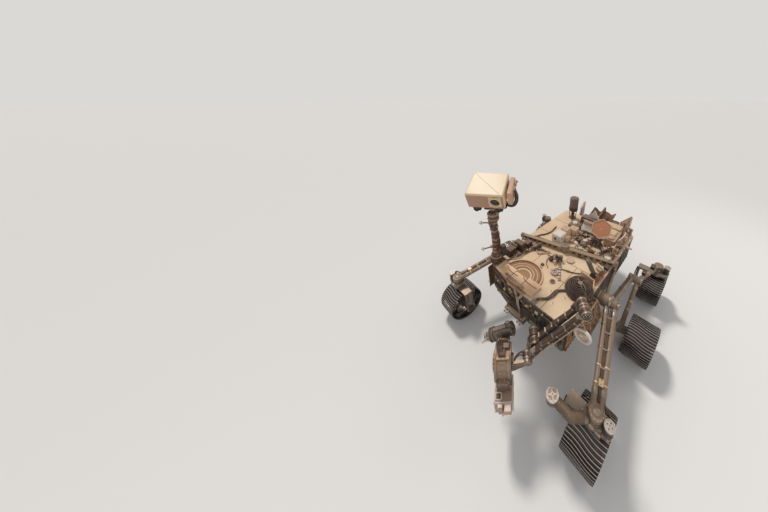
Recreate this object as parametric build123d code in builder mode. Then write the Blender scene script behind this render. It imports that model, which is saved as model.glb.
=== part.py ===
from build123d import *
import os
from math import cos, radians, sin, tan

os.makedirs("parts", exist_ok=True)

# Six-wheeled planetary rover. +X forward, +Y to port, +Z up, millimetres, ground at Z 0.
running_gap = 0.3          # between faces that turn on each other

# Wheels
middle_axle_x = -120
front_wheel_gap = 1200     # middle axle to front axle
rear_wheel_gap = 1050
steered_half_track = 1080  # centre plane of the front and rear wheels
middle_half_track = 1190
wheel_d = 525              # over the lugs
wheel_width = 330
lug_count = 48
lug_height = 11
lug_thick = 9
skin_wall = 8
hub_r = 82
hub_inboard = 110
hub_outboard = 52
hub_bore_r = 66
hub_floor = 42
spoke_count = 6
spoke_thick = 9
spoke_width = 46
spoke_bow = 34
rim_wall = 10

# Drive and steering
drive_r = 56
drive_stand_off = 62       # wheel's inner edge to the knuckle's outer face
knuckle_plate = 26
knuckle_width = 110
arch_gap = 24              # over the wheel
knuckle_cap = 34
steer_flange_r = 76
steer_case_r = 88
steer_case_h = 46
steer_bell_r = 60
steer_bell_h = 42
steer_motor_r = 37
steer_motor_h = 118
steer_motor_offset = 112    # outboard of the steering axis
steer_motor_ahead = 16
steer_motor_lip = 6
steer_motor_lip_h = 14
tie_r = 42                 # bent tube ahead of the port front actuator
tie_root = 82              # where it leaves the steering case, from its axis
tie_ahead = 160            # its bend, from the same axis
tie_in = 150
tie_end_in = 340
tie_lift = 58
tie_cap_r = 56
tie_cap_h = 98

# Body
body_front = 980           # from the middle axle
body_rear = 1020
body_width = 1240
belly_z = 650
deck_z = 1100
deck_plate = 26
deck_overhang = 12
body_edge = 40
corner_ahead = 90          # cut off the starboard front corner
corner_across = 420
bay_centres = (-230, 110)
bay_width = 300
bay_height = 190
bay_depth = 90
bay_drop = 46              # below the deck plate

# Rocker and bogie, port side (the starboard side is its mirror image)
rocker_pivot_x = 260
rocker_pivot_y = 800
rocker_pivot_z = 900
rocker_drum_r = 84
rocker_neck_r = 62
rocker_cap_r = 46
rocker_cap_h = 30
rocker_tube_r = 29
rocker_tube_pitch = 92
rocker_rear_r = 40
bogie_pivot_x = -530
bogie_pivot_y = 920
bogie_pivot_z = 706
bogie_drum_r = 58
bogie_drum_half = 45
rocker_rear_drum = 88
bogie_tube_r = 31
horn_r = 20
horn_eye_r = 27
horn_eye_h = 44
horn_z = 1020
horn_out = 45              # from the body's wall

# Differential across the deck
diff_bar_x = 50
diff_bar_depth = 70
diff_bar_height = 54
diff_bar_gap = 24
diff_bar_over = 25         # past the links
diff_bar_yaw = 14          # port end back
diff_taper = 26
diff_cap_r = 52
diff_cap_h = 22
diff_link_r = 13

# Mast and head
mast_x = 820
mast_inset = 30            # mast axis from the body's starboard wall
mast_plinth = 150
mast_plinth_h = 70
mast_foot_r = 70
mast_foot_h = 90
mast_tube_r = 44
mast_top_r = 68
mast_top_h = 92
mast_turn_z = 1845         # where the head's turntable starts
mast_turn_r = 58
mast_turn_h = 12
neck_r = 33
elevation_z = 1990
elevation_r = 48
elevation_half = 70
head_azimuth = 35
head_pitch = 20
head_width = 400
head_depth = 360
head_height = 196
head_lift = 90             # elevation axis to the head's floor
head_ear = 22
head_edge = 14
window_r = 52
window_aside = 105
window_depth = 14
window_hood = 12
camera_bar_near = 58
camera_bar_far = 122
camera_bar_height = 40
camera_bar_half = 205
lens_places = (-185, -120, 120, 185)
lens_r = 19
lens_length = 16
head_slab = 44
head_slab_gap = 22
head_slab_foot = (40, 60)   # length and height

# Robotic arm: its upright plane points this far to starboard of straight ahead
arm_heading = -45
shoulder_x = 1165
shoulder_y = 365
shoulder_base_z = 700
shoulder_base_h = 90
shoulder_base_r = 74
shoulder_turn_h = 60
shoulder_z = 950
shoulder_post_r = 28
shoulder_r = 52
joint_r = 44
joint_width = 80
elbow_back = 400
elbow_z = 1480
wrist_out = 79
wrist_z = 860
arm_tube = 56
wrist_plate = 22
turret_out = 309
turret_z = 800
turret_r = 150
turret_h = 150
turret_stem_r = 62
turret_rim = 8
turret_rim_h = 22
turret_boss_r = 84
turret_boss_h = 18
drill_aside = 236          # turret's axis to the drill's
drill_lift = 84
drill_dip = 24             # nose down, about its middle
drill_r = 62
drill_back = 24
drill_length = 254
bit_r = 22
bit_length = 74
prong_r = 8
prong_length = 92
drill_collar = 9
drill_collar_h = 16
saddle_height = 70
box_aside = 150
box_drop = 165
box_size = (170, 210, 180)
box_window = 92
box_window_depth = 16

# Bit carousel
carousel_ahead = 640
carousel_half = 165
carousel_out = 150
carousel_low = 790
carousel_high = 1066
carousel_ring_r = 96
carousel_ring_h = 14
carousel_ring_lip = 24

# Deck fittings
tray_ahead = 800
tray_y = -150
tray_r = 270
tray_rim = 30
tray_step = 9
cover_h = 12
dome_ahead = 520
dome_inset = 132           # from the body's port wall
dome_r = 148
dome_h = 124
dome_ribs = 6

# High-gain antenna
hga_x = -380
hga_y = 310
hga_azimuth = 15
hga_elevation = 40
hga_axis_z = 1400
hga_post_r = 34
hga_post_h = 130
hga_foot_width = 120
hga_foot_h = 24
hga_across = 290
hga_thick = 26
hga_rim = 13
hga_recess = 6
hga_drum_r = 26
hga_fork_half = 48
hga_fork = 14

# Low-gain antenna
uhf_x = -850
uhf_y = -400
uhf_r = 76
uhf_h = 262
uhf_top_z = 1510
uhf_stalk_r = 26
uhf_foot_r = 58
uhf_foot_h = 16
uhf_edge = 12

# Power source on the rear
power_x = -1020
power_z = 860
power_tilt = 20
power_core_r = 130
power_fin_r = 285
power_length = 470
power_fins = 8
power_fin_thick = 10
cage_thick = 14
cage_length = 430
cage_half = 350
cage_flare = 14
cage_low_z = 720
cage_high_z = 1200

# Worked out from the above
axle_z = wheel_d / 2
tip_r = wheel_d / 2
skin_r = tip_r - lug_height
inner_r = skin_r - skin_wall
arch_z = wheel_d + arch_gap
knuckle_top_z = arch_z + knuckle_cap
steer_case_z = knuckle_top_z + running_gap
half_body = body_width / 2
front_x = middle_axle_x + front_wheel_gap
rear_x = middle_axle_x - rear_wheel_gap
body_front_x = middle_axle_x + body_front
body_rear_x = middle_axle_x - body_rear
# name, axle x, half track, side (+1 port), steered
wheels = [
    ("fl", front_x, steered_half_track, 1, True),
    ("fr", front_x, steered_half_track, -1, True),
    ("ml", middle_axle_x, middle_half_track, 1, False),
    ("mr", middle_axle_x, middle_half_track, -1, False),
    ("rl", rear_x, steered_half_track, 1, True),
    ("rr", rear_x, steered_half_track, -1, True),
]


def tilted(origin, azimuth, pitch):
    """A plane at origin whose X looks along azimuth and dips by pitch, with Y level."""
    turn, dip = radians(azimuth), radians(pitch)
    return Plane(
        origin=origin,
        x_dir=(cos(turn) * cos(dip), sin(turn) * cos(dip), -sin(dip)),
        z_dir=(cos(turn) * sin(dip), sin(turn) * sin(dip), cos(dip)),
    )


def bar(start, end, radius):
    """A round bar between two points, added to the piece in hand."""
    line = end - start
    with Locations(Plane(origin=(start + end) / 2, z_dir=line).location):
        Cylinder(radius, line.length)


def save(piece, name):
    """Label a finished piece and write its STEP file."""
    piece.part.label = name
    export_step(piece.part, f"parts/{name}.step")


# Tread: a thin skin with straight lugs across its whole width
lug_step = 360 / lug_count
half_root = lug_thick * 0.75
half_tip = lug_thick * 0.4
tread_points = []
for i in range(lug_count):
    turn = -90 + i * lug_step
    for across, radius in (
        (-half_root, skin_r),
        (-half_tip, tip_r),
        (half_tip, tip_r),
        (half_root, skin_r),
    ):
        point = Vector(radius, across).rotate(Axis.Z, turn)
        tread_points.append((point.X, point.Y))

for name, x, half_track, side, steered in wheels:
    wheel_plane = Plane(origin=(x, side * half_track, axle_z), x_dir=(1, 0, 0), z_dir=(0, -1, 0))
    with BuildPart() as tyre:
        with BuildSketch(wheel_plane):
            with BuildLine():
                Polyline(*tread_points, close=True)
            make_face()
            RegularPolygon(inner_r, lug_count, mode=Mode.SUBTRACT)
        extrude(amount=wheel_width / 2, both=True)
    save(tyre, f"tyre_{name}")

# Hub, six bowed spokes and the ring that holds the skin
spoke_ring_r = inner_r * cos(radians(180 / lug_count)) - running_gap
with BuildSketch() as spoke:
    with BuildLine():
        ThreePointArc(
            (hub_r - 6, 0),
            ((hub_r + spoke_ring_r) / 2, spoke_bow),
            (spoke_ring_r - rim_wall / 2, 0),
        )
    trace(line_width=spoke_thick)

for name, x, half_track, side, steered in wheels:
    hub_plane = Plane(origin=(x, side * half_track, axle_z), x_dir=(1, 0, 0), z_dir=(0, side, 0))
    with BuildPart() as hub:
        with BuildSketch(hub_plane):
            Circle(spoke_ring_r)
            Circle(spoke_ring_r - rim_wall, mode=Mode.SUBTRACT)
            Circle(hub_r)
            with PolarLocations(0, spoke_count):
                add(spoke.sketch)
        extrude(amount=spoke_width / 2, both=True)
        with BuildSketch(hub_plane.offset(-hub_inboard)):
            Circle(hub_r)
        extrude(amount=hub_inboard + hub_outboard)
        with BuildSketch(hub_plane.offset(-hub_inboard)):
            Circle(hub_bore_r)
        extrude(amount=hub_inboard + hub_outboard - hub_floor, mode=Mode.SUBTRACT)
    save(hub, f"hub_{name}")

# Knuckle of a steered wheel: over the tread, down inside it and into the hub
drive_tip = hub_outboard - hub_floor - running_gap
knuckle_in = wheel_width / 2 + drive_stand_off
for name, x, half_track, side, steered in wheels:
    if not steered:
        continue
    y = side * half_track
    with BuildPart() as knuckle:
        with BuildSketch(Plane.XY.offset(arch_z)):
            with Locations((x, y)):
                Circle(steer_flange_r)
            with Locations((x, y - side * (knuckle_in + knuckle_plate) / 2)):
                Rectangle(knuckle_width, knuckle_in + knuckle_plate)
        extrude(amount=knuckle_cap)
        side_plane = Plane(origin=(x, y - side * knuckle_in, axle_z), x_dir=(1, 0, 0), z_dir=(0, -side, 0))
        with BuildSketch(side_plane):
            Circle(drive_r + 16)
            with Locations((0, side_plane.y_dir.Z * (arch_z - axle_z + 2) / 2)):
                Rectangle(knuckle_width, arch_z - axle_z + 2)
        extrude(amount=knuckle_plate)
        bar(
            Vector(x, y - side * knuckle_in, axle_z),
            Vector(x, y + side * drive_tip, axle_z),
            drive_r,
        )
    save(knuckle, f"knuckle_{name}")

# Steering actuators on the ends of the rockers and bogies
with BuildPart() as steering_actuators:
    for name, x, half_track, side, steered in wheels:
        if not steered:
            continue
        end = 1 if x > middle_axle_x else -1
        motor_at = (x + end * steer_motor_ahead, side * (half_track + steer_motor_offset))
        with BuildSketch(Plane.XY.offset(steer_case_z)):
            with Locations((x, side * half_track)):
                Circle(steer_case_r)
            with Locations(motor_at):
                Circle(steer_motor_r + 12)
            make_hull()
        extrude(amount=steer_case_h)
        with BuildSketch(Plane.XY.offset(steer_case_z + steer_case_h)):
            with Locations((x, side * half_track)):
                Circle(steer_bell_r)
        extrude(amount=steer_bell_h)
        with BuildSketch(Plane.XY.offset(steer_case_z + steer_case_h)):
            with Locations(motor_at):
                Circle(steer_motor_r)
        extrude(amount=steer_motor_h)
        with BuildSketch(Plane.XY.offset(steer_case_z + steer_case_h + steer_motor_h - steer_motor_lip_h)):
            with Locations(motor_at):
                Circle(steer_motor_r + steer_motor_lip)
        extrude(amount=steer_motor_lip_h)
    tie_axis = Vector(front_x, steered_half_track, knuckle_top_z + tie_r + 12)
    tie_bend = tie_axis + Vector(tie_ahead, -tie_in, tie_lift)
    tie_end = tie_axis + Vector(tie_ahead, -tie_end_in, tie_lift)
    bar(tie_axis + Vector(tie_ahead, -tie_in, 0).normalized() * tie_root, tie_bend, tie_r)
    with Locations(tie_bend):
        Sphere(tie_r)
    bar(tie_bend, tie_end, tie_r)
    with Locations(tie_end):
        Cylinder(tie_cap_r, tie_cap_h)
save(steering_actuators, "steering_actuators")
steer_top_z = steer_case_z + steer_case_h + steer_bell_h

# Body shell, with two bays in its front wall, and the deck plate
bay_top = deck_z - deck_plate - bay_drop
body_centre_x = (body_front_x + body_rear_x) / 2
body_length = body_front_x - body_rear_x


def cut_corner(low, high):
    """Takes the starboard front corner off the piece in hand, as a slanted wall."""
    over = body_front_x / 4
    with BuildSketch(Plane.XY.offset(low)) as corner:
        with BuildLine():
            Polyline(
                (body_front_x + over, corner_across - half_body),
                (body_front_x, corner_across - half_body),
                (body_front_x - corner_ahead, -half_body),
                (body_front_x - corner_ahead, -half_body - over),
                (body_front_x + over, -half_body - over),
                close=True,
            )
        make_face()
    extrude(corner.sketch, amount=high - low, mode=Mode.SUBTRACT)


with BuildPart() as chassis:
    with Locations((body_centre_x, 0, (belly_z + deck_z - deck_plate) / 2)):
        Box(body_length, body_width, deck_z - deck_plate - belly_z)
    chamfer(chassis.edges().filter_by(Axis.X).group_by(Axis.Z)[0], body_edge)
    chamfer(chassis.edges().filter_by(Axis.Z), body_edge / 2)
    for bay_y in bay_centres:
        with Locations((body_front_x - bay_depth / 2, bay_y, bay_top - bay_height / 2)):
            Box(bay_depth, bay_width, bay_height, mode=Mode.SUBTRACT)
    cut_corner(belly_z, deck_z)
save(chassis, "chassis")

deck_front_x = body_front_x + deck_overhang
with BuildPart() as deck:
    with Locations((body_centre_x + deck_overhang / 2, 0, deck_z - deck_plate / 2)):
        Box(body_length + deck_overhang, body_width + 2 * deck_overhang, deck_plate)
    chamfer(deck.edges().filter_by(Axis.Z), body_edge / 2)
    cut_corner(deck_z - deck_plate, deck_z)
save(deck, "deck")

# Rockers: drum on the body wall, twin tubes forward, one tube back
bar_x = middle_axle_x + diff_bar_x
link_out = half_body + horn_out


def rocker_points(side):
    """Pivot, front end, rear end and horn eye of one rocker."""
    return (
        Vector(middle_axle_x + rocker_pivot_x, side * rocker_pivot_y, rocker_pivot_z),
        Vector(front_x, side * steered_half_track, steer_top_z + rocker_tube_r),
        Vector(middle_axle_x + bogie_pivot_x, side * bogie_pivot_y, bogie_pivot_z),
        Vector(bar_x - side * tan(radians(diff_bar_yaw)) * link_out, side * link_out, horn_z),
    )


for word, side in (("left", 1), ("right", -1)):
    pivot, front_end, rear_end, horn = rocker_points(side)
    spread = Vector(-(front_end - pivot).Y, (front_end - pivot).X, 0).normalized() * rocker_tube_pitch / 2
    with BuildPart() as rocker:
        bar(Vector(pivot.X, side * half_body, pivot.Z), Vector(pivot.X, pivot.Y, pivot.Z), rocker_drum_r)
        bar(pivot, pivot + Vector(0, side * 60, 0), rocker_neck_r)
        bar(
            pivot + Vector(0, side * 60, 0),
            pivot + Vector(0, side * (60 + rocker_cap_h), 0),
            rocker_cap_r,
        )
        for shift in (-1, 1):
            bar(pivot + spread * shift, front_end + spread * shift * 0.7, rocker_tube_r)
        with Locations(front_end):
            Cylinder(steer_bell_r + 4, 2 * rocker_tube_r)
        drum_out = rear_end + Vector(0, -side * bogie_drum_half, 0)
        drum_in = drum_out + Vector(0, -side * rocker_rear_drum, 0)
        bar(pivot, (drum_in + drum_out) / 2, rocker_rear_r)
        bar(drum_in, drum_out, bogie_drum_r)
        bar(pivot + Vector(0, -side * 80, 20), horn, horn_r)
        with Locations(horn):
            Cylinder(horn_eye_r, horn_eye_h)
    save(rocker, f"rocker_{word}")

# Bogies: drum beside the rocker's, one tube to the middle drive, one to the rear steering
for word, side in (("left", 1), ("right", -1)):
    pivot = Vector(middle_axle_x + bogie_pivot_x, side * bogie_pivot_y, bogie_pivot_z)
    drive_in = Vector(middle_axle_x, side * (middle_half_track - knuckle_in), axle_z)
    rear_top = Vector(rear_x, side * steered_half_track, steer_top_z + bogie_tube_r)
    with BuildPart() as bogie:
        bar(
            pivot + Vector(0, -side * bogie_drum_half, 0),
            pivot + Vector(0, side * bogie_drum_half, 0),
            bogie_drum_r,
        )
        bar(pivot, drive_in + Vector(0, -side * knuckle_plate / 2, 0), bogie_tube_r)
        bar(
            drive_in + Vector(0, -side * (knuckle_plate + 30), 0),
            drive_in,
            drive_r + 16,
        )
        bar(
            drive_in,
            Vector(middle_axle_x, side * (middle_half_track + drive_tip), axle_z),
            drive_r,
        )
        bar(pivot, rear_top, bogie_tube_r)
        with Locations(rear_top):
            Cylinder(steer_bell_r + 4, 2 * bogie_tube_r)
    save(bogie, f"bogie_{word}")

# Differential: a tapered beam on a deck pivot, with a link down to each rocker's horn
bar_low_z = deck_z + diff_bar_gap
bar_half = link_out / cos(radians(diff_bar_yaw)) + diff_bar_over
with BuildPart() as differential:
    with BuildSketch(tilted((bar_x, 0, bar_low_z), diff_bar_yaw, 0)):
        with BuildLine():
            Polyline(
                (-diff_bar_depth / 2, 0),
                (-diff_taper, bar_half),
                (diff_taper, bar_half),
                (diff_bar_depth / 2, 0),
                (diff_taper, -bar_half),
                (-diff_taper, -bar_half),
                close=True,
            )
        make_face()
    extrude(amount=diff_bar_height)
    with Locations((bar_x, 0, deck_z + (diff_bar_gap + diff_bar_height + diff_cap_h) / 2)):
        Cylinder(diff_cap_r, diff_bar_gap + diff_bar_height + diff_cap_h)
    for side in (1, -1):
        pivot, front_end, rear_end, horn = rocker_points(side)
        bar(horn + Vector(0, 0, horn_eye_h / 2), Vector(horn.X, horn.Y, bar_low_z + 10), diff_link_r)
save(differential, "differential_bar")

# Mast: a square plinth, and one turned profile for foot, tube and azimuth drive
mast_foot = Vector(middle_axle_x + mast_x, mast_inset - half_body, deck_z)
mast_low_z = deck_z + mast_plinth_h
with BuildPart() as mast:
    with Locations(mast_foot + Vector(0, 0, mast_plinth_h / 2)):
        Box(mast_plinth, mast_plinth, mast_plinth_h)
    chamfer(mast.edges().filter_by(Axis.Z), 24)
    with BuildSketch(Plane(origin=(mast_foot.X, mast_foot.Y, 0), x_dir=(1, 0, 0), z_dir=(0, -1, 0))):
        with BuildLine():
            Polyline(
                (0, mast_low_z),
                (mast_foot_r, mast_low_z),
                (mast_foot_r, mast_low_z + mast_foot_h / 2),
                (mast_tube_r, mast_low_z + mast_foot_h),
                (mast_tube_r, mast_turn_z - mast_top_h - (mast_top_r - mast_tube_r)),
                (mast_top_r, mast_turn_z - mast_top_h),
                (mast_top_r, mast_turn_z),
                (0, mast_turn_z),
                close=True,
            )
        make_face()
    revolve(axis=Axis((mast_foot.X, mast_foot.Y, 0), (0, 0, 1)))
save(mast, "mast")

# The turning part of the mast: turntable, neck and elevation drum, in the head's own heading
axis_point = (mast_foot.X, mast_foot.Y, elevation_z)
turn_plane = tilted(axis_point, head_azimuth, 0)
turn_low = mast_turn_z + running_gap - elevation_z
with BuildPart(turn_plane) as mast_yoke:
    with Locations((0, 0, turn_low + mast_turn_h / 2)):
        Cylinder(mast_turn_r, mast_turn_h)
    with Locations((0, 0, turn_low / 2)):
        Cylinder(neck_r, -turn_low)
    with Locations(Location((0, 0, 0), (90, 0, 0))):
        Cylinder(elevation_r, 2 * elevation_half)
save(mast_yoke, "mast_yoke")

# Head: ears beside the elevation drum, the box above them and its oval window
head_plane = tilted(axis_point, head_azimuth, head_pitch)
with BuildPart(head_plane) as mast_head:
    with Locations((0, 0, head_lift + head_height / 2)):
        Box(head_depth, head_width, head_height)
    fillet(mast_head.edges(), head_edge)
    for side in (1, -1):
        ear_y = side * (elevation_half + running_gap + head_ear / 2)
        with Locations((0, ear_y, head_lift / 2)):
            Box(1.4 * elevation_r, head_ear, head_lift)
        with Locations(Location((0, ear_y, 0), (90, 0, 0))):
            Cylinder(elevation_r, head_ear)
    window_at = Location((head_depth / 2, window_aside, head_lift + head_height / 2), (0, 90, 0))
    with BuildSketch(Plane(head_plane.location * window_at)):
        Circle(window_r + window_hood)
    extrude(amount=window_hood)
    with BuildSketch(Plane(head_plane.location * window_at).offset(window_hood)):
        Circle(window_r)
    extrude(amount=-window_depth - window_hood, mode=Mode.SUBTRACT)
save(mast_head, "mast_head")

with BuildPart(head_plane) as camera_bar:
    bar_centre = (camera_bar_near + camera_bar_far) / 2
    with Locations((bar_centre, 0, head_lift - camera_bar_height / 2)):
        Box(camera_bar_far - camera_bar_near, 2 * camera_bar_half, camera_bar_height)
    for lens_y in lens_places:
        lens_at = (camera_bar_far + lens_length / 2, lens_y, head_lift - camera_bar_height / 2)
        with Locations(Location(lens_at, (0, 90, 0))):
            Cylinder(lens_r, lens_length)
save(camera_bar, "camera_bar")

with BuildPart(head_plane) as head_side_panel:
    slab_y = head_width / 2 + head_slab_gap + head_slab / 2
    with Locations((-20, slab_y, head_lift + head_height / 2 - 16)):
        Box(head_depth * 0.72, head_slab, head_height * 0.86)
    for foot_x in (-100, 60):
        with Locations((foot_x, head_width / 2 + head_slab_gap / 2, head_lift + head_height / 2)):
            Box(head_slab_foot[0], head_slab_gap, head_slab_foot[1])
save(head_side_panel, "head_side_panel")

# High-gain antenna: post, turning fork and hexagonal dish
hga_foot = Vector(middle_axle_x + hga_x, hga_y, deck_z)
with BuildPart() as hga_post:
    bar(hga_foot, hga_foot + Vector(0, 0, hga_post_h), hga_post_r)
    with Locations(hga_foot + Vector(0, 0, hga_foot_h / 2)):
        Box(hga_foot_width, hga_foot_width, hga_foot_h)
save(hga_post, "hga_post")

hga_axis_point = (hga_foot.X, hga_foot.Y, hga_axis_z)
hga_plane = tilted(hga_axis_point, hga_azimuth, 0)
fork_low = deck_z + hga_post_h + running_gap - hga_axis_z
fork_floor = -70
with BuildPart(hga_plane) as fork:
    with Locations((0, 0, (fork_low + fork_floor) / 2)):
        Cylinder(hga_post_r - 4, fork_floor - fork_low)
    with Locations((0, 0, fork_floor + hga_fork / 2)):
        Box(50, 2 * (hga_fork_half + hga_fork), hga_fork)
    for side in (1, -1):
        with Locations((0, side * (hga_fork_half + hga_fork / 2), fork_floor / 2)):
            Box(50, hga_fork, -fork_floor)
        with Locations(Location((0, side * (hga_fork_half + hga_fork / 2), 0), (90, 0, 0))):
            Cylinder(25, hga_fork)
save(fork, "hga_fork")

dish_plane = tilted(hga_axis_point, hga_azimuth, 90 - hga_elevation)
with BuildPart(dish_plane) as hga_dish:
    with Locations(Location((0, 0, 0), (90, 0, 0))):
        Cylinder(hga_drum_r, 2 * (hga_fork_half - running_gap))
    with Locations((0, 0, 20)):
        Cylinder(30, 40)
    with BuildSketch(Plane(dish_plane.location * Location((0, 0, 36)))):
        RegularPolygon(hga_across / 2, 6)
    extrude(amount=hga_thick)
    with BuildSketch(Plane(dish_plane.location * Location((0, 0, 36 + hga_thick)))):
        RegularPolygon(hga_across / 2 - hga_rim, 6)
    extrude(amount=-hga_recess, mode=Mode.SUBTRACT)
save(hga_dish, "hga_dish")

# Low-gain antenna: foot, stalk and can in one turned profile
uhf_low_z = uhf_top_z - uhf_h
uhf_at = (middle_axle_x + uhf_x, uhf_y, 0)
with BuildPart() as uhf_antenna:
    with BuildSketch(Plane(origin=uhf_at, x_dir=(1, 0, 0), z_dir=(0, -1, 0))):
        with BuildLine():
            Polyline(
                (0, deck_z),
                (uhf_foot_r, deck_z),
                (uhf_foot_r, deck_z + uhf_foot_h),
                (uhf_stalk_r, deck_z + 2 * uhf_foot_h),
                (uhf_stalk_r, uhf_low_z - uhf_edge),
                (uhf_r - uhf_edge, uhf_low_z),
                (uhf_r, uhf_low_z + uhf_edge),
                (uhf_r, uhf_top_z - uhf_edge),
                (uhf_r - uhf_edge, uhf_top_z),
                (0, uhf_top_z),
                close=True,
            )
        make_face()
    revolve(axis=Axis(uhf_at, (0, 0, 1)))
save(uhf_antenna, "uhf_antenna")

# Power source: a finned core that leans up behind the body
power_dir = Vector(-cos(radians(power_tilt)), 0, sin(radians(power_tilt)))
power_start = Vector(middle_axle_x + power_x, 0, power_z)
power_plane = Plane(origin=power_start, x_dir=(0, 1, 0), z_dir=power_dir)
with BuildPart() as power_source:
    with BuildSketch(power_plane):
        Circle(power_core_r)
    extrude(amount=power_length)
    with BuildSketch(power_plane.offset(90)):
        with PolarLocations(0, power_fins):
            with Locations((power_fin_r / 2, 0)):
                Rectangle(power_fin_r, power_fin_thick)
    extrude(amount=power_length - 130)
    split(bisect_by=Plane.YZ.offset(body_rear_x), keep=Keep.BOTTOM)
save(power_source, "power_source")

# Flared heat panels either side of the power source
with BuildPart() as power_cage:
    for side in (1, -1):
        flare = radians(cage_flare)
        back = Vector(-cos(flare), side * sin(flare), 0)
        root = Vector(body_rear_x, side * cage_half, cage_low_z)
        panel_plane = Plane(origin=root, x_dir=back, z_dir=Vector(0, 0, 1).cross(back) * side)
        rise = (cage_high_z - cage_low_z) * (1 if panel_plane.y_dir.Z > 0 else -1)
        with BuildSketch(panel_plane):
            with BuildLine():
                Polyline(
                    (0, 0),
                    (0, rise * 0.55),
                    (cage_length * 0.25, rise),
                    (cage_length, rise),
                    (cage_length, rise * 0.25),
                    (cage_length * 0.6, 0),
                    close=True,
                )
            make_face()
        extrude(amount=cage_thick)
    split(bisect_by=Plane.YZ.offset(body_rear_x), keep=Keep.BOTTOM)
save(power_cage, "power_cage")

# Robotic arm: in its own upright plane, X out along the heading, Y to its port side, Z up
arm_plane = tilted((middle_axle_x + shoulder_x, shoulder_y, 0), arm_heading, 0)


def arm_point(out, port, up):
    """A point of the arm's plane in the rover's frame."""
    return arm_plane.from_local_coords(Vector(out, port, up))


base_top_z = shoulder_base_z + shoulder_base_h
with BuildPart() as shoulder_base:
    bar(arm_point(0, 0, shoulder_base_z), arm_point(0, 0, base_top_z), shoulder_base_r)
    reach = middle_axle_x + shoulder_x - body_front_x
    with Locations((body_front_x + reach / 2, shoulder_y, shoulder_base_z + shoulder_base_h / 2)):
        Box(reach, 120, shoulder_base_h - 12)
save(shoulder_base, "shoulder_base")

half_joint = joint_width / 2
upper_port = joint_width - 10
fore_port = upper_port + joint_width + running_gap
with BuildPart() as shoulder_turret:
    turn_z = base_top_z + running_gap
    bar(arm_point(0, 0, turn_z), arm_point(0, 0, turn_z + shoulder_turn_h), shoulder_base_r - 6)
    bar(arm_point(0, 0, turn_z), arm_point(0, 0, shoulder_z), shoulder_post_r)
    bar(
        arm_point(0, -60, shoulder_z),
        arm_point(0, upper_port - half_joint - running_gap, shoulder_z),
        shoulder_r,
    )
save(shoulder_turret, "shoulder_drive")

elbow_upper = arm_point(-elbow_back, upper_port, elbow_z)
with BuildPart() as upper_arm:
    bar(
        arm_point(0, upper_port - half_joint, shoulder_z),
        arm_point(0, upper_port + half_joint, shoulder_z),
        joint_r,
    )
    bar(
        arm_point(-elbow_back, upper_port - half_joint, elbow_z),
        arm_point(-elbow_back, upper_port + half_joint, elbow_z),
        joint_r,
    )
    bar(arm_point(0, upper_port, shoulder_z), elbow_upper, arm_tube / 2)
save(upper_arm, "upper_arm")

with BuildPart() as forearm:
    bar(
        arm_point(-elbow_back, fore_port - half_joint, elbow_z),
        arm_point(-elbow_back, fore_port + half_joint, elbow_z),
        joint_r,
    )
    bar(
        arm_point(wrist_out, fore_port - half_joint, wrist_z),
        arm_point(wrist_out, fore_port + half_joint, wrist_z),
        joint_r,
    )
    bar(
        arm_point(-elbow_back, fore_port, elbow_z),
        arm_point(wrist_out, fore_port, wrist_z),
        arm_tube / 2,
    )
save(forearm, "forearm")

wrist_port = fore_port + half_joint + running_gap
flange_out = turret_out - turret_h / 2 - running_gap
heading = arm_plane.x_dir
with BuildPart() as wrist:
    bar(
        arm_point(wrist_out, wrist_port, wrist_z),
        arm_point(wrist_out, wrist_port + wrist_plate, wrist_z),
        joint_r,
    )
    plate_way = heading.cross(Vector(0, 0, 1))
    with BuildSketch(Plane(origin=arm_point(0, wrist_port, 0), x_dir=heading, z_dir=plate_way)):
        with BuildLine():
            Polyline(
                (wrist_out, wrist_z + joint_r * 0.8),
                (flange_out, turret_z + turret_stem_r),
                (flange_out, turret_z - turret_stem_r),
                (wrist_out, wrist_z - joint_r * 0.8),
                close=True,
            )
        make_face()
    extrude(amount=-wrist_plate)
    flange_at = arm_point(flange_out, 0, turret_z)
    with BuildSketch(Plane(origin=flange_at, x_dir=arm_plane.y_dir, z_dir=heading)):
        with Locations((fore_port, 0)):
            Circle(turret_stem_r)
        with Locations(((fore_port + wrist_port + wrist_plate) / 2, 0)):
            Rectangle(wrist_port + wrist_plate - fore_port, 2 * turret_stem_r)
    extrude(amount=-wrist_plate)
save(wrist, "wrist")

turret_back = turret_out - turret_h / 2
drill_port = fore_port - drill_aside
drill_z = turret_z + drill_lift
box_port = fore_port + box_aside
box_top_z = turret_z - box_drop


def drill_point(along, aside=0):
    """A place on the drill's own line, which dips towards its nose; along counts from its tail."""
    reach = along - drill_back - turret_h / 2
    dip = radians(drill_dip)
    return arm_point(turret_out + reach * cos(dip), drill_port + aside, drill_z - reach * sin(dip))


def arm_box(out, port, up, length, width, height, mode=Mode.ADD):
    """A block square to the arm's plane, given by its centre and size."""
    with Locations(Plane(arm_plane.location * Location((out, port, up))).location):
        Box(length, width, height, mode=mode)


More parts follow.
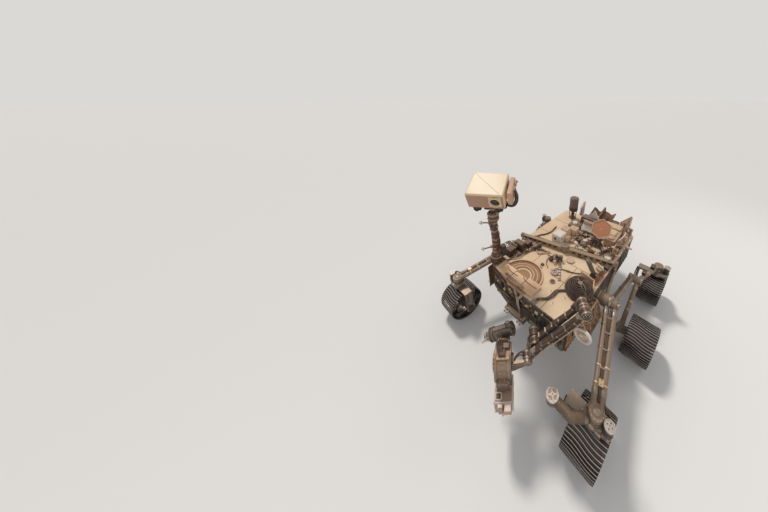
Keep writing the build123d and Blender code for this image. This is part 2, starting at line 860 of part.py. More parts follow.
turret_front = turret_out + turret_h / 2
with BuildPart() as turret:
    bar(
        arm_point(turret_back, fore_port, turret_z),
        arm_point(turret_front, fore_port, turret_z),
        turret_r,
    )
    bar(
        arm_point(turret_front - turret_rim_h, fore_port, turret_z),
        arm_point(turret_front, fore_port, turret_z),
        turret_r + turret_rim,
    )
    bar(
        arm_point(turret_front, fore_port, turret_z),
        arm_point(turret_front + turret_boss_h, fore_port, turret_z),
        turret_boss_r,
    )
    saddle_port = (fore_port + drill_port) / 2
    saddle_z = (turret_z + drill_z) / 2
    arm_box(turret_out, saddle_port, saddle_z, turret_h * 0.8, drill_aside, saddle_height)
    saddle_at = Location((turret_out, drill_port, drill_z), (0, 90 + drill_dip, 0))
    with Locations(Plane(arm_plane.location * saddle_at).location):
        Cylinder(drill_r, 2 * turret_h, mode=Mode.SUBTRACT)
    arm_box(
        turret_out,
        box_port - 30,
        (turret_z + box_top_z) / 2,
        turret_h * 0.7,
        110,
        turret_z - box_top_z,
    )
save(turret, "turret_body")

with BuildPart() as coring_drill:
    bar(drill_point(0), drill_point(drill_length), drill_r)
    for collar in (0, drill_length - 3 * drill_collar_h, drill_length - drill_collar_h):
        bar(drill_point(collar), drill_point(collar + drill_collar_h), drill_r + drill_collar)
    bar(drill_point(drill_length), drill_point(drill_length + bit_length), bit_r)
    for prong in (-1, 1):
        aside = prong * (drill_r - 2 * prong_r)
        bar(
            drill_point(drill_length, aside),
            drill_point(drill_length + prong_length, aside),
            prong_r,
        )
save(coring_drill, "coring_drill")

with BuildPart() as instrument_box:
    arm_box(
        turret_out,
        box_port,
        box_top_z - box_size[2] / 2,
        *box_size,
    )
    arm_box(
        turret_out,
        box_port + (box_size[1] - box_window_depth) / 2,
        box_top_z - box_size[2] / 2,
        box_window,
        box_window_depth,
        box_window,
        mode=Mode.SUBTRACT,
    )
save(instrument_box, "instrument_box")

# Front bays: the tube-handling gear that shows below the deck's front edge.
# Each row: bay, sideways from its centre, block's depth, width and height, knob's height
starboard_bay, port_bay = bay_centres
gear_rows = (
    (starboard_bay, -60, (46, 110, 120), 30),
    (starboard_bay, 60, (50, 80, 90), 46),
    (port_bay, -60, (64, 120, 100), 26),
    (port_bay, 70, (50, 90, 140), 34),
)
with BuildPart() as bay_gear:
    for bay_y, aside, size, knob_h in gear_rows:
        gear_x = body_front_x - bay_depth + size[0] / 2
        bay_floor = bay_top - bay_height
        with Locations((gear_x, bay_y + aside, bay_floor + size[2] / 2)):
            Box(*size)
        with Locations((gear_x, bay_y + aside, bay_floor + size[2] + knob_h / 2)):
            Cylinder(size[0] * 0.36, knob_h)
save(bay_gear, "bay_gear")

# Hazard cameras on a bracket under the front edge
hazard_reach = 70
hazard_y = -60
hazard_half = 160
hazard_height = 44
hazard_lens_r = 15
hazard_lens = 32
hazard_z = belly_z + hazard_height / 2 + 10
with BuildPart() as front_cameras:
    with Locations((body_front_x + hazard_reach / 2, hazard_y, hazard_z)):
        Box(hazard_reach, 2 * hazard_half, hazard_height)
    for aside in (-130, -90, 90, 130):
        lens_at = (body_front_x + hazard_reach + hazard_lens / 2, hazard_y + aside, hazard_z)
        with Locations(Location(lens_at, (0, 90, 0))):
            Cylinder(hazard_lens_r, hazard_lens)
save(front_cameras, "front_cameras")

# Bit carousel on the port wall: a wedge-topped box with a rimmed ring that faces out and down
carousel_x = middle_axle_x + carousel_ahead
with BuildPart() as bit_carousel:
    with BuildSketch(Plane.YZ.offset(carousel_x - carousel_half)):
        with BuildLine():
            Polyline(
                (half_body, carousel_low),
                (half_body, carousel_high),
                (half_body + carousel_out * 0.5, carousel_high),
                (half_body + carousel_out, carousel_low + 110),
                (half_body + carousel_out, carousel_low + 50),
                (half_body + carousel_out * 0.6, carousel_low),
                close=True,
            )
        make_face()
    extrude(amount=2 * carousel_half)
    chamfer(bit_carousel.edges().filter_by(Axis.X).group_by(Axis.Y)[-1], 8)
save(bit_carousel, "bit_carousel")

ring_plane = Plane(
    origin=(carousel_x + carousel_half, half_body + carousel_ring_r + 6, carousel_low + carousel_ring_r + 6),
    z_dir=(1, 0, 0),
)
with BuildPart() as carousel_ring:
    with BuildSketch(ring_plane):
        Circle(carousel_ring_r)
    extrude(amount=carousel_ring_h)
    with BuildSketch(ring_plane.offset(carousel_ring_h)):
        Circle(carousel_ring_r)
        Circle(carousel_ring_r - carousel_ring_lip, mode=Mode.SUBTRACT)
        Circle(carousel_ring_r * 0.45)
    extrude(amount=carousel_ring_h)
save(carousel_ring, "carousel_ring")

# Round tray let into the deck's front corner, with a raised rim and a middle step
tray_x = middle_axle_x + tray_ahead
with BuildPart() as deck_tray:
    with BuildSketch(Plane.XY.offset(deck_z)):
        with Locations((tray_x, tray_y)):
            Circle(tray_r)
    extrude(amount=tray_step)
    with BuildSketch(Plane.XY.offset(deck_z + tray_step)):
        with Locations((tray_x, tray_y)):
            Circle(tray_r)
            Circle(tray_r - tray_rim, mode=Mode.SUBTRACT)
            Circle(tray_r * 0.62)
            Circle(tray_r * 0.52, mode=Mode.SUBTRACT)
    extrude(amount=tray_step)
    cut_corner(deck_z, deck_z + 2 * tray_step)
    split(bisect_by=Plane.YZ.offset(deck_front_x), keep=Keep.BOTTOM)
save(deck_tray, "deck_tray")

# Cover panels that lap over the tray.
# Each row: from the tray's centre ahead and to port, length, width
panel_z = deck_z + 2 * tray_step
panel_rows = (
    (75, -170, 170, 180),
    (85, 15, 150, 180),
    (70, 205, 180, 190),
)
with BuildPart() as cover_panels:
    for ahead, aside, length, width in panel_rows:
        with BuildSketch(Plane.XY.offset(panel_z)):
            with Locations((tray_x + ahead, tray_y + aside)):
                RectangleRounded(length, width, 12)
        extrude(amount=cover_h)
    cut_corner(panel_z, panel_z + cover_h)
    split(bisect_by=Plane.YZ.offset(deck_front_x), keep=Keep.BOTTOM)
save(cover_panels, "cover_panels")

# Low fittings that stand on the deck; each row: ahead of the middle axle, y, length, width, height
box_rows = (
    (600, -545, 130, 110, 96),
    (440, -520, 90, 150, 120),
    (310, -480, 110, 90, 70),
    (480, -70, 40, 40, 14),
    (300, 10, 60, 46, 60),
    (260, -330, 130, 30, 60),
    (-110, -200, 190, 150, 140),
    (-250, -180, 120, 120, 170),
    (-400, -120, 120, 130, 120),
    (-560, -190, 150, 170, 90),
    (-640, 60, 40, 260, 170),
    (-640, 420, 300, 150, 110),
    (-880, 330, 140, 260, 130),
    (-880, -60, 160, 300, 110),
)
with BuildPart() as deck_boxes:
    for ahead, aside, length, width, height in box_rows:
        with BuildSketch(Plane.XY.offset(deck_z)):
            with Locations((middle_axle_x + ahead, aside)):
                RectangleRounded(length, width, 6)
        extrude(amount=height)
save(deck_boxes, "deck_boxes")

# Round fittings on the deck; each row: ahead of the middle axle, y, radius, height
round_rows = (
    (620, 190, 32, 10),
    (490, 130, 46, 24),
    (170, 170, 52, 18),
    (340, 110, 20, 34),
)
with BuildPart() as deck_rounds:
    for ahead, aside, radius, height in round_rows:
        with BuildSketch(Plane.XY.offset(deck_z)):
            with Locations((middle_axle_x + ahead, aside)):
                Circle(radius)
        extrude(amount=height)
save(deck_rounds, "calibration_targets")

# Ribbed dome by the port edge: rings that step in towards the top
with BuildPart() as cable_dome:
    for rib in range(dome_ribs):
        low_angle = radians(78 * rib / dome_ribs)
        high_angle = radians(78 * (rib + 1) / dome_ribs)
        rise = dome_h * (sin(high_angle) - sin(low_angle))
        with BuildSketch(Plane.XY.offset(deck_z + dome_h * sin(low_angle))):
            with Locations((middle_axle_x + dome_ahead, half_body - dome_inset)):
                Circle(dome_r * cos(low_angle))
        extrude(amount=rise * 0.7)
        with BuildSketch(Plane.XY.offset(deck_z + dome_h * sin(low_angle))):
            with Locations((middle_axle_x + dome_ahead, half_body - dome_inset)):
                Circle(dome_r * cos(high_angle) - 2)
        extrude(amount=rise)
save(cable_dome, "cable_dome")

# Leaning post of the port wind boom
post_ahead = 200
post_inset = 100           # from the body's port wall
post_lean = Vector(60, -90, 230)
post_r = 24
post_foot_h = 28
post_foot_size = (90, 80)
with BuildPart() as wind_post:
    foot = Vector(middle_axle_x + post_ahead, half_body - post_inset, deck_z + post_foot_h / 2)
    bar(foot, foot + post_lean, post_r)
    with Locations(foot):
        Box(*post_foot_size, post_foot_h)
save(wind_post, "wind_post")
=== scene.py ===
from math import cos, pi, radians, sin, tau

import bpy
import numpy as np
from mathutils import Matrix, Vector


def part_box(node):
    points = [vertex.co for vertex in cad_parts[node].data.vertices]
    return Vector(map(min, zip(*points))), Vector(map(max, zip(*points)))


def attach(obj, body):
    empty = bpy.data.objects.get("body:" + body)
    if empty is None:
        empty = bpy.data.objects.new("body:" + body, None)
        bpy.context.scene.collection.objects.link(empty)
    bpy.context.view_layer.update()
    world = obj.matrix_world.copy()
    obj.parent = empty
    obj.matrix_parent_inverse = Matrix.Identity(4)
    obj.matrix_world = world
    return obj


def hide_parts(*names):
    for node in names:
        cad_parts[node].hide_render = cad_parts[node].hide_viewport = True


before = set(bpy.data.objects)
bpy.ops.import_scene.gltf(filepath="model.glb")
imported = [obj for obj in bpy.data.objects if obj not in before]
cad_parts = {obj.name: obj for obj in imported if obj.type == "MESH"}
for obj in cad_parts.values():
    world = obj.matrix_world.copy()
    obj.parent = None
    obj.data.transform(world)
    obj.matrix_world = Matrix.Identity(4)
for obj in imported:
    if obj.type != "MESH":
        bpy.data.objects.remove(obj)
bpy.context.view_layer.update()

# Stage: a wide pale matt floor under an even pale world, one soft sun high behind the starboard side,
# two soft lamps, and the camera at the photograph's place, high in front of the rover's port corner.
scene = bpy.context.scene
scene.view_settings.view_transform = "Standard"


def new_material(name, colour, roughness=0.5, metallic=0.0):
    """A node material with its shader's colour, roughness and metal set; also its tree and shader."""
    material = bpy.data.materials.new(name)
    material.use_nodes = True
    shader = material.node_tree.nodes["Principled BSDF"]
    shader.inputs["Base Color"].default_value = (*colour, 1)
    shader.inputs["Roughness"].default_value = roughness
    shader.inputs["Metallic"].default_value = metallic
    return material, material.node_tree, shader


def node(tree, kind, *first, mode=None, **named):
    """A shader node; inputs come in order or by name, and a socket is linked while a value is set."""
    made = tree.nodes.new("ShaderNode" + kind)
    if kind == "Mix":
        made.data_type = "RGBA"
    if mode:
        made.operation = mode
    inputs = dict(enumerate(first)) | {name.replace("_", " "): value for name, value in named.items()}
    for name, value in inputs.items():
        if isinstance(value, bpy.types.NodeSocket):
            tree.links.new(value, made.inputs[name])
        else:
            made.inputs[name].default_value = value
    return made


floor_sides = 96
floor_turn = np.linspace(0, tau, floor_sides, endpoint=False)
floor_rings = np.array([0.01, 6.0, 60.0, 600.0])[::-1]
floor_mesh = bpy.data.meshes.new("floor")
floor_points = np.stack([np.outer(floor_rings, np.cos(floor_turn)),
    np.outer(floor_rings, np.sin(floor_turn)), np.zeros((4, floor_sides))], -1).reshape(-1, 3)
ring_step, turn_step = np.meshgrid(np.arange(3), np.arange(floor_sides), indexing="ij")
here = ring_step * floor_sides + turn_step
beside = ring_step * floor_sides + (turn_step + 1) % floor_sides
floor_faces = np.stack([here, beside, beside + floor_sides, here + floor_sides], -1).reshape(-1, 4)
floor_middle = list(range(3 * floor_sides, 4 * floor_sides))
floor_mesh.from_pydata(floor_points.tolist(), [], floor_faces.tolist() + [floor_middle])
floor = bpy.data.objects.new("floor", floor_mesh)
scene.collection.objects.link(floor)
floor_finish, tree, shader = new_material("floor_pale", (0.86, 0.845, 0.825), 0.9)
grit = node(tree, "TexNoise", node(tree, "TexCoord").outputs["Object"], Scale=3)
grit_bump = node(tree, "Bump", Strength=0.05, Height=grit.outputs["Fac"])
tree.links.new(grit_bump.outputs["Normal"], shader.inputs["Normal"])
floor.data.materials.append(floor_finish)

world = bpy.data.worlds.new("studio")
scene.world = world
world.use_nodes = True
tree = world.node_tree
glow = tree.nodes["Background"]
glow.inputs["Color"].default_value = (0.84, 0.84, 0.85, 1)
glow.inputs["Strength"].default_value = 0.45
backdrop = node(tree, "Background", (0.71, 0.695, 0.675, 1))
ray = node(tree, "LightPath").outputs
seen = node(tree, "Math", ray["Is Camera Ray"], ray["Is Glossy Ray"], mode="MAXIMUM")
through = node(tree, "Math", seen.outputs[0], ray["Is Transmission Ray"], mode="MAXIMUM")
either = node(tree, "MixShader", through.outputs[0], glow.outputs[0], backdrop.outputs[0])
tree.links.new(either.outputs[0], tree.nodes["World Output"].inputs["Surface"])


def lamp(name, place, aim, size, power, colour):
    """A square area lamp at place that shines at aim."""
    light = bpy.data.lights.new(name, "AREA")
    light.size = size
    light.energy = power
    light.color = colour
    made = bpy.data.objects.new(name, light)
    made.location = place
    made.rotation_euler = (Vector(aim) - Vector(place)).to_track_quat("-Z", "Y").to_euler()
    scene.collection.objects.link(made)


sun_light = bpy.data.lights.new("sun", "SUN")
sun_light.energy = 1.55
sun_light.angle = radians(9)
sun_light.color = (1.0, 0.965, 0.92)
sun = bpy.data.objects.new("sun", sun_light)
sun.rotation_euler = Vector((0.17, 0.49, -0.85)).to_track_quat("-Z", "Y").to_euler()
scene.collection.objects.link(sun)
lamp("fill", (4.5, 4.5, 3.5), (0, 0, 0.8), 4.0, 50, (0.97, 0.98, 1.0))
lamp("rim", (-4.5, 3.0, 4.5), (0, 0, 0.8), 3.0, 32, (1.0, 0.98, 0.95))

photo_width = 768
photo_height = 512
camera_focal_px = 200
camera_centre_px = (525.6, 205)
camera_place = (1.98, 1.09, 3.036)
camera_yaw = radians(-137.95)
camera_pitch = radians(-27.7)
camera_data = bpy.data.cameras.new("camera")
camera_data.sensor_width = 36
camera_data.lens = camera_focal_px / photo_width * camera_data.sensor_width
camera_data.shift_x = (photo_width / 2 - camera_centre_px[0]) / photo_width
camera_data.shift_y = (camera_centre_px[1] - photo_height / 2) / photo_width
camera = bpy.data.objects.new("camera", camera_data)
camera.location = camera_place
look = Vector((cos(camera_yaw) * cos(camera_pitch), sin(camera_yaw) * cos(camera_pitch),
    sin(camera_pitch)))
camera.rotation_euler = look.to_track_quat("-Z", "Y").to_euler()
scene.collection.objects.link(camera)
scene.camera = camera

# Wheels: one machined aluminium skin each, anodised nearly black, with 48 gently waved lugs
# whose crowns are coloured bright. A clamp ring with 24 bolts holds the skin to its bowed spokes.


def dusty(name, colour, roughness=0.55, metallic=0.0, dust=0.5, dust_colour=(0.4, 0.235, 0.14),
        grain=18.0, bump=0.15, worn=None, mottle=0.16):
    """A finish whose colour goes over to dust where noise and the upward face agree; scratches bare worn."""
    material, tree, shader = new_material(name, colour, roughness, metallic)
    place = node(tree, "TexCoord").outputs
    broad = node(tree, "TexNoise", place["Object"], Scale=grain * 0.3, Detail=6)
    fine = node(tree, "TexNoise", place["Object"], Scale=grain * 4, Detail=8).outputs["Fac"]
    rise = node(tree, "SeparateXYZ", place["Normal"]).outputs["Z"]
    upward = node(tree, "MapRange", rise, From_Min=-0.2, From_Max=0.95, To_Min=0.2)
    cover = node(tree, "Math", upward.outputs["Result"], broad.outputs["Fac"], mode="MULTIPLY")
    amount = node(tree, "MapRange", cover.outputs[0], From_Min=0.12, From_Max=0.62, To_Max=dust)
    amount = amount.outputs["Result"]
    shade = node(tree, "Mix", Factor=fine, A=(*[c * (1 - mottle) for c in colour], 1),
        B=(*[min(1, c * (1 + mottle * 0.8)) for c in colour], 1)).outputs["Result"]
    if worn:
        stretch = node(tree, "Mapping", place["Object"], Scale=(1, 1, 2.6))
        streak = node(tree, "TexNoise", stretch.outputs["Vector"], Scale=grain * 2.2, Detail=9,
            Roughness=0.7)
        bare = node(tree, "MapRange", streak.outputs["Fac"], From_Min=0.58, From_Max=0.66, To_Max=0.75)
        shade = node(tree, "Mix", Factor=bare.outputs["Result"], A=shade, B=(*worn, 1)).outputs["Result"]
    mix = node(tree, "Mix", Factor=amount, A=shade, B=(*dust_colour, 1))
    tree.links.new(mix.outputs["Result"], shader.inputs["Base Color"])
    rough = node(tree, "MapRange", amount, To_Min=roughness * 0.85, To_Max=min(1.0, roughness + 0.35))
    tree.links.new(rough.outputs["Result"], shader.inputs["Roughness"])
    relief = node(tree, "Bump", Strength=bump, Distance=0.002, Height=fine)
    tree.links.new(relief.outputs["Normal"], shader.inputs["Normal"])
    return material


def finish_nodes(material, *names):
    """Gives CAD nodes one finish."""
    for name in names:
        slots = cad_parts[name].data.materials
        slots.clear()
        slots.append(material)


def grid(rows, around=True, caps=True):
    """Quads between rows of points; around joins each row's end to its start, caps fills both end rows."""
    rows = np.asarray(rows, float)
    count, width = rows.shape[:2]
    i, j = np.meshgrid(np.arange(count - 1), np.arange(width if around else width - 1), indexing="ij")
    k = (j + 1) % width
    quads = np.stack([i * width + j, i * width + k, (i + 1) * width + k, (i + 1) * width + j], -1)
    faces = quads.reshape(-1, 4).tolist()
    if caps:
        faces.append(list(range(width))[::-1])
        faces.append(list(range((count - 1) * width, count * width)))
    return rows.reshape(-1, 3), faces


def piece(name, chunks, finishes, body="root", sharp=35):
    """One object from chunks of (points, faces, finish number), which rides on a body."""
    points, faces, numbers, base = [], [], [], 0
    for chunk in chunks:
        points.append(np.asarray(chunk[0], float))
        faces += chunk[1] if base == 0 else [[index + base for index in face] for face in chunk[1]]
        numbers += [chunk[2] if len(chunk) > 2 else 0] * len(chunk[1])
        base += len(chunk[0])
    mesh = bpy.data.meshes.new(name)
    mesh.from_pydata(np.concatenate(points).tolist(), [], faces)
    mesh.polygons.foreach_set("material_index", np.array(numbers, dtype=np.int32))
    mesh.polygons.foreach_set("use_smooth", np.ones(len(faces), dtype=bool))
    mesh.set_sharp_from_angle(angle=radians(sharp))
    for finish in finishes:
        mesh.materials.append(finish)
    mesh.update()
    made = bpy.data.objects.new(name, mesh)
    scene.collection.objects.link(made)
    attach(made, body)
    return made


def turned(profile, origin, axis=(0, 0, 1), sides=28, caps=True):
    """A profile of (radius, height) pairs turned round the axis through origin."""
    radius, height = np.array(profile, float).T
    turn = np.linspace(0, tau, sides, endpoint=False)
    z = np.array(axis, float) / np.linalg.norm(axis)
    x = np.cross((0, 0, 1) if abs(z[2]) < 0.9 else (1, 0, 0), z)
    x /= np.linalg.norm(x)
    y = np.cross(z, x)
    ring = np.outer(np.cos(turn), x) + np.outer(np.sin(turn), y)
    rows = np.asarray(origin, float) + radius[:, None, None] * ring + height[:, None, None] * z
    return grid(rows, caps=caps)


def studs(places, axis, radius=0.004, height=0.004, sides=6):
    """One six-sided bolt head with a chamfered top at every place, all in one array."""
    places = np.atleast_2d(np.asarray(places, float))
    head, faces = turned([(radius, -0.001), (radius, height * 0.7), (radius * 0.78, height)], (0, 0, 0),
        axis, sides)
    points = (places[:, None, :] + head[None, :, :]).reshape(-1, 3)
    every = [[index + k * len(head) for index in face] for k in range(len(places)) for face in faces]
    return points, every


def hoop(profile, origin, axis=(0, 0, 1), sides=28):
    """A turned profile whose two ends stay open, as on a band or a ring."""
    return turned(profile, origin, axis, sides, caps=False)


def bolts(count, circle, origin, axis, radius=0.004, height=0.004, sides=6):
    """Bolt heads spaced evenly on a circle that is square to the axis."""
    places = hoop([(circle, 0)], origin, axis, count)[0]
    return studs(places, axis, radius, height, sides)


def painted(number, *shapes):
    """Shapes as a piece's chunks, all with the finish of one number."""
    return [(*shape, number) for shape in shapes]


def at(*place):
    """A place or a way as an array."""
    return np.array(place, float)


wheel_names = ("fl", "fr", "ml", "mr", "rl", "rr")
wheel_radius = 0.2625
skin_radius = 0.2515
lug_count = 48
lug_wave = 0.008
skin_inner = 0.244
wheel_black = dusty("wheel_black_anodised", (0.04, 0.036, 0.036), 0.3, 0.75, dust=0.1,
    worn=(0.2, 0.17, 0.15))
lug_bright = dusty("lug_crown_bright_aluminium", (0.5, 0.47, 0.45), 0.28, 0.95, dust=0.15, bump=0.1)
hub_grey = dusty("hub_machined", (0.2, 0.175, 0.155), 0.38, 0.85, dust=0.3, worn=(0.42, 0.38, 0.34))
drive_dark = dusty("drive_dark", (0.055, 0.047, 0.042), 0.4, 0.6, dust=0.3)


def tyre_surface(centre):
    """The skin as radius over angle and width: six points a lug, and the lug's angle sways as one sine."""
    across = np.linspace(-1, 1, 19)
    half_width = 0.165
    pitch = tau / lug_count
    profile = np.array([(-0.0066 / skin_radius, skin_radius),
        (-0.0026 / skin_radius, wheel_radius - 0.0006), (0.0, wheel_radius),
        (0.0026 / skin_radius, wheel_radius - 0.0006), (0.0066 / skin_radius, skin_radius),
        (pitch / 2, skin_radius)])
    turn = (np.arange(lug_count)[:, None] * pitch + profile[None, :, 0]).ravel()
    radius = np.tile(profile[:, 1], lug_count)
    sway = lug_wave / skin_radius * np.sin(pi * across) * (1 - 0.25 * across ** 2)
    angle = turn[None, :] + sway[:, None]
    crown = 0.005 * np.clip(np.abs(across) - 0.86, 0, 1) / 0.14
    reach = radius[None, :] - crown[:, None]
    y = np.repeat((across * half_width)[:, None], len(turn), 1)
    outside = np.stack([reach * np.cos(angle), y, -reach * np.sin(angle)], -1)
    step = np.array([(-0.163, 0.0), (-0.157, 0.006), (-0.148, 0.0), (-0.03, 0.0), (-0.024, 0.014),
        (0.024, 0.014), (0.03, 0), (0.148, 0), (0.157, 0.006), (0.163, 0)])
    inner_turn = turn[::2]
    inner = (skin_inner - step[:, 1])[::-1, None]
    inside = np.stack([inner * np.cos(inner_turn), np.repeat(step[::-1, 0][:, None], len(inner_turn), 1),
        -inner * np.sin(inner_turn)], -1)
    shell = grid(outside + centre, caps=False)
    lining = grid(inside + centre, caps=False)
    rims = []
    for row, inner_row in ((outside[-1], inside[0]), (inside[-1], outside[0])):
        if len(row) < len(inner_row):
            wide, narrow = inner_row, row
            pairs = np.concatenate([np.repeat(narrow, 2, 0)[None], wide[None]])
        else:
            pairs = np.concatenate([row[None], np.repeat(inner_row, 2, 0)[None]])
        rims.append(grid(pairs + centre, caps=False))
    numbers = np.zeros((18, len(turn)), dtype=int)
    numbers[:, np.isin(np.arange(len(turn)) % 6, (1, 2))] = 1
    return shell, numbers.ravel(), lining, rims


for wheel in wheel_names:
    low, high = (np.array(corner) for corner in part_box(f"tyre_{wheel}"))
    wheel_centre = (low + high) / 2
    wheel_side = 1 if wheel_centre[1] > 0 else -1
    shell, numbers, lining, rims = tyre_surface(wheel_centre)
    tyre = piece(f"skin_{wheel}", [shell, lining, *rims], [wheel_black, lug_bright], f"wheel_{wheel}", 30)
    indices = np.zeros(len(tyre.data.polygons), dtype=np.int32)
    indices[:len(numbers)] = numbers
    tyre.data.polygons.foreach_set("material_index", indices)
    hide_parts(f"tyre_{wheel}")

    outward = 0, wheel_side, 0
    hub_face = wheel_centre + at(0, wheel_side * 0.052, 0)
    hub_parts = painted(1,
        turned([(0.058, -0.004), (0.058, 0.005), (0.05, 0.008), (0.034, 0.008), (0.03, 0.013),
            (0.014, 0.016), (0.0015, 0.016)], hub_face, outward, 36),
        bolts(12, 0.071, hub_face, outward, 0.0048, 0.005),
        bolts(24, 0.2305, wheel_centre + at(0, wheel_side * 0.037, 0), outward, 0.0042))
    hub_parts += painted(0,
        bolts(6, 0.042, hub_face + np.array(outward) * 0.007, outward),
        hoop([(0.2395, -0.006), (0.2395, 0.006), (0.229, 0.009), (0.222, 0.006), (0.222, -0.006),
            (0.229, -0.009), (0.2395, -0.006)], wheel_centre + at(0, wheel_side * 0.028, 0), outward, 72))
    piece(f"hub_trim_{wheel}", hub_parts, [hub_grey, drive_dark], f"wheel_{wheel}")
finish_nodes(hub_grey, *[f"hub_{wheel}" for wheel in wheel_names])

# Knuckles and steering actuators: machined aluminium arches bolted over the wheels, each turned
# by a flanged gear case with a bolt circle, and a can motor with a clamped cap beside it.
steer_grey = dusty("steer_machined", (0.25, 0.215, 0.18), 0.42, 0.75, dust=0.35, worn=(0.5, 0.46, 0.42))
cap_pale = dusty("cap_pale_alloy", (0.62, 0.56, 0.5), 0.4, 0.5, dust=0.3)
cable_black = dusty("cable_black_sleeve", (0.03, 0.024, 0.02), 0.65, dust=0.3, grain=60, bump=0.4)
clamp_gold = dusty("clamp_gold", (0.62, 0.46, 0.27), 0.38, 0.7, dust=0.25)
steering_y = 1.08
front_axle_x = 1.08
rear_axle_x = -1.17
case_top_z = 0.6293
knuckle_top_z = 0.583
up = (0, 0, 1)


def block(size, origin, across=(1, 0, 0), up=(0, 0, 1), edge=0.004, corner=None):
    """A block with rounded corners and bevelled rims: one rounded outline at four heights."""
    length, width, height = size
    corner = edge if corner is None else corner
    quarter = np.linspace(0, pi / 2, 4)
    outline = []
    for k, (sx, sy) in enumerate(((1, 1), (-1, 1), (-1, -1), (1, -1))):
        turn = quarter + k * pi / 2
        outline.append(np.stack([sx * (length / 2 - corner) + corner * np.cos(turn),
            sy * (width / 2 - corner) + corner * np.sin(turn)], -1))
    outline = np.concatenate(outline)
    shrink = np.array([1 - 2 * edge / length, 1 - 2 * edge / width])
    heights = (-height / 2, edge - height / 2, height / 2 - edge, height / 2)
    scales = (shrink, np.ones(2), np.ones(2), shrink)
    rows = [np.column_stack([outline * scale, np.full(len(outline), z)])
        for scale, z in zip(scales, heights)]
    points, faces = grid(np.array(rows))
    return placed(points, origin, across, up), faces


def placed(points, origin, across=(1, 0, 0), up=(0, 0, 1)):
    """Points of a local frame set at origin: x lies along across, z along up."""
    z = np.array(up, float) / np.linalg.norm(up)
    x = np.array(across, float)
    x = x - z * (x @ z)
    x /= np.linalg.norm(x)
    return np.asarray(origin, float) + np.asarray(points, float) @ np.stack([x, np.cross(z, x), z])


def bent(places, samples=24):
    """A smooth path through places: each stretch is a cubic whose ends lean along their neighbours."""
    p = np.asarray(places, float)
    p = np.concatenate([[2 * p[0] - p[1]], p, [2 * p[-1] - p[-2]]])
    stretch = np.linspace(0, len(p) - 3, samples)
    k = np.minimum(stretch.astype(int), len(p) - 4)
    t = (stretch - k)[:, None]
    a, b, c, d = p[k], p[k + 1], p[k + 2], p[k + 3]
    square, cube = 2 * a - 5 * b + 4 * c - d, 3 * b - a - 3 * c + d
    return 0.5 * (2 * b + (c - a) * t + square * t ** 2 + cube * t ** 3)


def swept(path, outline, up=None):
    """An outline of (side, rise) pairs carried along a path, with frames that turn as little as they can."""
    path = np.asarray(path, float)
    ahead = np.gradient(path, axis=0)
    ahead /= np.linalg.norm(ahead, axis=1)[:, None]
    first = np.array(up if up is not None else (0, 0, 1) if abs(ahead[0][2]) < 0.9 else (1, 0, 0), float)
    rises = []
    rise = first
    for way in ahead:
        rise = (first if up is not None else rise) - way * ((first if up is not None else rise) @ way)
        rise = rise / np.linalg.norm(rise)
        rises.append(rise)
    rises = np.array(rises)
    sides = np.cross(ahead, rises)
    outline = np.asarray(outline, float)
    side_steps = outline[None, :, 0, None] * sides[:, None]
    rise_steps = outline[None, :, 1, None] * rises[:, None]
    return grid(path[:, None] + side_steps + rise_steps)


def tube(places, radius, samples=20, sides=8):
    """A round tube along a smooth path through places."""
    turn = np.linspace(0, tau, sides, endpoint=False)
    return swept(bent(places, samples), np.stack([radius * np.sin(turn), radius * np.cos(turn)],
        -1)[::-1])


def band(centre, axis, radius, width, lift=0.004, sides=28):
    """A clamp band round a tube: a low ring with chamfered shoulders."""
    return hoop([(radius - 0.001, -width / 2), (radius + lift * 0.7, -width / 2),
        (radius + lift, -width * 0.3), (radius + lift, width * 0.3), (radius + lift * 0.7, width / 2),
        (radius - 0.001, width / 2), (radius - 0.001, -width / 2)], centre, axis, sides)


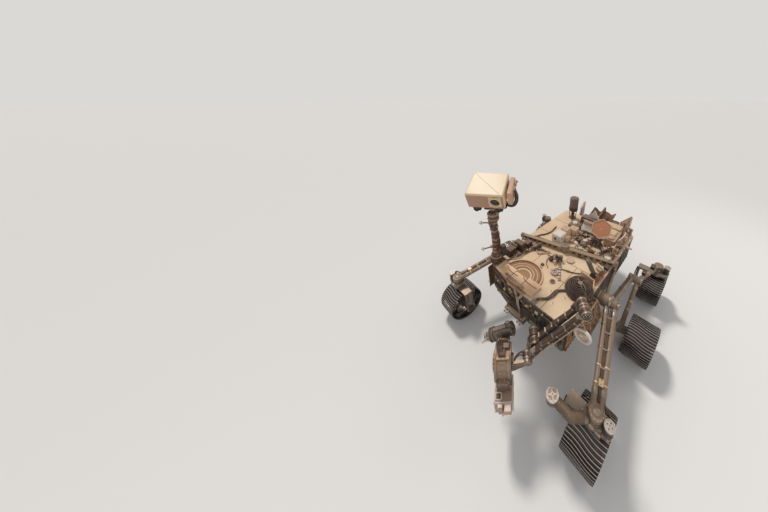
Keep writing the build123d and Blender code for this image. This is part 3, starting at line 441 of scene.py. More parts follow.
for wheel in ("fl", "fr", "rl", "rr"):
    side = 1 if wheel[1] == "l" else -1
    axle_x = front_axle_x if wheel[0] == "f" else rear_axle_x
    steer_y = side * steering_y
    inner_y = side * (steering_y - 0.253)
    arch = []
    for x in (-0.046, 0.046):
        arch += painted(0,
            block((0.01, 0.22, 0.016), (axle_x + x, steer_y - side * 0.15, knuckle_top_z - 0.02),
                edge=0.002),
            block((0.01, 0.008, 0.3), (axle_x + x, inner_y - side * 0.003, 0.42), edge=0.002))
    arch += painted(1,
        studs([(axle_x + x, inner_y, z) for x in (-0.038, 0.038) for z in np.linspace(0.33, 0.55, 6)],
            (0, -side, 0), 0.0045, 0.005),
        bolts(8, 0.056, (axle_x, inner_y, wheel_radius), (0, -side, 0), 0.005, 0.005),
        turned([(0.048, 0), (0.048, 0.012), (0.04, 0.018), (0.026, 0.018), (0.024, 0.026),
            (0.002, 0.026)], (axle_x, inner_y, wheel_radius), (0, -side, 0)))
    arch += painted(2,
        tube([(axle_x + 0.02, inner_y - side * 0.012, 0.285),
            (axle_x + 0.035, inner_y - side * 0.022, 0.36), (axle_x + 0.02, inner_y - side * 0.02, 0.46),
            (axle_x + 0.01, inner_y - side * 0.012, 0.55)], 0.007))
    arch += painted(3,
        band((axle_x + 0.027, inner_y - side * 0.021, 0.41), (0.1, 0, 1), 0.008, 0.012, sides=12))
    piece(f"knuckle_trim_{wheel}", arch, [steer_grey, drive_dark, cable_black, clamp_gold],
        f"steer_{wheel}")
    finish_nodes(steer_grey, f"knuckle_{wheel}")

    end = 1 if wheel[0] == "f" else -1
    case = at(axle_x, steer_y, case_top_z)
    motor = at(axle_x + end * 0.016, side * (steering_y + 0.112), case_top_z)
    top = motor + (0, 0, 0.118)
    trim = painted(0,
        hoop([(0.086, -0.012), (0.093, -0.008), (0.093, 0.004), (0.088, 0.007), (0.068, 0.007),
            (0.066, 0.012), (0.061, 0.014), (0.058, 0.005)], case, up, 48))
    trim += painted(4,
        bolts(18, 0.08, case + (0, 0, 0.006), up, 0.0048, 0.006),
        hoop([(0.043, -0.016), (0.0445, -0.012), (0.0445, 0.001), (0.041, 0.004), (0.032, 0.004),
            (0.03, 0.0005), (0.002, 0.0005)], top, up, 36),
        block((0.058, 0.01, 0.006), top + (0, 0, 0.002), (1, 1, 0), edge=0.0015),
        block((0.01, 0.058, 0.006), top + (0, 0, 0.002), (1, 1, 0), edge=0.0015),
        studs(motor + np.array([(end * 0.02, side * 0.044, 0.0), (-end * 0.02, side * 0.044, 0.0),
            (end * 0.045, side * 0.02, 0.0), (end * 0.05, -side * 0.02, 0.0)]), up, 0.0048, 0.006))
    trim += painted(1,
        hoop([(0.044, 0), (0.044, 0.01), (0.0385, 0.014), (0.0385, 0.04), (0.041, 0.044), (0.041, 0.052),
            (0.0385, 0.056), (0.0385, 0.09)], motor, up, 32),
        bolts(4, 0.021, top, up, 0.0055, 0.003),
        bolts(12, 0.0365, top + (0, 0, 0.003), up, 0.0024, 0.002),
        block((0.024, 0.05, 0.05), motor + (-end * 0.045, 0, 0.05)))
    trim += painted(2,
        tube([motor + (-end * 0.045, 0, 0.075), motor + (-end * 0.06, -side * 0.02, 0.11),
            motor + (-end * 0.09, -side * 0.07, 0.1), motor + (-end * 0.13, -side * 0.1, 0.11)], 0.0085),
        tube([motor + (-end * 0.045, -side * 0.015, 0.07), motor + (-end * 0.08, -side * 0.03, 0.09),
            motor + (-end * 0.1, -side * 0.085, 0.08), motor + (-end * 0.14, -side * 0.12, 0.1)], 0.006))
    for turn in np.radians(np.linspace(200, 300, 4)) if side > 0 else np.radians(np.linspace(60, 160, 4)):
        arm = at(cos(turn), sin(turn), 0.0)
        trim += painted(0,
            block((0.03, 0.008, 0.034), case + arm * 0.072 + (0, 0, 0.022), arm, edge=0.002))
    piece(f"steering_trim_{wheel}", trim, [steer_grey, drive_dark, cable_black, clamp_gold, cap_pale])
finish_nodes(steer_grey, "steering_actuators")

# Port front actuator's outer bracket: three bolt rings and a small block on the actuator, and ahead of it
# the olive bent tube, whose end has a pale cap with a bolt circle and two clamp bands.
tube_olive = dusty("tube_olive_paint", (0.085, 0.068, 0.045), 0.5, 0.35, dust=0.3, worn=(0.3, 0.25, 0.2))
tie_end = at(1.24, 0.74, 0.695)
tie_bend = at(1.24, 0.93, 0.695)
bracket = []
for spread in (-0.055, 0, 0.055):
    foot = at(front_axle_x + spread, steering_y + 0.02, 0.606)
    bracket += painted(1, bolts(5, 0.024, foot + (0, -0.115, 0.024), up, 0.005, 0.006))
bracket += painted(0,
    block((0.018, 0.05, 0.05), (front_axle_x + 0.085, steering_y + 0.06, 0.62)),
    bolts(8, 0.05, tie_end + (0, 0, 0.052), up, 0.0038),
    band(tie_end + (0, 0, -0.02), up, 0.056, 0.016))
bracket += painted(1,
    hoop([(0.0565, -0.02), (0.06, -0.016), (0.06, 0), (0.055, 0.004), (0.043, 0.004), (0.041, -0.004),
        (0.018, -0.004), (0.016, 0.003), (0.002, 0.003)], tie_end + (0, 0, 0.049), up, 40),
    block((0.088, 0.013, 0.008), tie_end + (0, 0, 0.049), (1, 1, 0), edge=0.002),
    block((0.013, 0.088, 0.008), tie_end + (0, 0, 0.049), (1, 1, 0), edge=0.002))
for along in (0.08, 0.14):
    bracket += painted(2, band(tie_end + (0, along, 0), (0, 1, 0), 0.042, 0.012))
piece("port_actuator_bracket", bracket, [steer_grey, cap_pale, tube_olive])
olive = painted(0,
    tube([(1.165, 1.0, 0.652), (1.205, 0.962, 0.675), tie_bend, (1.24, 0.86, 0.695), (1.24, 0.78, 0.695)],
        0.0435, 26, 24),
    hoop([(0.0565, -0.046), (0.0575, -0.04), (0.0575, 0.026), (0.0565, 0.03)], tie_end, up, 32))
piece("port_tie_sleeve", olive, [tube_olive])

# Body shell: a brown box whose walls and belly carry service plates, some of them in dusty bronze foil,
# with rows of screws along their rims and dark leads between them. Its dark brown-grey is partly the box's
# own colour and partly a painted shade for the shadow under the deck.
foil_bronze, tree, shader = new_material("foil_bronze", (0.16, 0.075, 0.032), 0.38, 0.55)
foil_place = node(tree, "TexCoord").outputs["Object"]
crease = node(tree, "TexVoronoi", foil_place, Scale=26)
crease.feature = "DISTANCE_TO_EDGE"
crumple = node(tree, "TexNoise", foil_place, Scale=34, Detail=7, Distortion=1.4).outputs["Fac"]
crumple_height = node(tree, "Math", crease.outputs["Distance"], crumple).outputs[0]
foil_bump = node(tree, "Bump", Strength=0.75, Distance=0.006, Height=crumple_height)
tree.links.new(foil_bump.outputs["Normal"], shader.inputs["Normal"])
foil_tint = node(tree, "Mix", Factor=crumple, A=(0.075, 0.034, 0.016, 1), B=(0.33, 0.19, 0.1, 1))
tree.links.new(foil_tint.outputs["Result"], shader.inputs["Base Color"])

# Dark brown-grey for the chassis, the gear on its front wall and the deck's rim strips: their own colour,
# and under the deck also a painted shade for the shadow there.
shell_brown_and_shade = dusty("shell_brown_grey_and_painted_shade", (0.105, 0.08, 0.062), 0.5, 0.35, dust=0.35,
    worn=(0.3, 0.22, 0.16))
body_rear_x = -1.14
half_body = 0.62
belly_z = 0.65
finish_nodes(shell_brown_and_shade, "chassis")


def strap(places, width, thick, up=(0, 0, 1), samples=24):
    """A flat strap with slightly rounded edges along a smooth path."""
    half, rise = width / 2, thick / 2
    outline = [(-half, -rise * 0.4), (-half + rise, -rise), (half - rise, -rise), (half, -rise * 0.4),
        (half, rise * 0.4), (half - rise, rise), (-half + rise, rise), (-half, rise * 0.4)]
    return swept(bent(places, samples), outline, up)


wall_parts = []
for side in (1, -1):
    wall = side * half_body
    for x0, x1, z0, z1, tone in (
        (-1.1, -0.72, 0.72, 1.05, 0), (-0.69, -0.3, 0.72, 1.05, 1), (-0.27, 0.02, 0.72, 1.05, 0),
        (0.26, 0.38, 0.7, 1.05, 0), (0.75, 0.84, 0.7, 1.05, 1)
    ):
        wall_parts += painted(tone,
            block((x1 - x0, z1 - z0, 0.006), ((x0 + x1) / 2, wall, (z0 + z1) / 2), (1, 0, 0),
                (0, side, 0), edge=0.002, corner=0.018))
        for z in (z0 + 0.015, z1 - 0.015):
            wall_parts += painted(2,
                studs([(x, wall, z) for x in np.arange(x0 + 0.02, x1 - 0.01, 0.052)], (0, side, 0),
                    0.0042, 0.006))
        for x in (x0 + 0.015, x1 - 0.015):
            wall_parts += painted(2,
                studs([(x, wall, z) for z in np.arange(z0 + 0.06, z1 - 0.04, 0.055)], (0, side, 0),
                    0.0042, 0.006))
    for x in np.linspace(-1.05, -0.35, 6):
        wall_parts += painted(3,
            tube([(x, wall + side * 0.006, 0.7), (x + 0.01, wall + side * 0.01, 0.8),
                (x - 0.005, wall + side * 0.007, 0.92), (x, wall + side * 0.01, 1.06)], 0.0045))
    wall_parts += painted(3,
        tube([(-1.08, wall + side * 0.01, 1.06), (-0.6, wall + side * 0.013, 1.055),
            (-0.1, wall + side * 0.01, 1.062), (0.05, wall + side * 0.012, 1.058)], 0.008, 40))
    wall_parts += painted(2,
        strap([(-1.1, wall + side * 0.003, 0.69), (-0.4, wall + side * 0.004, 0.688),
            (0.2, wall + side * 0.003, 0.69), (0.84, wall + side * 0.003, 0.688)], 0.026, 0.004,
            (0, side, 0)))
rear_wall = []
for y0, y1, z0, z1 in ((-0.58, -0.38, 0.72, 1.04), (0.38, 0.58, 0.72, 1.04)):
    rear_wall += painted(0,
        block((y1 - y0, z1 - z0, 0.006), (body_rear_x, (y0 + y1) / 2, (z0 + z1) / 2), (0, 1, 0),
            (-1, 0, 0), edge=0.002, corner=0.016))
    rear_wall += painted(2,
        studs([(body_rear_x, y, z) for y in np.linspace(y0 + 0.015, y1 - 0.015, 5)
            for z in (z0 + 0.015, z1 - 0.015)], (-1, 0, 0), 0.0042, 0.006))
belly = []
for x0, x1 in ((-1.08, -0.62), (-0.58, -0.12), (-0.08, 0.38), (0.42, 0.8)):
    belly += painted(0,
        block((x1 - x0, 1.08, 0.005), ((x0 + x1) / 2, 0, belly_z), (1, 0, 0), (0, 0, -1), edge=0.002,
            corner=0.03))
    belly += painted(2,
        studs([(x, y, belly_z) for x in np.linspace(x0 + 0.02, x1 - 0.02, 8) for y in (-0.52, 0.52)],
            (0, 0, -1), 0.0045, 0.006))
piece("body_panels", wall_parts + rear_wall + belly, [shell_brown_and_shade, foil_bronze, steer_grey, cable_black])

# Port and starboard foil blankets below the deck edge: thin crinkled film tied down over ribs,
# which show as a row of upright ridges.
amber_foil = dusty("amber_foil", (0.36, 0.15, 0.045), 0.3, 0.65, dust=0.2, grain=40, bump=0.9, mottle=0.5)
cream_paint = dusty("cream_paint", (0.72, 0.55, 0.38), 0.5, dust=0.35)


def blanket(x0, x1, z0, z1, wall, ribs, depth, seed):
    """Film over ribs: its height is a row of rounded ridges plus crumples, and is nothing at the rims."""
    u, v = np.meshgrid(np.linspace(0, 1, ribs * 8 + 1), np.linspace(0, 1, 28), indexing="ij")
    chance = np.random.default_rng(seed)
    waves = sum((chance.uniform(0.2, 1)
        * np.sin(tau * (chance.uniform(2, 9) * u + chance.uniform(2, 8) * v) + chance.uniform(0, tau))
        for _ in range(9))) / 9
    fade = np.clip(np.minimum(u, 1 - u) * 30, 0, 1) * np.clip(np.minimum(v, 1 - v) * 16, 0, 1)
    height = fade * depth * (0.35 + 0.65 * np.abs(np.sin(pi * ribs * u)) ** 0.6 + 0.45 * waves)
    side = 1 if wall > 0 else -1
    rows = np.stack([x0 + (x1 - x0) * u, wall + side * (0.0015 + height), z0 + (z1 - z0) * v], -1)
    return grid(rows if side < 0 else rows[::-1], around=False, caps=False)


blankets = painted(0,
    blanket(0.26, 0.85, 0.672, 0.78, half_body, 13, 0.014, 3),
    blanket(0.26, 0.84, 0.672, 0.9, -half_body, 9, 0.012, 5),
    blanket(0.74, 0.858, 0.79, 1.06, half_body, 2, 0.01, 7))
for side in (1, -1):
    blankets += painted(1,
        strap([(0.25, side * (half_body + 0.006), 0.782), (0.55, side * (half_body + 0.012), 0.785),
            (0.86, side * (half_body + 0.006), 0.782)], 0.012, 0.003, (0, side, 0)))
piece("foil_blankets", blankets, [amber_foil, cream_paint], "root", 60)

# Front wall: two dark bays with a screwed strip above and below each, and in them the tube-handling gear:
# grey, gold, bronze and white blocks, turned caps, hoses and a white pad.
bay_floor_z = 0.838
bay_top_z = 1.028
bay_centres = -0.23, 0.11
white_cloth = dusty("white_cloth_tape", (0.8, 0.74, 0.66), 0.8, dust=0.2, grain=40, bump=0.4)
# Near-black that paints the shade in recesses: the backs of the front bays, the deck sockets' centres and
# the pockets in the differential beam.
shadow_dark = dusty("recess_painted_shade", (0.022, 0.017, 0.014), 0.7, dust=0.15)
finish_nodes(shell_brown_and_shade, "bay_gear")
bay_parts = []
for centre in bay_centres:
    # A dark plate across the back of each bay: painted shade.
    bay_parts += painted(4,
        block((0.296, 0.186, 0.004), (0.7725, centre, 0.933), (0, 1, 0), (1, 0, 0), edge=0.001))
    for y, z, wide, tall in (
        (centre, bay_floor_z - 0.008, 0.32, 0.016), (centre, bay_top_z + 0.006, 0.32, 0.012)
    ):
        front = 0.861 if y > -0.2 else 0.855
        bay_parts += painted(0,
            block((wide - 0.06, tall, 0.006), (front, y + 0.03, z), (0, 1, 0), (1, 0, 0), edge=0.0015))
        bay_parts += painted(1,
            studs([(front, y + step, z) for step in np.linspace(-0.08, 0.14, 8)], (1, 0, 0), 0.0038,
                0.006))
for x, y, z, size, tone in (
    (0.815, 0.06, 0.875, (0.055, 0.1, 0.05), 1), (0.82, 0.16, 0.9, (0.06, 0.055, 0.08), 2),
    (0.815, 0.2, 0.965, (0.05, 0.05, 0.05), 3), (0.828, 0.015, 0.925, (0.045, 0.05, 0.035), 3),
    (0.818, 0.11, 0.985, (0.05, 0.09, 0.028), 0), (0.815, -0.16, 0.87, (0.05, 0.07, 0.045), 2),
    (0.812, -0.22, 0.94, (0.045, 0.05, 0.06), 1), (0.806, -0.29, 0.985, (0.045, 0.05, 0.05), 0),
    (0.815, -0.12, 0.985, (0.05, 0.06, 0.04), 3)
):
    bay_parts += painted(tone, block(size, (x, y, z)))
    bay_parts += painted(1,
        studs([(x + size[0] / 2, y + size[1] * t, z) for t in (-0.32, 0.32)], (1, 0, 0)))
for y, z, r in ((0.085, 0.925, 0.024), (-0.185, 0.905, 0.022), (0.185, 0.855, 0.016), (-0.3, 0.88, 0.02)):
    bay_parts += painted(1,
        turned([(r, 0), (r, 0.012), (r * 0.7, 0.018), (r * 0.7, 0.026), (r * 0.3, 0.028), (0.001, 0.028)],
            (0.826, y, z), (1, 0, 0.2), 24))
for k, places in enumerate((
    [(0.85, -0.05, 0.86), (0.868, 0.01, 0.9), (0.862, 0.08, 0.95), (0.85, 0.13, 1.01)],
    [(0.84, 0.22, 0.86), (0.866, 0.2, 0.92), (0.866, 0.13, 0.9), (0.84, 0.06, 0.85)],
    [(0.84, -0.3, 0.86), (0.856, -0.25, 0.93), (0.862, -0.17, 0.92), (0.84, -0.1, 0.99)],
    [(0.83, 0, 0.99), (0.868, 0.04, 0.97), (0.868, 0.1, 0.985), (0.83, 0.18, 1.0)]
)):
    bay_parts += painted(5, tube(places, 0.0075 if k % 2 else 0.0055, 26))
bay_parts += painted(3,
    block((0.07, 0.05, 0.016), (0.852, 0.245, 0.945), (0, 1, 0), (1, 0, 0.3), edge=0.006, corner=0.014))
piece("bay_mechanism", bay_parts, [steer_grey, clamp_gold, foil_bronze, white_cloth, shadow_dark,
    cable_black])

# Front harness: a Y of tan flexible strap that comes over the deck's edge and joins above the bays,
# with dark cable bundles tied along the wall.
strap_tan = dusty("strap_tan_webbing", (0.43, 0.3, 0.2), 0.7, dust=0.3, grain=60, bump=0.4)
harness = painted(0,
    strap([(0.845, -0.095, 1.106), (0.882, -0.07, 1.098), (0.893, -0.045, 1.05), (0.89, -0.02, 1.0)],
        0.03, 0.004, (1, 0, 0.25)),
    strap([(0.845, 0.06, 1.106), (0.882, 0.045, 1.098), (0.895, 0.02, 1.05), (0.892, -0.01, 1.0)], 0.03,
        0.004, (1, 0, 0.25)),
    strap([(0.893, -0.015, 1.02), (0.897, -0.015, 0.96), (0.893, -0.012, 0.88), (0.872, -0.01, 0.78),
        (0.866, -0.01, 0.7)], 0.04, 0.005, (1, 0, 0.05)))
harness += painted(1,
    block((0.058, 0.05, 0.01), (0.898, -0.014, 1.012), (0, 1, 0), (1, 0, 0.1), edge=0.003))
harness += painted(2,
    studs([(0.903, y, z) for y in (-0.034, 0.006) for z in (0.998, 1.026)], (1, 0, 0.1), 0.0045))
harness += painted(3,
    tube([(0.868, 0.6, 1.05), (0.888, 0.45, 1.04), (0.884, 0.28, 1.046), (0.882, 0.1, 1.04),
        (0.884, -0.08, 1.048), (0.868, -0.2, 1.04), (0.835, -0.36, 1.035), (0.8, -0.52, 1.04)], 0.011,
        60),
    tube([(0.868, 0.58, 0.8), (0.878, 0.42, 0.81), (0.876, 0.24, 0.795), (0.874, 0.05, 0.8),
        (0.872, -0.15, 0.79), (0.842, -0.32, 0.8), (0.8, -0.54, 0.79)], 0.01, 60),
    tube([(0.868, 0.55, 0.815), (0.872, 0.4, 0.83), (0.87, 0.25, 0.822), (0.872, 0, 0.826),
        (0.868, -0.18, 0.818)], 0.006, 50),
    tube([(0.882, 0.36, 1.03), (0.886, 0.36, 0.95), (0.874, 0.345, 0.88), (0.87, 0.36, 0.8)], 0.008),
    tube([(0.882, 0.33, 1.03), (0.89, 0.32, 0.96), (0.874, 0.31, 0.88), (0.87, 0.33, 0.81)], 0.006))
for y in (0.5, 0.34, 0.18, 0.02, -0.14):
    harness += painted(2, band((0.884, y, 1.043), (0, 1, 0.03), 0.011, 0.012, 0.003, 12))
for y, z in ((0.5, 0.93), (0.5, 0.74), (0.3, 0.72), (0.08, 0.735), (-0.42, 0.74), (-0.44, 0.93)):
    x = 0.86 if y > -0.2 else 0.86 - 0.09 * (-y - 0.2) / 0.42
    harness += painted(4, block((0.11, 0.075, 0.022), (x + 0.01, y, z), (0, 1, 0), (1, 0, 0)))
    harness += painted(2,
        studs([(x + 0.021, y + a, z + b) for a in (-0.042, 0.042) for b in (-0.025, 0.025)], (1, 0, 0)),
        turned([(0.015, 0), (0.015, 0.012), (0.012, 0.016), (0.001, 0.016)], (x + 0.02, y + 0.01, z),
            (1, 0, 0), 18))
piece("front_harness", harness, [strap_tan, steer_grey, clamp_gold, cable_black, shell_brown_and_shade])

# Hazard cameras: a painted bracket with four barrel cameras under the front edge, each with a
# white sun ring and a dark glass front.
lens_glass, tree, shader = new_material("lens_glass", (0.012, 0.012, 0.016), 0.06)
shader.inputs["Specular IOR Level"].default_value = 0.8
smear = node(tree, "TexNoise", node(tree, "TexCoord").outputs["Object"], Scale=30)
gloss = node(tree, "MapRange", smear.outputs["Fac"], To_Min=0.03, To_Max=0.14)
tree.links.new(gloss.outputs["Result"], shader.inputs["Roughness"])
hazard_y = -0.06
hazard_z = 0.682
camera_parts = []
for aside in (-0.13, -0.09, 0.09, 0.13):
    tip = 0.962, hazard_y + aside, hazard_z
    camera_parts += painted(0,
        hoop([(0.0152, -0.03), (0.0165, -0.026), (0.0165, -0.006), (0.015, -0.0005), (0.0112, -0.0005),
            (0.0105, -0.006)], tip, (1, 0, 0), 24))
    camera_parts += painted(1,
        turned([(0.0112, -0.0045), (0.008, -0.0028), (0.003, -0.002), (0.0005, -0.0019)], tip, (1, 0, 0),
            20))
camera_parts += painted(2,
    studs([(0.93, hazard_y + y, hazard_z + z) for y in (-0.155, -0.05, 0.05, 0.155)
        for z in (-0.014, 0.014)], (1, 0, 0)))
camera_parts += painted(3, block((0.05, 0.3, 0.006), (0.898, hazard_y, hazard_z + 0.023), edge=0.002))
camera_parts += painted(4,
    tube([(0.9, 0.03, 0.7), (0.905, 0.05, 0.74), (0.89, 0.02, 0.78), (0.872, 0, 0.8)], 0.006),
    tube([(0.9, -0.18, 0.7), (0.9, -0.2, 0.74), (0.88, -0.17, 0.77), (0.866, -0.14, 0.8)], 0.006))
piece("hazard_camera_trim", camera_parts, [white_cloth, lens_glass, clamp_gold, cream_paint, cable_black])
finish_nodes(shell_brown_and_shade, "front_cameras")

# Suspension: painted titanium tubes welded to machined drums. The twin front tubes carry a cable run
# between them and gold clamps near their lower ends.
tube_tan = dusty("tube_tan_paint", (0.215, 0.165, 0.12), 0.5, 0.2, dust=0.35, worn=(0.4, 0.33, 0.26))
finish_nodes(tube_tan, "rocker_left", "rocker_right", "bogie_left", "bogie_right")


def collar(inner, outer, low_at, high_at, origin, axis, sides=28, rim=0.004):
    """A raised band: up from the inner radius to the outer one over a rim's length, and down again."""
    return hoop([(inner, low_at), (outer, low_at + rim), (outer, high_at - rim), (inner, high_at)],
        origin, axis, sides)


def between(start, end, t):
    """The place a share t of the way from start to end."""
    return np.asarray(start, float) + t * (np.asarray(end, float) - np.asarray(start, float))


for word, side in (("left", 1), ("right", -1)):
    pivot = at(0.14, side * 0.8, 0.9)
    front = at(front_axle_x, side * steering_y, 0.6996)
    bogie = at(-0.65, side * 0.92, 0.706)
    reach = front - pivot
    spread = at(-reach[1], reach[0], 0.0)
    spread *= 0.046 / np.linalg.norm(spread)
    out = at(0.0, side, 0.0)
    tube_way = reach / np.linalg.norm(reach)
    parts = painted(1,
        collar(0.0852, 0.0875, -0.165, -0.141, pivot, out, 40, rim=0.005),
        hoop([(0.0852, -0.03), (0.088, -0.026), (0.088, -0.008), (0.084, 0.001), (0.066, 0.001),
            (0.064, 0.006), (0.062, 0.006)], pivot, out, 40),
        turned([(0.0465, 0.07), (0.048, 0.074), (0.048, 0.088), (0.044, 0.0925), (0.03, 0.0925),
            (0.028, 0.098), (0.012, 0.098), (0.01, 0.0935), (0.001, 0.0935)], pivot, out, 36))
    parts += painted(2,
        bolts(14, 0.076, pivot, out, 0.0048, 0.005),
        bolts(8, 0.038, pivot + out * 0.0925, out, 0.0042),
        bolts(10, 0.054, pivot + out * 0.06, out, 0.0042))
    for shift in (-1, 1):
        near, far = pivot + spread * shift, front + spread * shift * 0.7
        for t, width, lift in ((0.13, 0.05, 0.004), (0.5, 0.016, 0.003), (0.86, 0.045, 0.004)):
            parts += painted(1, band(between(near, far, t), far - near, 0.029, width, lift))
        for t in (0.27, 0.66, 0.8):
            parts += painted(3 if t > 0.6 else 1,
                band(between(near, far, t), far - near, 0.029, 0.013, 0.006))
    lift = at(0, 0, 0.03)
    for k, (weave, r) in enumerate(((0.01, 0.0085), (-0.01, 0.0065), (0, 0.0055))):
        path = [between(pivot, front, t) + lift * (0.6 + 0.15 * k) + spread / 0.046 * weave
            * cos(9 * t + k) for t in np.linspace(0.1, 0.93, 9)]
        parts += painted(4, tube(path, r, 50))
    for t in (0.2, 0.36, 0.52, 0.68):
        parts += painted(1,
            block((0.018, 0.07, 0.012), between(pivot, front, t) + (0, 0, 0.026), tube_way, up,
                edge=0.003))
        parts += painted(2,
            studs([between(pivot, front, t) + spread / 0.046 * w + (0, 0, 0.031)
                for w in (-0.026, 0.026)], up, 0.0042, 0.005))
    knot = between(pivot, front, 0.8)
    parts += painted(3, block((0.06, 0.05, 0.04), knot + (0, 0, 0.03), tube_way, up, edge=0.006))
    parts += painted(1,
        studs([knot + tube_way * a + (0, 0, 0.05) for a in (-0.02, 0.02)], up, 0.006, 0.006),
        collar(0.0645, 0.067, -0.006, 0.014, front, up, 40),
        turned([(0.03, 0.027), (0.03, 0.036), (0.022, 0.04), (0.001, 0.04)], front, up))
    parts += painted(2, bolts(12, 0.056, front + (0, 0, 0.029), up, 0.0048, 0.005))

    drum = bogie + out * -0.045
    parts += painted(1, collar(0.0585, 0.0605, -0.08, -0.056, drum, out, 36))
    rear_end = drum - out * 0.044
    for t in (0.18, 0.5, 0.86):
        parts += painted(1,
            band(between(pivot, rear_end, t), rear_end - pivot, 0.04, 0.022 if t != 0.5 else 0.05))
    for k, r in enumerate((0.009, 0.006)):
        path = [between(pivot, rear_end, t) + at(0, -side * 0.004, 0.046 + 0.004 * sin(17 * t + k)) + out
            * (0.014 * k - 0.006) for t in np.linspace(0.12, 0.9, 9)]
        parts += painted(4, tube(path, r, 44))
    piece(f"rocker_trim_{word}", parts, [tube_tan, steer_grey, cap_pale, clamp_gold, cable_black])

    middle = at(-0.12, side * 0.95, wheel_radius)
    rear_top = at(rear_axle_x, side * steering_y, 0.7023)
    wheel_in = at(-0.12, side * 0.963, wheel_radius)
    parts = painted(1,
        turned([(0.0585, 0.03), (0.061, 0.034), (0.061, 0.044), (0.056, 0.047), (0.038, 0.047),
            (0.036, 0.053), (0.016, 0.053), (0.014, 0.048), (0.001, 0.048)], bogie, out, 36),
        collar(0.0645, 0.067, -0.008, 0.012, rear_top, up, 40),
        collar(0.0725, 0.075, -0.052, -0.032, wheel_in, out, 36),
        turned([(0.06, 0), (0.06, 0.01), (0.05, 0.016), (0.03, 0.016), (0.028, 0.022), (0.001, 0.022)],
            wheel_in - out * 0.056, -out, 32))
    parts += painted(2,
        bolts(10, 0.05, bogie + out * 0.046, out, 0.0045, 0.005),
        bolts(12, 0.056, rear_top + (0, 0, 0.031), up, 0.0048, 0.005),
        bolts(12, 0.064, wheel_in, out, 0.0045, 0.005))
    for start, stop in ((bogie, middle), (bogie, rear_top)):
        for t in (0.16, 0.45, 0.62, 0.88):
            parts += painted(1 if t in (0.16, 0.88) else 3,
                band(between(start, stop, t), stop - start, 0.031, 0.04 if t in (0.16, 0.88) else 0.013,
                    0.004, 24))
        away = np.cross(stop - start, out)
        away *= side * 0.036 / np.linalg.norm(away) * (-1 if stop is middle else 1)
        for k, r in enumerate((0.008, 0.0055)):
            path = [between(start, stop, t) + away * (1.05 + 0.08 * sin(15 * t + 2 * k)) + out
                * (0.012 * k - 0.006) for t in np.linspace(0.1, 0.9, 8)]
            parts += painted(4, tube(path, r, 36))
    for t, size in ((0.74, (0.09, 0.06, 0.05)), (0.3, (0.07, 0.05, 0.045))):
        parts += painted(5,
            block(size, between(bogie, rear_top, t) + at(0, -side * 0.02, 0.055), edge=0.005))
        parts += painted(2,
            studs([between(bogie, rear_top, t) + at(a, -side * 0.02, 0.055 + size[2] / 2)
                for a in (-0.025, 0.025)], up, 0.005, 0.005))
    piece(f"bogie_trim_{word}", parts, [tube_tan, steer_grey, cap_pale, clamp_gold, cable_black,
        drive_dark])

# Differential: a tan box beam milled from one billet, with pockets in both its faces, a bolted pivot cap
# on the deck and an upright link at each end down to its rocker.
beam_tan = dusty("beam_tan_grey", (0.33, 0.245, 0.165), 0.5, 0.2, dust=0.4, worn=(0.5, 0.4, 0.3))
finish_nodes(beam_tan, "differential_bar")
beam_yaw = radians(14)
beam_along = at(-sin(beam_yaw), cos(beam_yaw), 0.0)
beam_front = at(cos(beam_yaw), sin(beam_yaw), 0.0)
beam_centre = at(-0.07, 0, 1.151)


def rod(start, end, radius, sides=12, rim=0.0):
    """A straight round rod between two points, its ends chamfered by rim."""
    start, end = np.asarray(start, float), np.asarray(end, float)
    length = np.linalg.norm(end - start)
    profile = [(radius, 0), (radius, length)]
    if rim:
        profile = [(radius - rim, 0), (radius, rim), (radius, length - rim), (radius - rim, length)]
    return turned(profile, start, end - start, sides)


beam_parts = painted(1,
    turned([(0.052, -0.005), (0.0555, -0.001), (0.0555, 0.01), (0.05, 0.014), (0.034, 0.014),
        (0.032, 0.007), (0.02, 0.007), (0.018, 0.013), (0.001, 0.013)], (-0.07, 0, 1.2), up, 40))
beam_parts += painted(2, bolts(12, 0.0435, (-0.07, 0, 1.213), up))
for along in np.concatenate([np.linspace(-0.62, -0.14, 7), np.linspace(0.14, 0.62, 7)]):
    reach = 0.035 - 0.009 * abs(along) / 0.71
    for face in (1, -1):
        # Each pocket is a thin near-black plate on the beam's face: painted shade.
        place = beam_centre + beam_along * along + beam_front * face * reach
        beam_parts += painted(3,
            block((0.052, 0.03, 0.004), place, beam_along, beam_front * face, edge=0.001, corner=0.008))
    beam_parts += painted(2,
        studs([beam_centre + beam_along * (along + 0.034) + beam_front * w + (0, 0, 0.027)
            for w in (-0.018, 0.018)], up))
for word, side in (("left", 1), ("right", -1)):
    link = beam_centre + beam_along * side * 0.6854
    beam_parts += painted(1,
        turned([(0.024, 0.026), (0.024, 0.036), (0.018, 0.042), (0.001, 0.042)], link, up),
        turned([(0.015, -0.1), (0.021, -0.094), (0.024, -0.083), (0.021, -0.072), (0.015, -0.066)], link,
            up, 24),
        collar(0.0275, 0.03, -0.152, -0.114, link, up))
    beam_parts += painted(2,
        rod(link + beam_front * 0.032 + (0, 0, -0.131), link - beam_front * 0.032 + (0, 0, -0.131), 0.009,
            14, 0.002))
beam_parts += painted(4,
    tube([beam_centre + beam_along * a + beam_front * -0.046 + (0, 0, 0.014 + 0.006 * sin(9 * a))
        for a in np.linspace(-0.5, 0.55, 9)], 0.007, 60))
piece("differential_trim", beam_parts, [beam_tan, steer_grey, cap_pale, shadow_dark, cable_black])

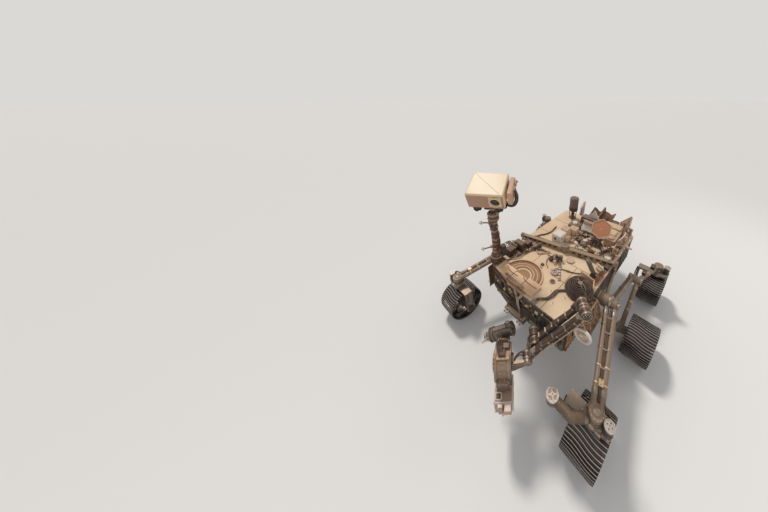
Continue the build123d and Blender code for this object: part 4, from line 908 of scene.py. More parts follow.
# Deck: one sandwich plate, its white paint under a coat of orange dust, with seams between its panels,
# rows of screws along every edge, small capped sockets, and a screwed strip round its rim.
deck_z = 1.1
deck_cream = dusty("deck_dusted_paint", (0.93, 0.75, 0.51), 0.6, dust=0.62,
    dust_colour=(0.66, 0.4, 0.235), grain=6, bump=0.12, mottle=0.06)
seam_brown = dusty("seam_brown", (0.085, 0.045, 0.025), 0.7, dust=0.2)
finish_nodes(deck_cream, "deck")
deck_parts = []


def seam(places, width=0.005):
    """A dark sealed joint between two deck panels, a hair above the paint."""
    samples = 2 if len(places) == 2 else 24
    return strap([(*place, deck_z + 0.0008) for place in places], width, 0.002, samples=samples)


for places in (
    [(-1.12, 0.0), (-0.3, 0.0)], [(-0.3, -0.62), (-0.3, 0.62)], [(-0.72, -0.62), (-0.72, 0.62)],
    [(0.1, -0.6), (0.1, 0.62)], [(0.1, 0.3), (0.868, 0.3)], [(0.42, 0.13), (0.42, 0.62)],
    [(0.1, -0.2), (0.4, -0.2)]
):
    deck_parts += painted(0, seam(places))
for x in np.arange(-1.1, 0.86, 0.062):
    for y in (-0.617, 0.617):
        if not (y < 0 and x > 0.74):
            deck_parts += painted(1, studs([(x, y, deck_z)], up, 0.0045, 0.003))
deck_parts += painted(1,
    studs([(0.858, y, deck_z) for y in np.arange(-0.17, 0.6, 0.055)], up, 0.0045, 0.003),
    studs([(-1.127, y, deck_z) for y in np.arange(-0.58, 0.6, 0.055)], up, 0.0045, 0.003))
for x in (-0.285, -0.315, 0.085, 0.115, -0.705, -0.735):
    deck_parts += painted(1,
        studs([(x, y, deck_z) for y in np.arange(-0.58, 0.6, 0.085)], up, 0.0038, 0.0025))
for x, y in (
    (0.2, 0.36), (0.34, 0.2), (0.24, -0.1), (0.62, 0.25), (0.74, 0.36), (0.8, 0.52), (0.14, -0.4),
    (0.6, 0.42), (0.7, 0.55)
):
    deck_parts += painted(1,
        turned([(0.013, 0), (0.013, 0.003), (0.008, 0.005), (0.001, 0.005)], (x, y, deck_z), up, 16))
    # The socket's dark centre is painted shade.
    deck_parts += painted(2,
        turned([(0.0045, 0.004), (0.0045, 0.007), (0.001, 0.007)], (x, y, deck_z), up, 8))
lip_points = [(-1.12, 0.632), (0.852, 0.632), (0.872, 0.612), (0.872, -0.195), (0.862, -0.205),
    (0.774, -0.624), (-1.12, -0.632)]
for start, stop in zip(lip_points[:-1], lip_points[1:]):
    start, stop = at(*start, 1.087), at(*stop, 1.087)
    if np.linalg.norm(stop - start) > 0.1:
        middle = (start + stop) / 2
        way = (stop - start) / np.linalg.norm(stop - start)
        outer = np.cross(way, up) * (1 if np.cross(way, up) @ middle > 0 else -1)
        deck_parts += painted(3,
            block((np.linalg.norm(stop - start) - 0.03, 0.014, 0.004), middle + outer * 0.0005, way,
                outer, edge=0.001))
        count = int(np.linalg.norm(stop - start) / 0.06)
        deck_parts += painted(1,
            studs([between(start, stop, t) for t in np.linspace(0.03, 0.97, count)], outer, 0.004, 0.005))
piece("deck_seams", deck_parts, [seam_brown, cap_pale, shadow_dark, shell_brown_and_shade])

# Round tray let into the front of the deck: a dark umber bowl ring with a pale lip, and a swirl where
# dust has run round its floor; three peach cover panels lap over its front, screwed at their corners.
panel_peach = dusty("panel_peach", (0.86, 0.6, 0.38), dust=0.6, dust_colour=(0.7, 0.37, 0.19),
    grain=9, mottle=0.08)
tray_umber = dusty("tray_umber", (0.36, 0.2, 0.105), 0.6, dust=0.5, dust_colour=(0.5, 0.26, 0.13),
    grain=10)
finish_nodes(tray_umber, "deck_tray")
finish_nodes(panel_peach, "cover_panels")
tray_centre = np.array((0.68, -0.15))
tray_parts = []


def arc(radius, start, stop, z, samples=40, centre=tray_centre, pull=0.0):
    """Places along a circle's arc, its radius drawn in by pull towards its end."""
    turn = np.radians(np.linspace(start, stop, samples))
    reach = radius * (1 - pull * np.linspace(0, 1, samples) ** 2)
    return np.stack([centre[0] + reach * np.cos(turn), centre[1] + reach * np.sin(turn),
        np.full(samples, z)], -1)


for radius, start, stop, width, thick, z, tone, pull in (
    (0.262, 60, 292, 0.017, 0.008, 1.1185, 0, 0), (0.243, 62, 290, 0.006, 0.006, 1.117, 1, 0),
    (0.224, 64, 286, 0.012, 0.006, 1.113, 2, 0.02), (0.2, 68, 282, 0.008, 0.006, 1.1135, 3, 0.04),
    (0.182, 66, 276, 0.014, 0.005, 1.112, 2, 0.1), (0.155, 72, 262, 0.01, 0.005, 1.1185, 0, 0.12),
    (0.12, 80, 250, 0.016, 0.004, 1.111, 3, 0.22), (0.09, 90, 240, 0.01, 0.004, 1.111, 2, 0.25)
):
    path = arc(radius, start, stop, z, 44, pull=pull)
    half, rise = width / 2, thick / 2
    outline = [(-half, -rise), (half, -rise), (half, rise * 0.3), (half * 0.7, rise), (-half * 0.7, rise),
        (-half, rise * 0.3)]
    tray_parts += painted(tone, swept(path, outline, up))
tray_parts += painted(4,
    studs([(tray_centre[0] + 0.262 * cos(t), tray_centre[1] + 0.262 * sin(t), 1.122)
        for t in np.radians(np.arange(70, 290, 9.5))], up, 0.0042, 0.003))
for x, y, length, width in (
    (0.755, -0.32, 0.15, 0.172), (0.765, -0.135, 0.142, 0.172), (0.75, 0.055, 0.172, 0.182)
):
    places = [(x + a * (length / 2 - 0.014), y + b * (width / 2 - 0.014), 1.13) for a in (-1, 0, 1)
        for b in (-1, 0, 1) if (a or b) and x + a * (length / 2 - 0.014) < 0.86
        - max(0, -y - b * width / 2 - 0.2) * 0.22]
    tray_parts += painted(4, studs(places, up, 0.0045, 0.003))
for y0, y1, x0, x1 in ((-0.228, -0.228, 0.69, 0.85), (-0.043, -0.043, 0.69, 0.868)):
    tray_parts += painted(5, strap([(x0, y0, 1.131), (x1, y1, 1.131)], 0.006, 0.003, samples=2))
tray_parts += painted(5,
    strap([(0.7, -0.385, 1.131), (0.735, -0.3, 1.135), (0.742, -0.21, 1.133), (0.73, -0.16, 1.133)],
        0.008, 0.003),
    strap([(0.7, -0.1, 1.132), (0.728, -0.04, 1.134), (0.735, 0.05, 1.133), (0.728, 0.13, 1.131)], 0.008,
        0.003))
tray_parts += painted(6,
    strap([(0.8, -0.3, 1.134), (0.815, -0.2, 1.138), (0.822, -0.1, 1.137), (0.828, 0.02, 1.134)], 0.034,
        0.005))
tray_parts += painted(7,
    strap([(0.828, -0.295, 1.139), (0.832, -0.19, 1.142), (0.835, -0.1, 1.141), (0.846, 0.02, 1.136)],
        0.006, 0.003))
for y in (-0.25, -0.13, -0.02):
    tray_parts += painted(7, block((0.044, 0.012, 0.006), (0.815, y, 1.139), (1, 0.1, 0), edge=0.002))
    tray_parts += painted(4, studs([(0.815 + a, y, 1.142) for a in (-0.016, 0.016)], up, 0.0035, 0.003))
piece("tray_rings", tray_parts, [panel_peach, seam_brown, tray_umber, deck_cream, cap_pale, seam_brown,
    steer_grey, strap_tan])

# Deck harness: a dark sheathed cable from a junction at the front edge round to the coil, thinner leads
# over the rest of the deck, and saddle clips with their screws.
lead_brown = dusty("lead_brown_sleeve", (0.085, 0.048, 0.028), 0.7, dust=0.35, grain=60, bump=0.4)
copper_wire = dusty("copper_wire", (0.3, 0.125, 0.055), 0.4, 0.5, dust=0.25, worn=(0.62, 0.38, 0.22))
runs = [([(0.858, 0.215, 1.112), (0.8, 0.225, 1.116), (0.74, 0.285, 1.115), (0.66, 0.315, 1.117),
    (0.58, 0.318, 1.116), (0.52, 0.37, 1.115), (0.48, 0.43, 1.122)], 0.0125, 0),
    ([(0.86, 0.2, 1.11), (0.81, 0.205, 1.113), (0.77, 0.25, 1.112), (0.7, 0.285, 1.112),
    (0.63, 0.288, 1.112), (0.57, 0.3, 1.112), (0.53, 0.35, 1.112)], 0.006, 1),
    ([(0.1, -0.56, 1.112), (0, -0.53, 1.113), (-0.12, -0.5, 1.112), (-0.22, -0.44, 1.114),
    (-0.34, -0.42, 1.112), (-0.5, -0.44, 1.113)], 0.01, 0),
    ([(0.62, -0.47, 1.112), (0.5, -0.44, 1.114), (0.38, -0.4, 1.112), (0.27, -0.38, 1.113),
    (0.16, -0.3, 1.112), (0.12, -0.22, 1.112)], 0.008, 1),
    ([(0.6, -0.46, 1.11), (0.47, -0.42, 1.111), (0.36, -0.37, 1.11), (0.26, -0.35, 1.111),
    (0.17, -0.27, 1.11), (0.1, -0.16, 1.11)], 0.005, 0),
    ([(0.33, 0.09, 1.11), (0.27, 0.15, 1.111), (0.24, 0.24, 1.11), (0.2, 0.34, 1.111),
    (0.14, 0.42, 1.112)], 0.006, 1),
    ([(0.36, 0.02, 1.108), (0.3, -0.05, 1.11), (0.2, -0.08, 1.108), (0.12, -0.06, 1.109)], 0.005, 1),
    ([(-0.1, 0.2, 1.112), (-0.18, 0.28, 1.114), (-0.28, 0.36, 1.112), (-0.4, 0.42, 1.113),
    (-0.56, 0.47, 1.112), (-0.72, 0.5, 1.113)], 0.011, 0),
    ([(-0.08, 0.22, 1.11), (-0.15, 0.31, 1.111), (-0.26, 0.39, 1.11), (-0.4, 0.45, 1.111),
    (-0.58, 0.5, 1.11), (-0.7, 0.53, 1.111)], 0.007, 1),
    ([(0.05, 0.58, 1.116), (-0.1, 0.585, 1.12), (-0.24, 0.575, 1.116), (-0.4, 0.585, 1.119),
    (-0.56, 0.58, 1.116), (-0.8, 0.585, 1.118)], 0.012, 0),
    ([(0.04, 0.6, 1.112), (-0.12, 0.605, 1.114), (-0.26, 0.6, 1.112), (-0.42, 0.605, 1.114),
    (-0.6, 0.6, 1.112), (-0.9, 0.605, 1.113)], 0.008, 2),
    ([(-0.52, -0.05, 1.112), (-0.58, 0.06, 1.114), (-0.66, 0.16, 1.112), (-0.68, 0.3, 1.114),
    (-0.66, 0.42, 1.112)], 0.009, 0)]
harness = [(*tube(places, radius, 60), tone) for places, radius, tone in runs]
for x, y, turn in (
    (0.8, 0.225, 20), (0.66, 0.315, 95), (0.58, 0.318, 90), (0.5, -0.43, 100), (0.27, -0.37, 95),
    (-0.12, -0.5, 80), (-0.34, -0.42, 90), (-0.28, 0.38, 60), (-0.56, 0.485, 80), (-0.24, 0.588, 90),
    (-0.56, 0.59, 90), (-0.66, 0.16, 10), (0.24, 0.24, 20)
):
    way = cos(radians(turn + 90)), sin(radians(turn + 90)), 0
    harness += painted(3, block((0.016, 0.052, 0.012), (x, y, 1.118), (-way[1], way[0], 0), edge=0.003))
    harness += painted(4, studs([at(x, y, 1.124) + np.array(way) * s for s in (-0.019, 0.019)], up))
for x, y, size in ((0.858, 0.205, (0.046, 0.055, 0.022)), (0.845, 0.195, (0.03, 0.03, 0.034))):
    harness += painted(3, block(size, (x, y, 1.112)))
piece("deck_harness", harness, [cable_black, lead_brown, copper_wire, steer_grey, cap_pale])

# Deck instruments: the shadow-post dial, a bar with a striped scale, ring marks, a small dark hatch, and
# the cluster of sensor blocks with its lead.
dial_pink = dusty("dial_pinkish", (0.52, 0.36, 0.28), 0.5, dust=0.3)
mark_white = dusty("mark_white", (0.8, 0.74, 0.66), 0.5, dust=0.2)
finish_nodes(dial_pink, "calibration_targets")
dial = at(0.37, 0.13, 1.124)
dials = painted(0,
    hoop([(0.05, -0.022), (0.052, -0.02), (0.052, -0.008), (0.047, 0.001), (0.041, 0.001),
        (0.04, -0.001)], dial, up, 36))
for radius, tone in ((0.036, 1), (0.026, 2), (0.016, 1)):
    dials += painted(tone,
        hoop([(radius, 0.0), (radius, 0.0022), (radius - 0.005, 0.0022), (radius - 0.005, 0.0)], dial, up,
            32))
dials += painted(2,
    rod(dial, dial + (0, 0, 0.03), 0.0035, 12, 0.001),
    turned([(0.007, 0), (0.0085, 0.004), (0.007, 0.008), (0.001, 0.009)], dial + (0, 0, 0.026), up, 16))
for k, turn in enumerate(np.radians(np.arange(0, 360, 45))):
    dials += painted(k % 4,
        turned([(0.006, 0), (0.006, 0.003), (0.001, 0.003)],
            dial + (0.044 * cos(turn), 0.044 * sin(turn), 0), up, 12))
bar_start, bar_end = at(0.12, 0.045, 1.116), at(0.44, 0.245, 1.116)
bar_way = (bar_end - bar_start) / np.linalg.norm(bar_end - bar_start)
dials += painted(0,
    block((0.37, 0.03, 0.018), (bar_start + bar_end) / 2 - (0, 0, 0.006), bar_way, edge=0.003))
for k, t in enumerate(np.linspace(0.06, 0.94, 15)):
    dials += painted(1 if k % 2 else 2,
        block((0.012, 0.026, 0.003), between(bar_start, bar_end, t) + (0, 0, 0.0035), bar_way,
            edge=0.0006))
for x, y, r, z in ((0.5, 0.19, 0.032, 1.11), (0.05, 0.17, 0.052, 1.118), (0.22, 0.11, 0.02, 1.134)):
    dials += painted(4 if r < 0.04 else 3,
        hoop([(r + 0.002, -0.008), (r + 0.003, -0.002), (r, 0.003), (r - 0.007, 0.003),
            (r - 0.008, -0.001)], (x, y, z), up, 32))
    dials += painted(2 if r < 0.035 else 3,
        turned([(r - 0.009, 0.0), (r - 0.009, 0.002), (0.001, 0.002)], (x, y, z), up))
dials += painted(4, block((0.052, 0.052, 0.01), (0.43, -0.06, 1.105), (1, 0.3, 0), edge=0.003))
dials += painted(2, block((0.034, 0.034, 0.004), (0.43, -0.06, 1.111), (1, 0.3, 0), edge=0.001))
for x, y, size, z, turn, tone in (
    (0.18, 0.02, (0.062, 0.05, 0.07), 1.135, 25, 4), (0.215, -0.035, (0.05, 0.04, 0.045), 1.122, 10, 2),
    (0.14, 0.065, (0.035, 0.06, 0.095), 1.147, 25, 4), (0.175, 0.022, (0.045, 0.032, 0.03), 1.185, 25, 2),
    (0.235, 0.035, (0.04, 0.03, 0.055), 1.127, -15, 3), (0.13, -0.03, (0.05, 0.03, 0.04), 1.12, 40, 4)
):
    across = cos(radians(turn)), sin(radians(turn)), 0
    dials += painted(tone, block(size, (x, y, z), across))
    dials += painted(4,
        studs([(x + a, y + b, z + size[2] / 2) for a in (-0.012, 0.012) for b in (-0.01, 0.01)], up,
            0.0035, 0.003))
dials += painted(2,
    turned([(0.016, 0), (0.016, 0.016), (0.013, 0.02), (0.001, 0.02)], (0.165, 0.05, 1.17),
        (0.5, 0.6, 0.35), 20),
    tube([(0.19, -0.01, 1.15), (0.21, -0.05, 1.165), (0.19, -0.1, 1.14), (0.16, -0.13, 1.112)], 0.006))
piece("deck_instruments", dials, [dial_pink, mark_white, cable_black, cream_paint, steer_grey])

# Leaning wind-boom post by the port edge: a folded grey panel on a clevis foot, with a lead up its back
# and a white marker plate behind it.
post_grey = dusty("post_dark_grey", (0.1, 0.09, 0.078), 0.5, 0.4, dust=0.3, worn=(0.28, 0.24, 0.2))
post_foot = at(0.08, 0.52, 1.114)
post_way = at(0.06, -0.09, 0.23)
post_way /= np.linalg.norm(post_way)
finish_nodes(post_grey, "wind_post")
post = painted(0,
    block((0.082, 0.03, 0.215), post_foot + post_way * 0.145, (0.55, 0.75, 0), post_way, edge=0.005),
    block((0.012, 0.044, 0.21), post_foot + post_way * 0.145 + at(0.55, 0.75, 0) * 0.04, (0.55, 0.75, 0),
        post_way, edge=0.002),
    block((0.012, 0.044, 0.21), post_foot + post_way * 0.145 - at(0.55, 0.75, 0) * 0.04, (0.55, 0.75, 0),
        post_way, edge=0.002))
post += painted(1,
    block((0.06, 0.008, 0.17), post_foot + post_way * 0.145 + at(0.75, -0.5, 0.3) * 0.018,
        (0.55, 0.75, 0), post_way, edge=0.002))
post += painted(2,
    rod(post_foot + (-0.03, -0.04, 0.018), post_foot + (0.03, 0.04, 0.018), 0.012, 16, 0.002),
    studs([post_foot + (a, b, 0.014) for a in (-0.036, 0.036) for b in (-0.03, 0.03)], up, 0.005, 0.005),
    studs([(-0.045, 0.505, 1.19), (-0.045, 0.565, 1.19)], (0.9, -0.4, 0)))
post += painted(3,
    tube([post_foot + (0.03, 0.03, 0.01), post_foot + post_way * 0.08 + (0.02, 0.03, 0),
        post_foot + post_way * 0.18 + (0.01, 0.03, 0), post_foot + post_way * 0.235], 0.007))
post += painted(4,
    block((0.11, 0.012, 0.075), (-0.055, 0.535, 1.15), (0.4, 0.9, 0), (0.3, -0.1, 1), edge=0.002))
post += painted(5, block((0.08, 0.03, 0.05), (-0.03, 0.53, 1.125), (0.4, 0.9, 0), edge=0.003))
piece("wind_post_trim", post, [post_grey, drive_dark, cap_pale, cable_black, mark_white, cream_paint])

# Cable dome: black sheathed lead wound up a dome in nine turns, with a few tan strands across it and two
# peach retaining slabs beside it.
coil_black = dusty("coil_black_sheath", (0.022, 0.015, 0.011), 0.6, dust=0.18,
    dust_colour=(0.4, 0.2, 0.1), grain=60, bump=0.5)
finish_nodes(coil_black, "cable_dome")
dome_at = at(0.4, 0.488, deck_z)
coil = []
wraps = np.linspace(0, tau * 9, 400)
climb = wraps / wraps[-1]
coil_reach = 0.15 * np.cos(climb * radians(80)) ** 0.9 + 0.006
coil_rise = 0.124 * np.sin(climb * radians(80)) + 0.008
wobble = 0.003 * np.sin(wraps * 2.3) + 0.002 * np.sin(wraps * 5.1)
coil_path = np.stack([dome_at[0] + (coil_reach + wobble) * np.cos(wraps),
    dome_at[1] + (coil_reach + wobble) * np.sin(wraps), dome_at[2] + coil_rise + 0.5 * wobble], -1)
lead_turn = np.linspace(0, tau, 8, endpoint=False)
coil += painted(0,
    swept(coil_path, 0.0085 * np.stack([np.sin(lead_turn), np.cos(lead_turn)], -1)[::-1], up))
for turn, swing in ((0.6, 0.9), (1.3, -0.7), (2.2, 0.6), (3.4, 0.8), (5.2, -0.9)):
    t = np.linspace(0.06, 0.94, 12)
    lean = radians(86) * t
    around = turn + swing * t
    path = np.stack([dome_at[0] + 0.163 * np.cos(lean) * np.cos(around),
        dome_at[1] + 0.163 * np.cos(lean) * np.sin(around),
        dome_at[2] + 0.006 + 0.133 * np.sin(lean)], -1)
    coil += painted(1, tube(path, 0.0036, 30, 6))
coil += painted(2,
    turned([(0.03, 0.118), (0.03, 0.128), (0.024, 0.133), (0.01, 0.133), (0.008, 0.129), (0.001, 0.129)],
        dome_at, up, 24))
for start, stop in (((0.22, 0.575), (0.33, 0.617)), ((0.2, 0.4), (0.225, 0.57))):
    start, stop = at(*start, 1.15), at(*stop, 1.15)
    coil += painted(3,
        block((np.linalg.norm(stop - start), 0.012, 0.088), (start + stop) / 2, stop - start, edge=0.003))
    coil += painted(2, studs([between(start, stop, t) + (0, 0, 0.044) for t in (0.1, 0.5, 0.9)], up))
piece("cable_dome_coil", coil, [coil_black, strap_tan, steer_grey, panel_peach])

# Copper harness bundle by the port edge: many bare lacquered strands that fan out between two tied waists
# and end in a plug on the deck.
bundle = []
chance = np.random.default_rng(11)
for k in range(22):
    a, b = chance.uniform(-1, 1, 2)
    c, d = chance.uniform(-1, 1, 2)
    path = [(0.215 + 0.012 * a, 0.575 + 0.012 * b, 1.108 + 0.006 * abs(c)),
        (0.15 + 0.035 * b, 0.585 + 0.03 * c, 1.135 + 0.022 * a),
        (0.065 + 0.03 * d, 0.592 + 0.032 * a, 1.145 + 0.024 * b),
        (-0.02 + 0.03 * c, 0.588 + 0.028 * d, 1.13 + 0.02 * c),
        (-0.075 + 0.01 * a, 0.585 + 0.012 * b, 1.108 + 0.004 * d)]
    bundle += painted(int(k % 4 == 0), tube(path, 0.0034 if k % 3 else 0.005, 26, 6))
for x, y in ((0.205, 0.577), (-0.065, 0.585)):
    bundle += painted(2, block((0.02, 0.056, 0.03), (x, y, 1.113), (1, 0.05, 0)))
bundle += painted(3, block((0.085, 0.06, 0.055), (-0.135, 0.59, 1.128), edge=0.006))
bundle += painted(2, block((0.06, 0.048, 0.035), (-0.2, 0.592, 1.118), edge=0.005))
piece("copper_bundle", bundle, [copper_wire, lead_brown, steer_grey, drive_dark])

# Bit carousel on the port wall: a wedge housing wrapped in creased bronze foil with tan piping taped along
# its folds, and the loading ring, a white rimmed bowl, on its front.
finish_nodes(foil_bronze, "bit_carousel")
ring_white = dusty("ring_white", (0.9, 0.83, 0.74), 0.5, dust=0.2)
finish_nodes(ring_white, "carousel_ring")
low, high = (np.array(corner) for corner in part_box("bit_carousel"))
ring_low, ring_high = (np.array(corner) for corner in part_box("carousel_ring"))
ring_at = at(ring_high[0], (ring_low[1] + ring_high[1]) / 2, (ring_low[2] + ring_high[2]) / 2)
ring_r = (ring_high[1] - ring_low[1]) / 2


def wrap_surface():
    """The housing's five-sided outline pushed out by creases, each a ridge of 1 less a wave's size."""
    y0, y1, z0, z1 = low[1], high[1], low[2], high[2]
    corners = np.array([(y0, z0 + 0.004), (y0 + 0.6 * (y1 - y0), z0), (y1, z0 + 0.05), (y1, z0 + 0.11),
        (y0 + 0.5 * (y1 - y0), z1), (y0, z1)])
    span = np.concatenate([[0], np.cumsum(np.linalg.norm(np.diff(corners, axis=0), axis=1))])
    t = np.linspace(0, span[-1], 70)
    outline = np.stack([np.interp(t, span, corners[:, 0]), np.interp(t, span, corners[:, 1])], -1)
    outward = np.gradient(outline, axis=0)
    outward = np.stack([outward[:, 1], -outward[:, 0]], -1) / np.linalg.norm(outward, axis=1)[:, None]
    u, v = np.meshgrid(np.linspace(0, 1, 64), t / span[-1], indexing="ij")
    height = sum((a * (1 - np.abs(np.sin(pi * (b * u + c * v) + d)))
        for a, b, c, d in ((0.007, 5, 3, 0.3), (0.006, -4, 7, 1.1), (0.005, 9, 2, 2.0),
        (0.004, -11, 9, 0.7), (0.003, 16, -13, 1.9))))
    fade = np.clip(np.minimum(u, 1 - u) * 14, 0, 1)
    height = height * (0.3 + 0.7 * fade) - 0.002
    x = low[0] - 0.002 + (high[0] - low[0] + 0.004) * u
    y, z = (outline[None, :, k] + outward[None, :, k] * height for k in (0, 1))
    return grid(np.stack([x, y, z], -1), around=False, caps=False)


wrap = painted(0, wrap_surface())
width = high[1] - low[1]
for places, r in (
    ([(high[0] + 0.006, low[1] + 0.01, high[2] - 0.01),
        (high[0] + 0.01, low[1] + width * 0.5, high[2] - 0.004),
        (high[0] + 0.008, high[1] + 0.004, low[2] + 0.12),
        (high[0] + 0.006, high[1] + 0.004, low[2] + 0.05),
        (high[0] + 0.004, low[1] + width * 0.6, low[2] - 0.004)], 0.007),
    ([(low[0] - 0.004, low[1] + 0.01, high[2] - 0.01), (low[0] - 0.004, low[1] + width * 0.5, high[2]),
        (low[0] - 0.002, high[1] + 0.006, low[2] + 0.12), (low[0], high[1] + 0.004, low[2] + 0.05)],
        0.006),
    ([(high[0] + 0.004, low[1] + width * 0.5, high[2] + 0.004),
        (0.5 * (low[0] + high[0]), low[1] + width * 0.52, high[2] + 0.012),
        (low[0], low[1] + width * 0.5, high[2] + 0.003)], 0.006),
    ([(high[0], high[1] + 0.008, low[2] + 0.115), (0.5 * (low[0] + high[0]) + 0.03, high[1] + 0.014,
        low[2] + 0.11), (low[0] + 0.01, high[1] + 0.008, low[2] + 0.118)], 0.005),
    ([(high[0] - 0.02, low[1] + width * 0.55, high[2] + 0.006),
        (high[0] - 0.08, low[1] + width * 0.78, high[2] - 0.065),
        (high[0] - 0.05, high[1] + 0.006, low[2] + 0.13)], 0.004),
    ([(low[0] + 0.1, low[1] + width * 0.55, high[2] + 0.006),
        (low[0] + 0.13, low[1] + width * 0.8, high[2] - 0.07),
        (low[0] + 0.09, high[1] + 0.006, low[2] + 0.12)], 0.004),
    ([(low[0] + 0.04, low[1] + width * 0.6, high[2] - 0.01),
        (low[0] + 0.16, low[1] + width * 0.82, high[2] - 0.09),
        (high[0] - 0.03, low[1] + width * 0.7, high[2] - 0.03)], 0.004)
):
    wrap += painted(1, tube(places, r, 34))
for k in range(7):
    x = low[0] + 0.03 + k * 0.042
    wrap += painted(2,
        strap([(x, low[1] + width * 0.62, low[2] + 0.001), (x + 0.004, low[1] + 0.05, low[2] - 0.006),
            (x, low[1] + 0.004, low[2] - 0.004)], 0.016, 0.006, (0, 0, -1)))
for y, z in (
    (low[1] + 0.03, high[2] - 0.035), (low[1] + width * 0.45, high[2] - 0.03),
    (high[1] - 0.02, low[2] + 0.165)
):
    wrap += painted(3, block((0.03, 0.045, 0.03), (high[0] + 0.012, y, z), edge=0.006))
    wrap += painted(4, studs([(high[0] + 0.027, y + a, z) for a in (-0.012, 0.012)], (1, 0, 0)))
bowl = painted(5,
    hoop([(ring_r - 0.004, -0.03), (ring_r + 0.003, -0.026), (ring_r + 0.004, -0.004),
        (ring_r - 0.002, 0.003), (ring_r - 0.018, 0.003), (ring_r - 0.023, -0.002),
        (ring_r - 0.026, -0.012)], ring_at, (1, 0, 0), 64))
bowl += painted(6,
    hoop([(ring_r - 0.03, -0.013), (ring_r - 0.034, -0.006), (ring_r - 0.04, -0.006),
        (ring_r - 0.044, -0.013)], ring_at, (1, 0, 0), 48),
    turned([(0.043, -0.014), (0.043, 0), (0.038, 0.004), (0.022, 0.004), (0.02, -0.004), (0.001, -0.004)],
        ring_at, (1, 0, 0), 36))
bowl += painted(4,
    bolts(16, ring_r - 0.01, ring_at + (0.002, 0, 0), (1, 0, 0), 0.004, 0.003),
    bolts(6, 0.031, ring_at + (0.003, 0, 0), (1, 0, 0), 0.004, 0.003))
bronze_block = dusty("bronze_block", (0.28, 0.17, 0.1), 0.4, 0.6, dust=0.3)
piece("carousel_wrap", wrap, [foil_bronze, strap_tan, amber_foil, bronze_block, cap_pale], "root", 50)
piece("carousel_bowl", bowl, [foil_bronze, strap_tan, amber_foil, bronze_block, cap_pale, ring_white,
    cream_paint])

# Mast: a brown anodised tube on a square plinth, with clamp bands, a braided harness that climbs round it,
# a dark drive can low down, and two short wind-sensor booms with white tips.
mast_brown = dusty("mast_brown_anodised", (0.105, 0.052, 0.034), 0.42, 0.35, dust=0.35,
    worn=(0.3, 0.19, 0.13))
mast_band = dusty("mast_band_tan", (0.34, 0.22, 0.15), 0.4, 0.5, dust=0.3, worn=(0.62, 0.52, 0.42))
tip_white = dusty("sensor_tip_white", (0.86, 0.8, 0.7), 0.4, dust=0.1)
finish_nodes(mast_brown, "mast", "mast_yoke")
mast_at = at(0.7, -0.59, 0)
mast_parts = painted(1,
    hoop([(0.0705, 1.176), (0.078, 1.18), (0.078, 1.19), (0.0705, 1.196)], mast_at, up, 40),
    hoop([(0.0445, 1.262), (0.052, 1.266), (0.052, 1.28), (0.0445, 1.286)], mast_at, up, 36),
    collar(0.0685, 0.0715, 1.76, 1.78, mast_at, up, 40),
    hoop([(0.0685, 1.815), (0.0725, 1.82), (0.0725, 1.838), (0.066, 1.8465), (0.06, 1.8465)], mast_at, up,
        40))
mast_parts += painted(2,
    bolts(12, 0.074, mast_at + (0, 0, 1.19), up, 0.0042),
    bolts(14, 0.0635, mast_at + (0, 0, 1.8458), up, 0.0035, 0.003),
    studs([mast_at + (a, b, 1.113) for a in (-0.082, -0.03, 0.03, 0.082) for b in (-0.082, 0.082)], up,
        0.005, 0.005),
    studs([mast_at + (a, b, 1.113) for a in (-0.082, 0.082) for b in (-0.03, 0.03)], up, 0.005, 0.005))
mast_parts += painted(0, block((0.188, 0.188, 0.012), mast_at + (0, 0, 1.107), edge=0.003, corner=0.03))
for k, z in enumerate((1.335, 1.405, 1.47, 1.535, 1.6, 1.665, 1.715)):
    mast_parts += painted(1 if k in (1, 2, 4, 6) else 0,
        band(mast_at + (0, 0, z), up, 0.044, 0.012 if k % 2 else 0.024, 0.004 if k % 2 else 0.003))
for z, turn in ((1.335, 40), (1.405, 200), (1.47, 62), (1.535, 150), (1.6, 50), (1.665, 100)):
    way = at(cos(radians(turn)), sin(radians(turn)), 0)
    mast_parts += painted(1, block((0.016, 0.03, 0.026), mast_at + way * 0.053 + (0, 0, z), way))
    mast_parts += painted(2,
        studs([mast_at + way * 0.061 + (0, 0, z + a) for a in (-0.007, 0.007)], way, 0.003, 0.003))
for start, reach, r, tone in ((0.4, 5.2, 0.0075, 3), (1.5, 5.0, 0.0055, 4), (2.3, 4.6, 0.0045, 3)):
    t = np.linspace(0, 1, 90)
    turn = start + reach * t + 0.35 * np.sin(9 * t)
    low_flare, high_flare = np.clip((0.04 - t) / 0.04, 0, 1), np.clip((t - 0.94) / 0.06, 0, 1)
    hold = 0.056 + 0.004 * np.sin(23 * t) + 0.016 * low_flare + 0.018 * high_flare
    path = np.stack([mast_at[0] + hold * np.cos(turn), mast_at[1] + hold * np.sin(turn),
        1.215 + 0.56 * t], -1)
    ring = np.linspace(0, tau, 8, endpoint=False)
    mast_parts += painted(tone, swept(path, np.stack([r * np.cos(ring), r * np.sin(ring)], -1)))
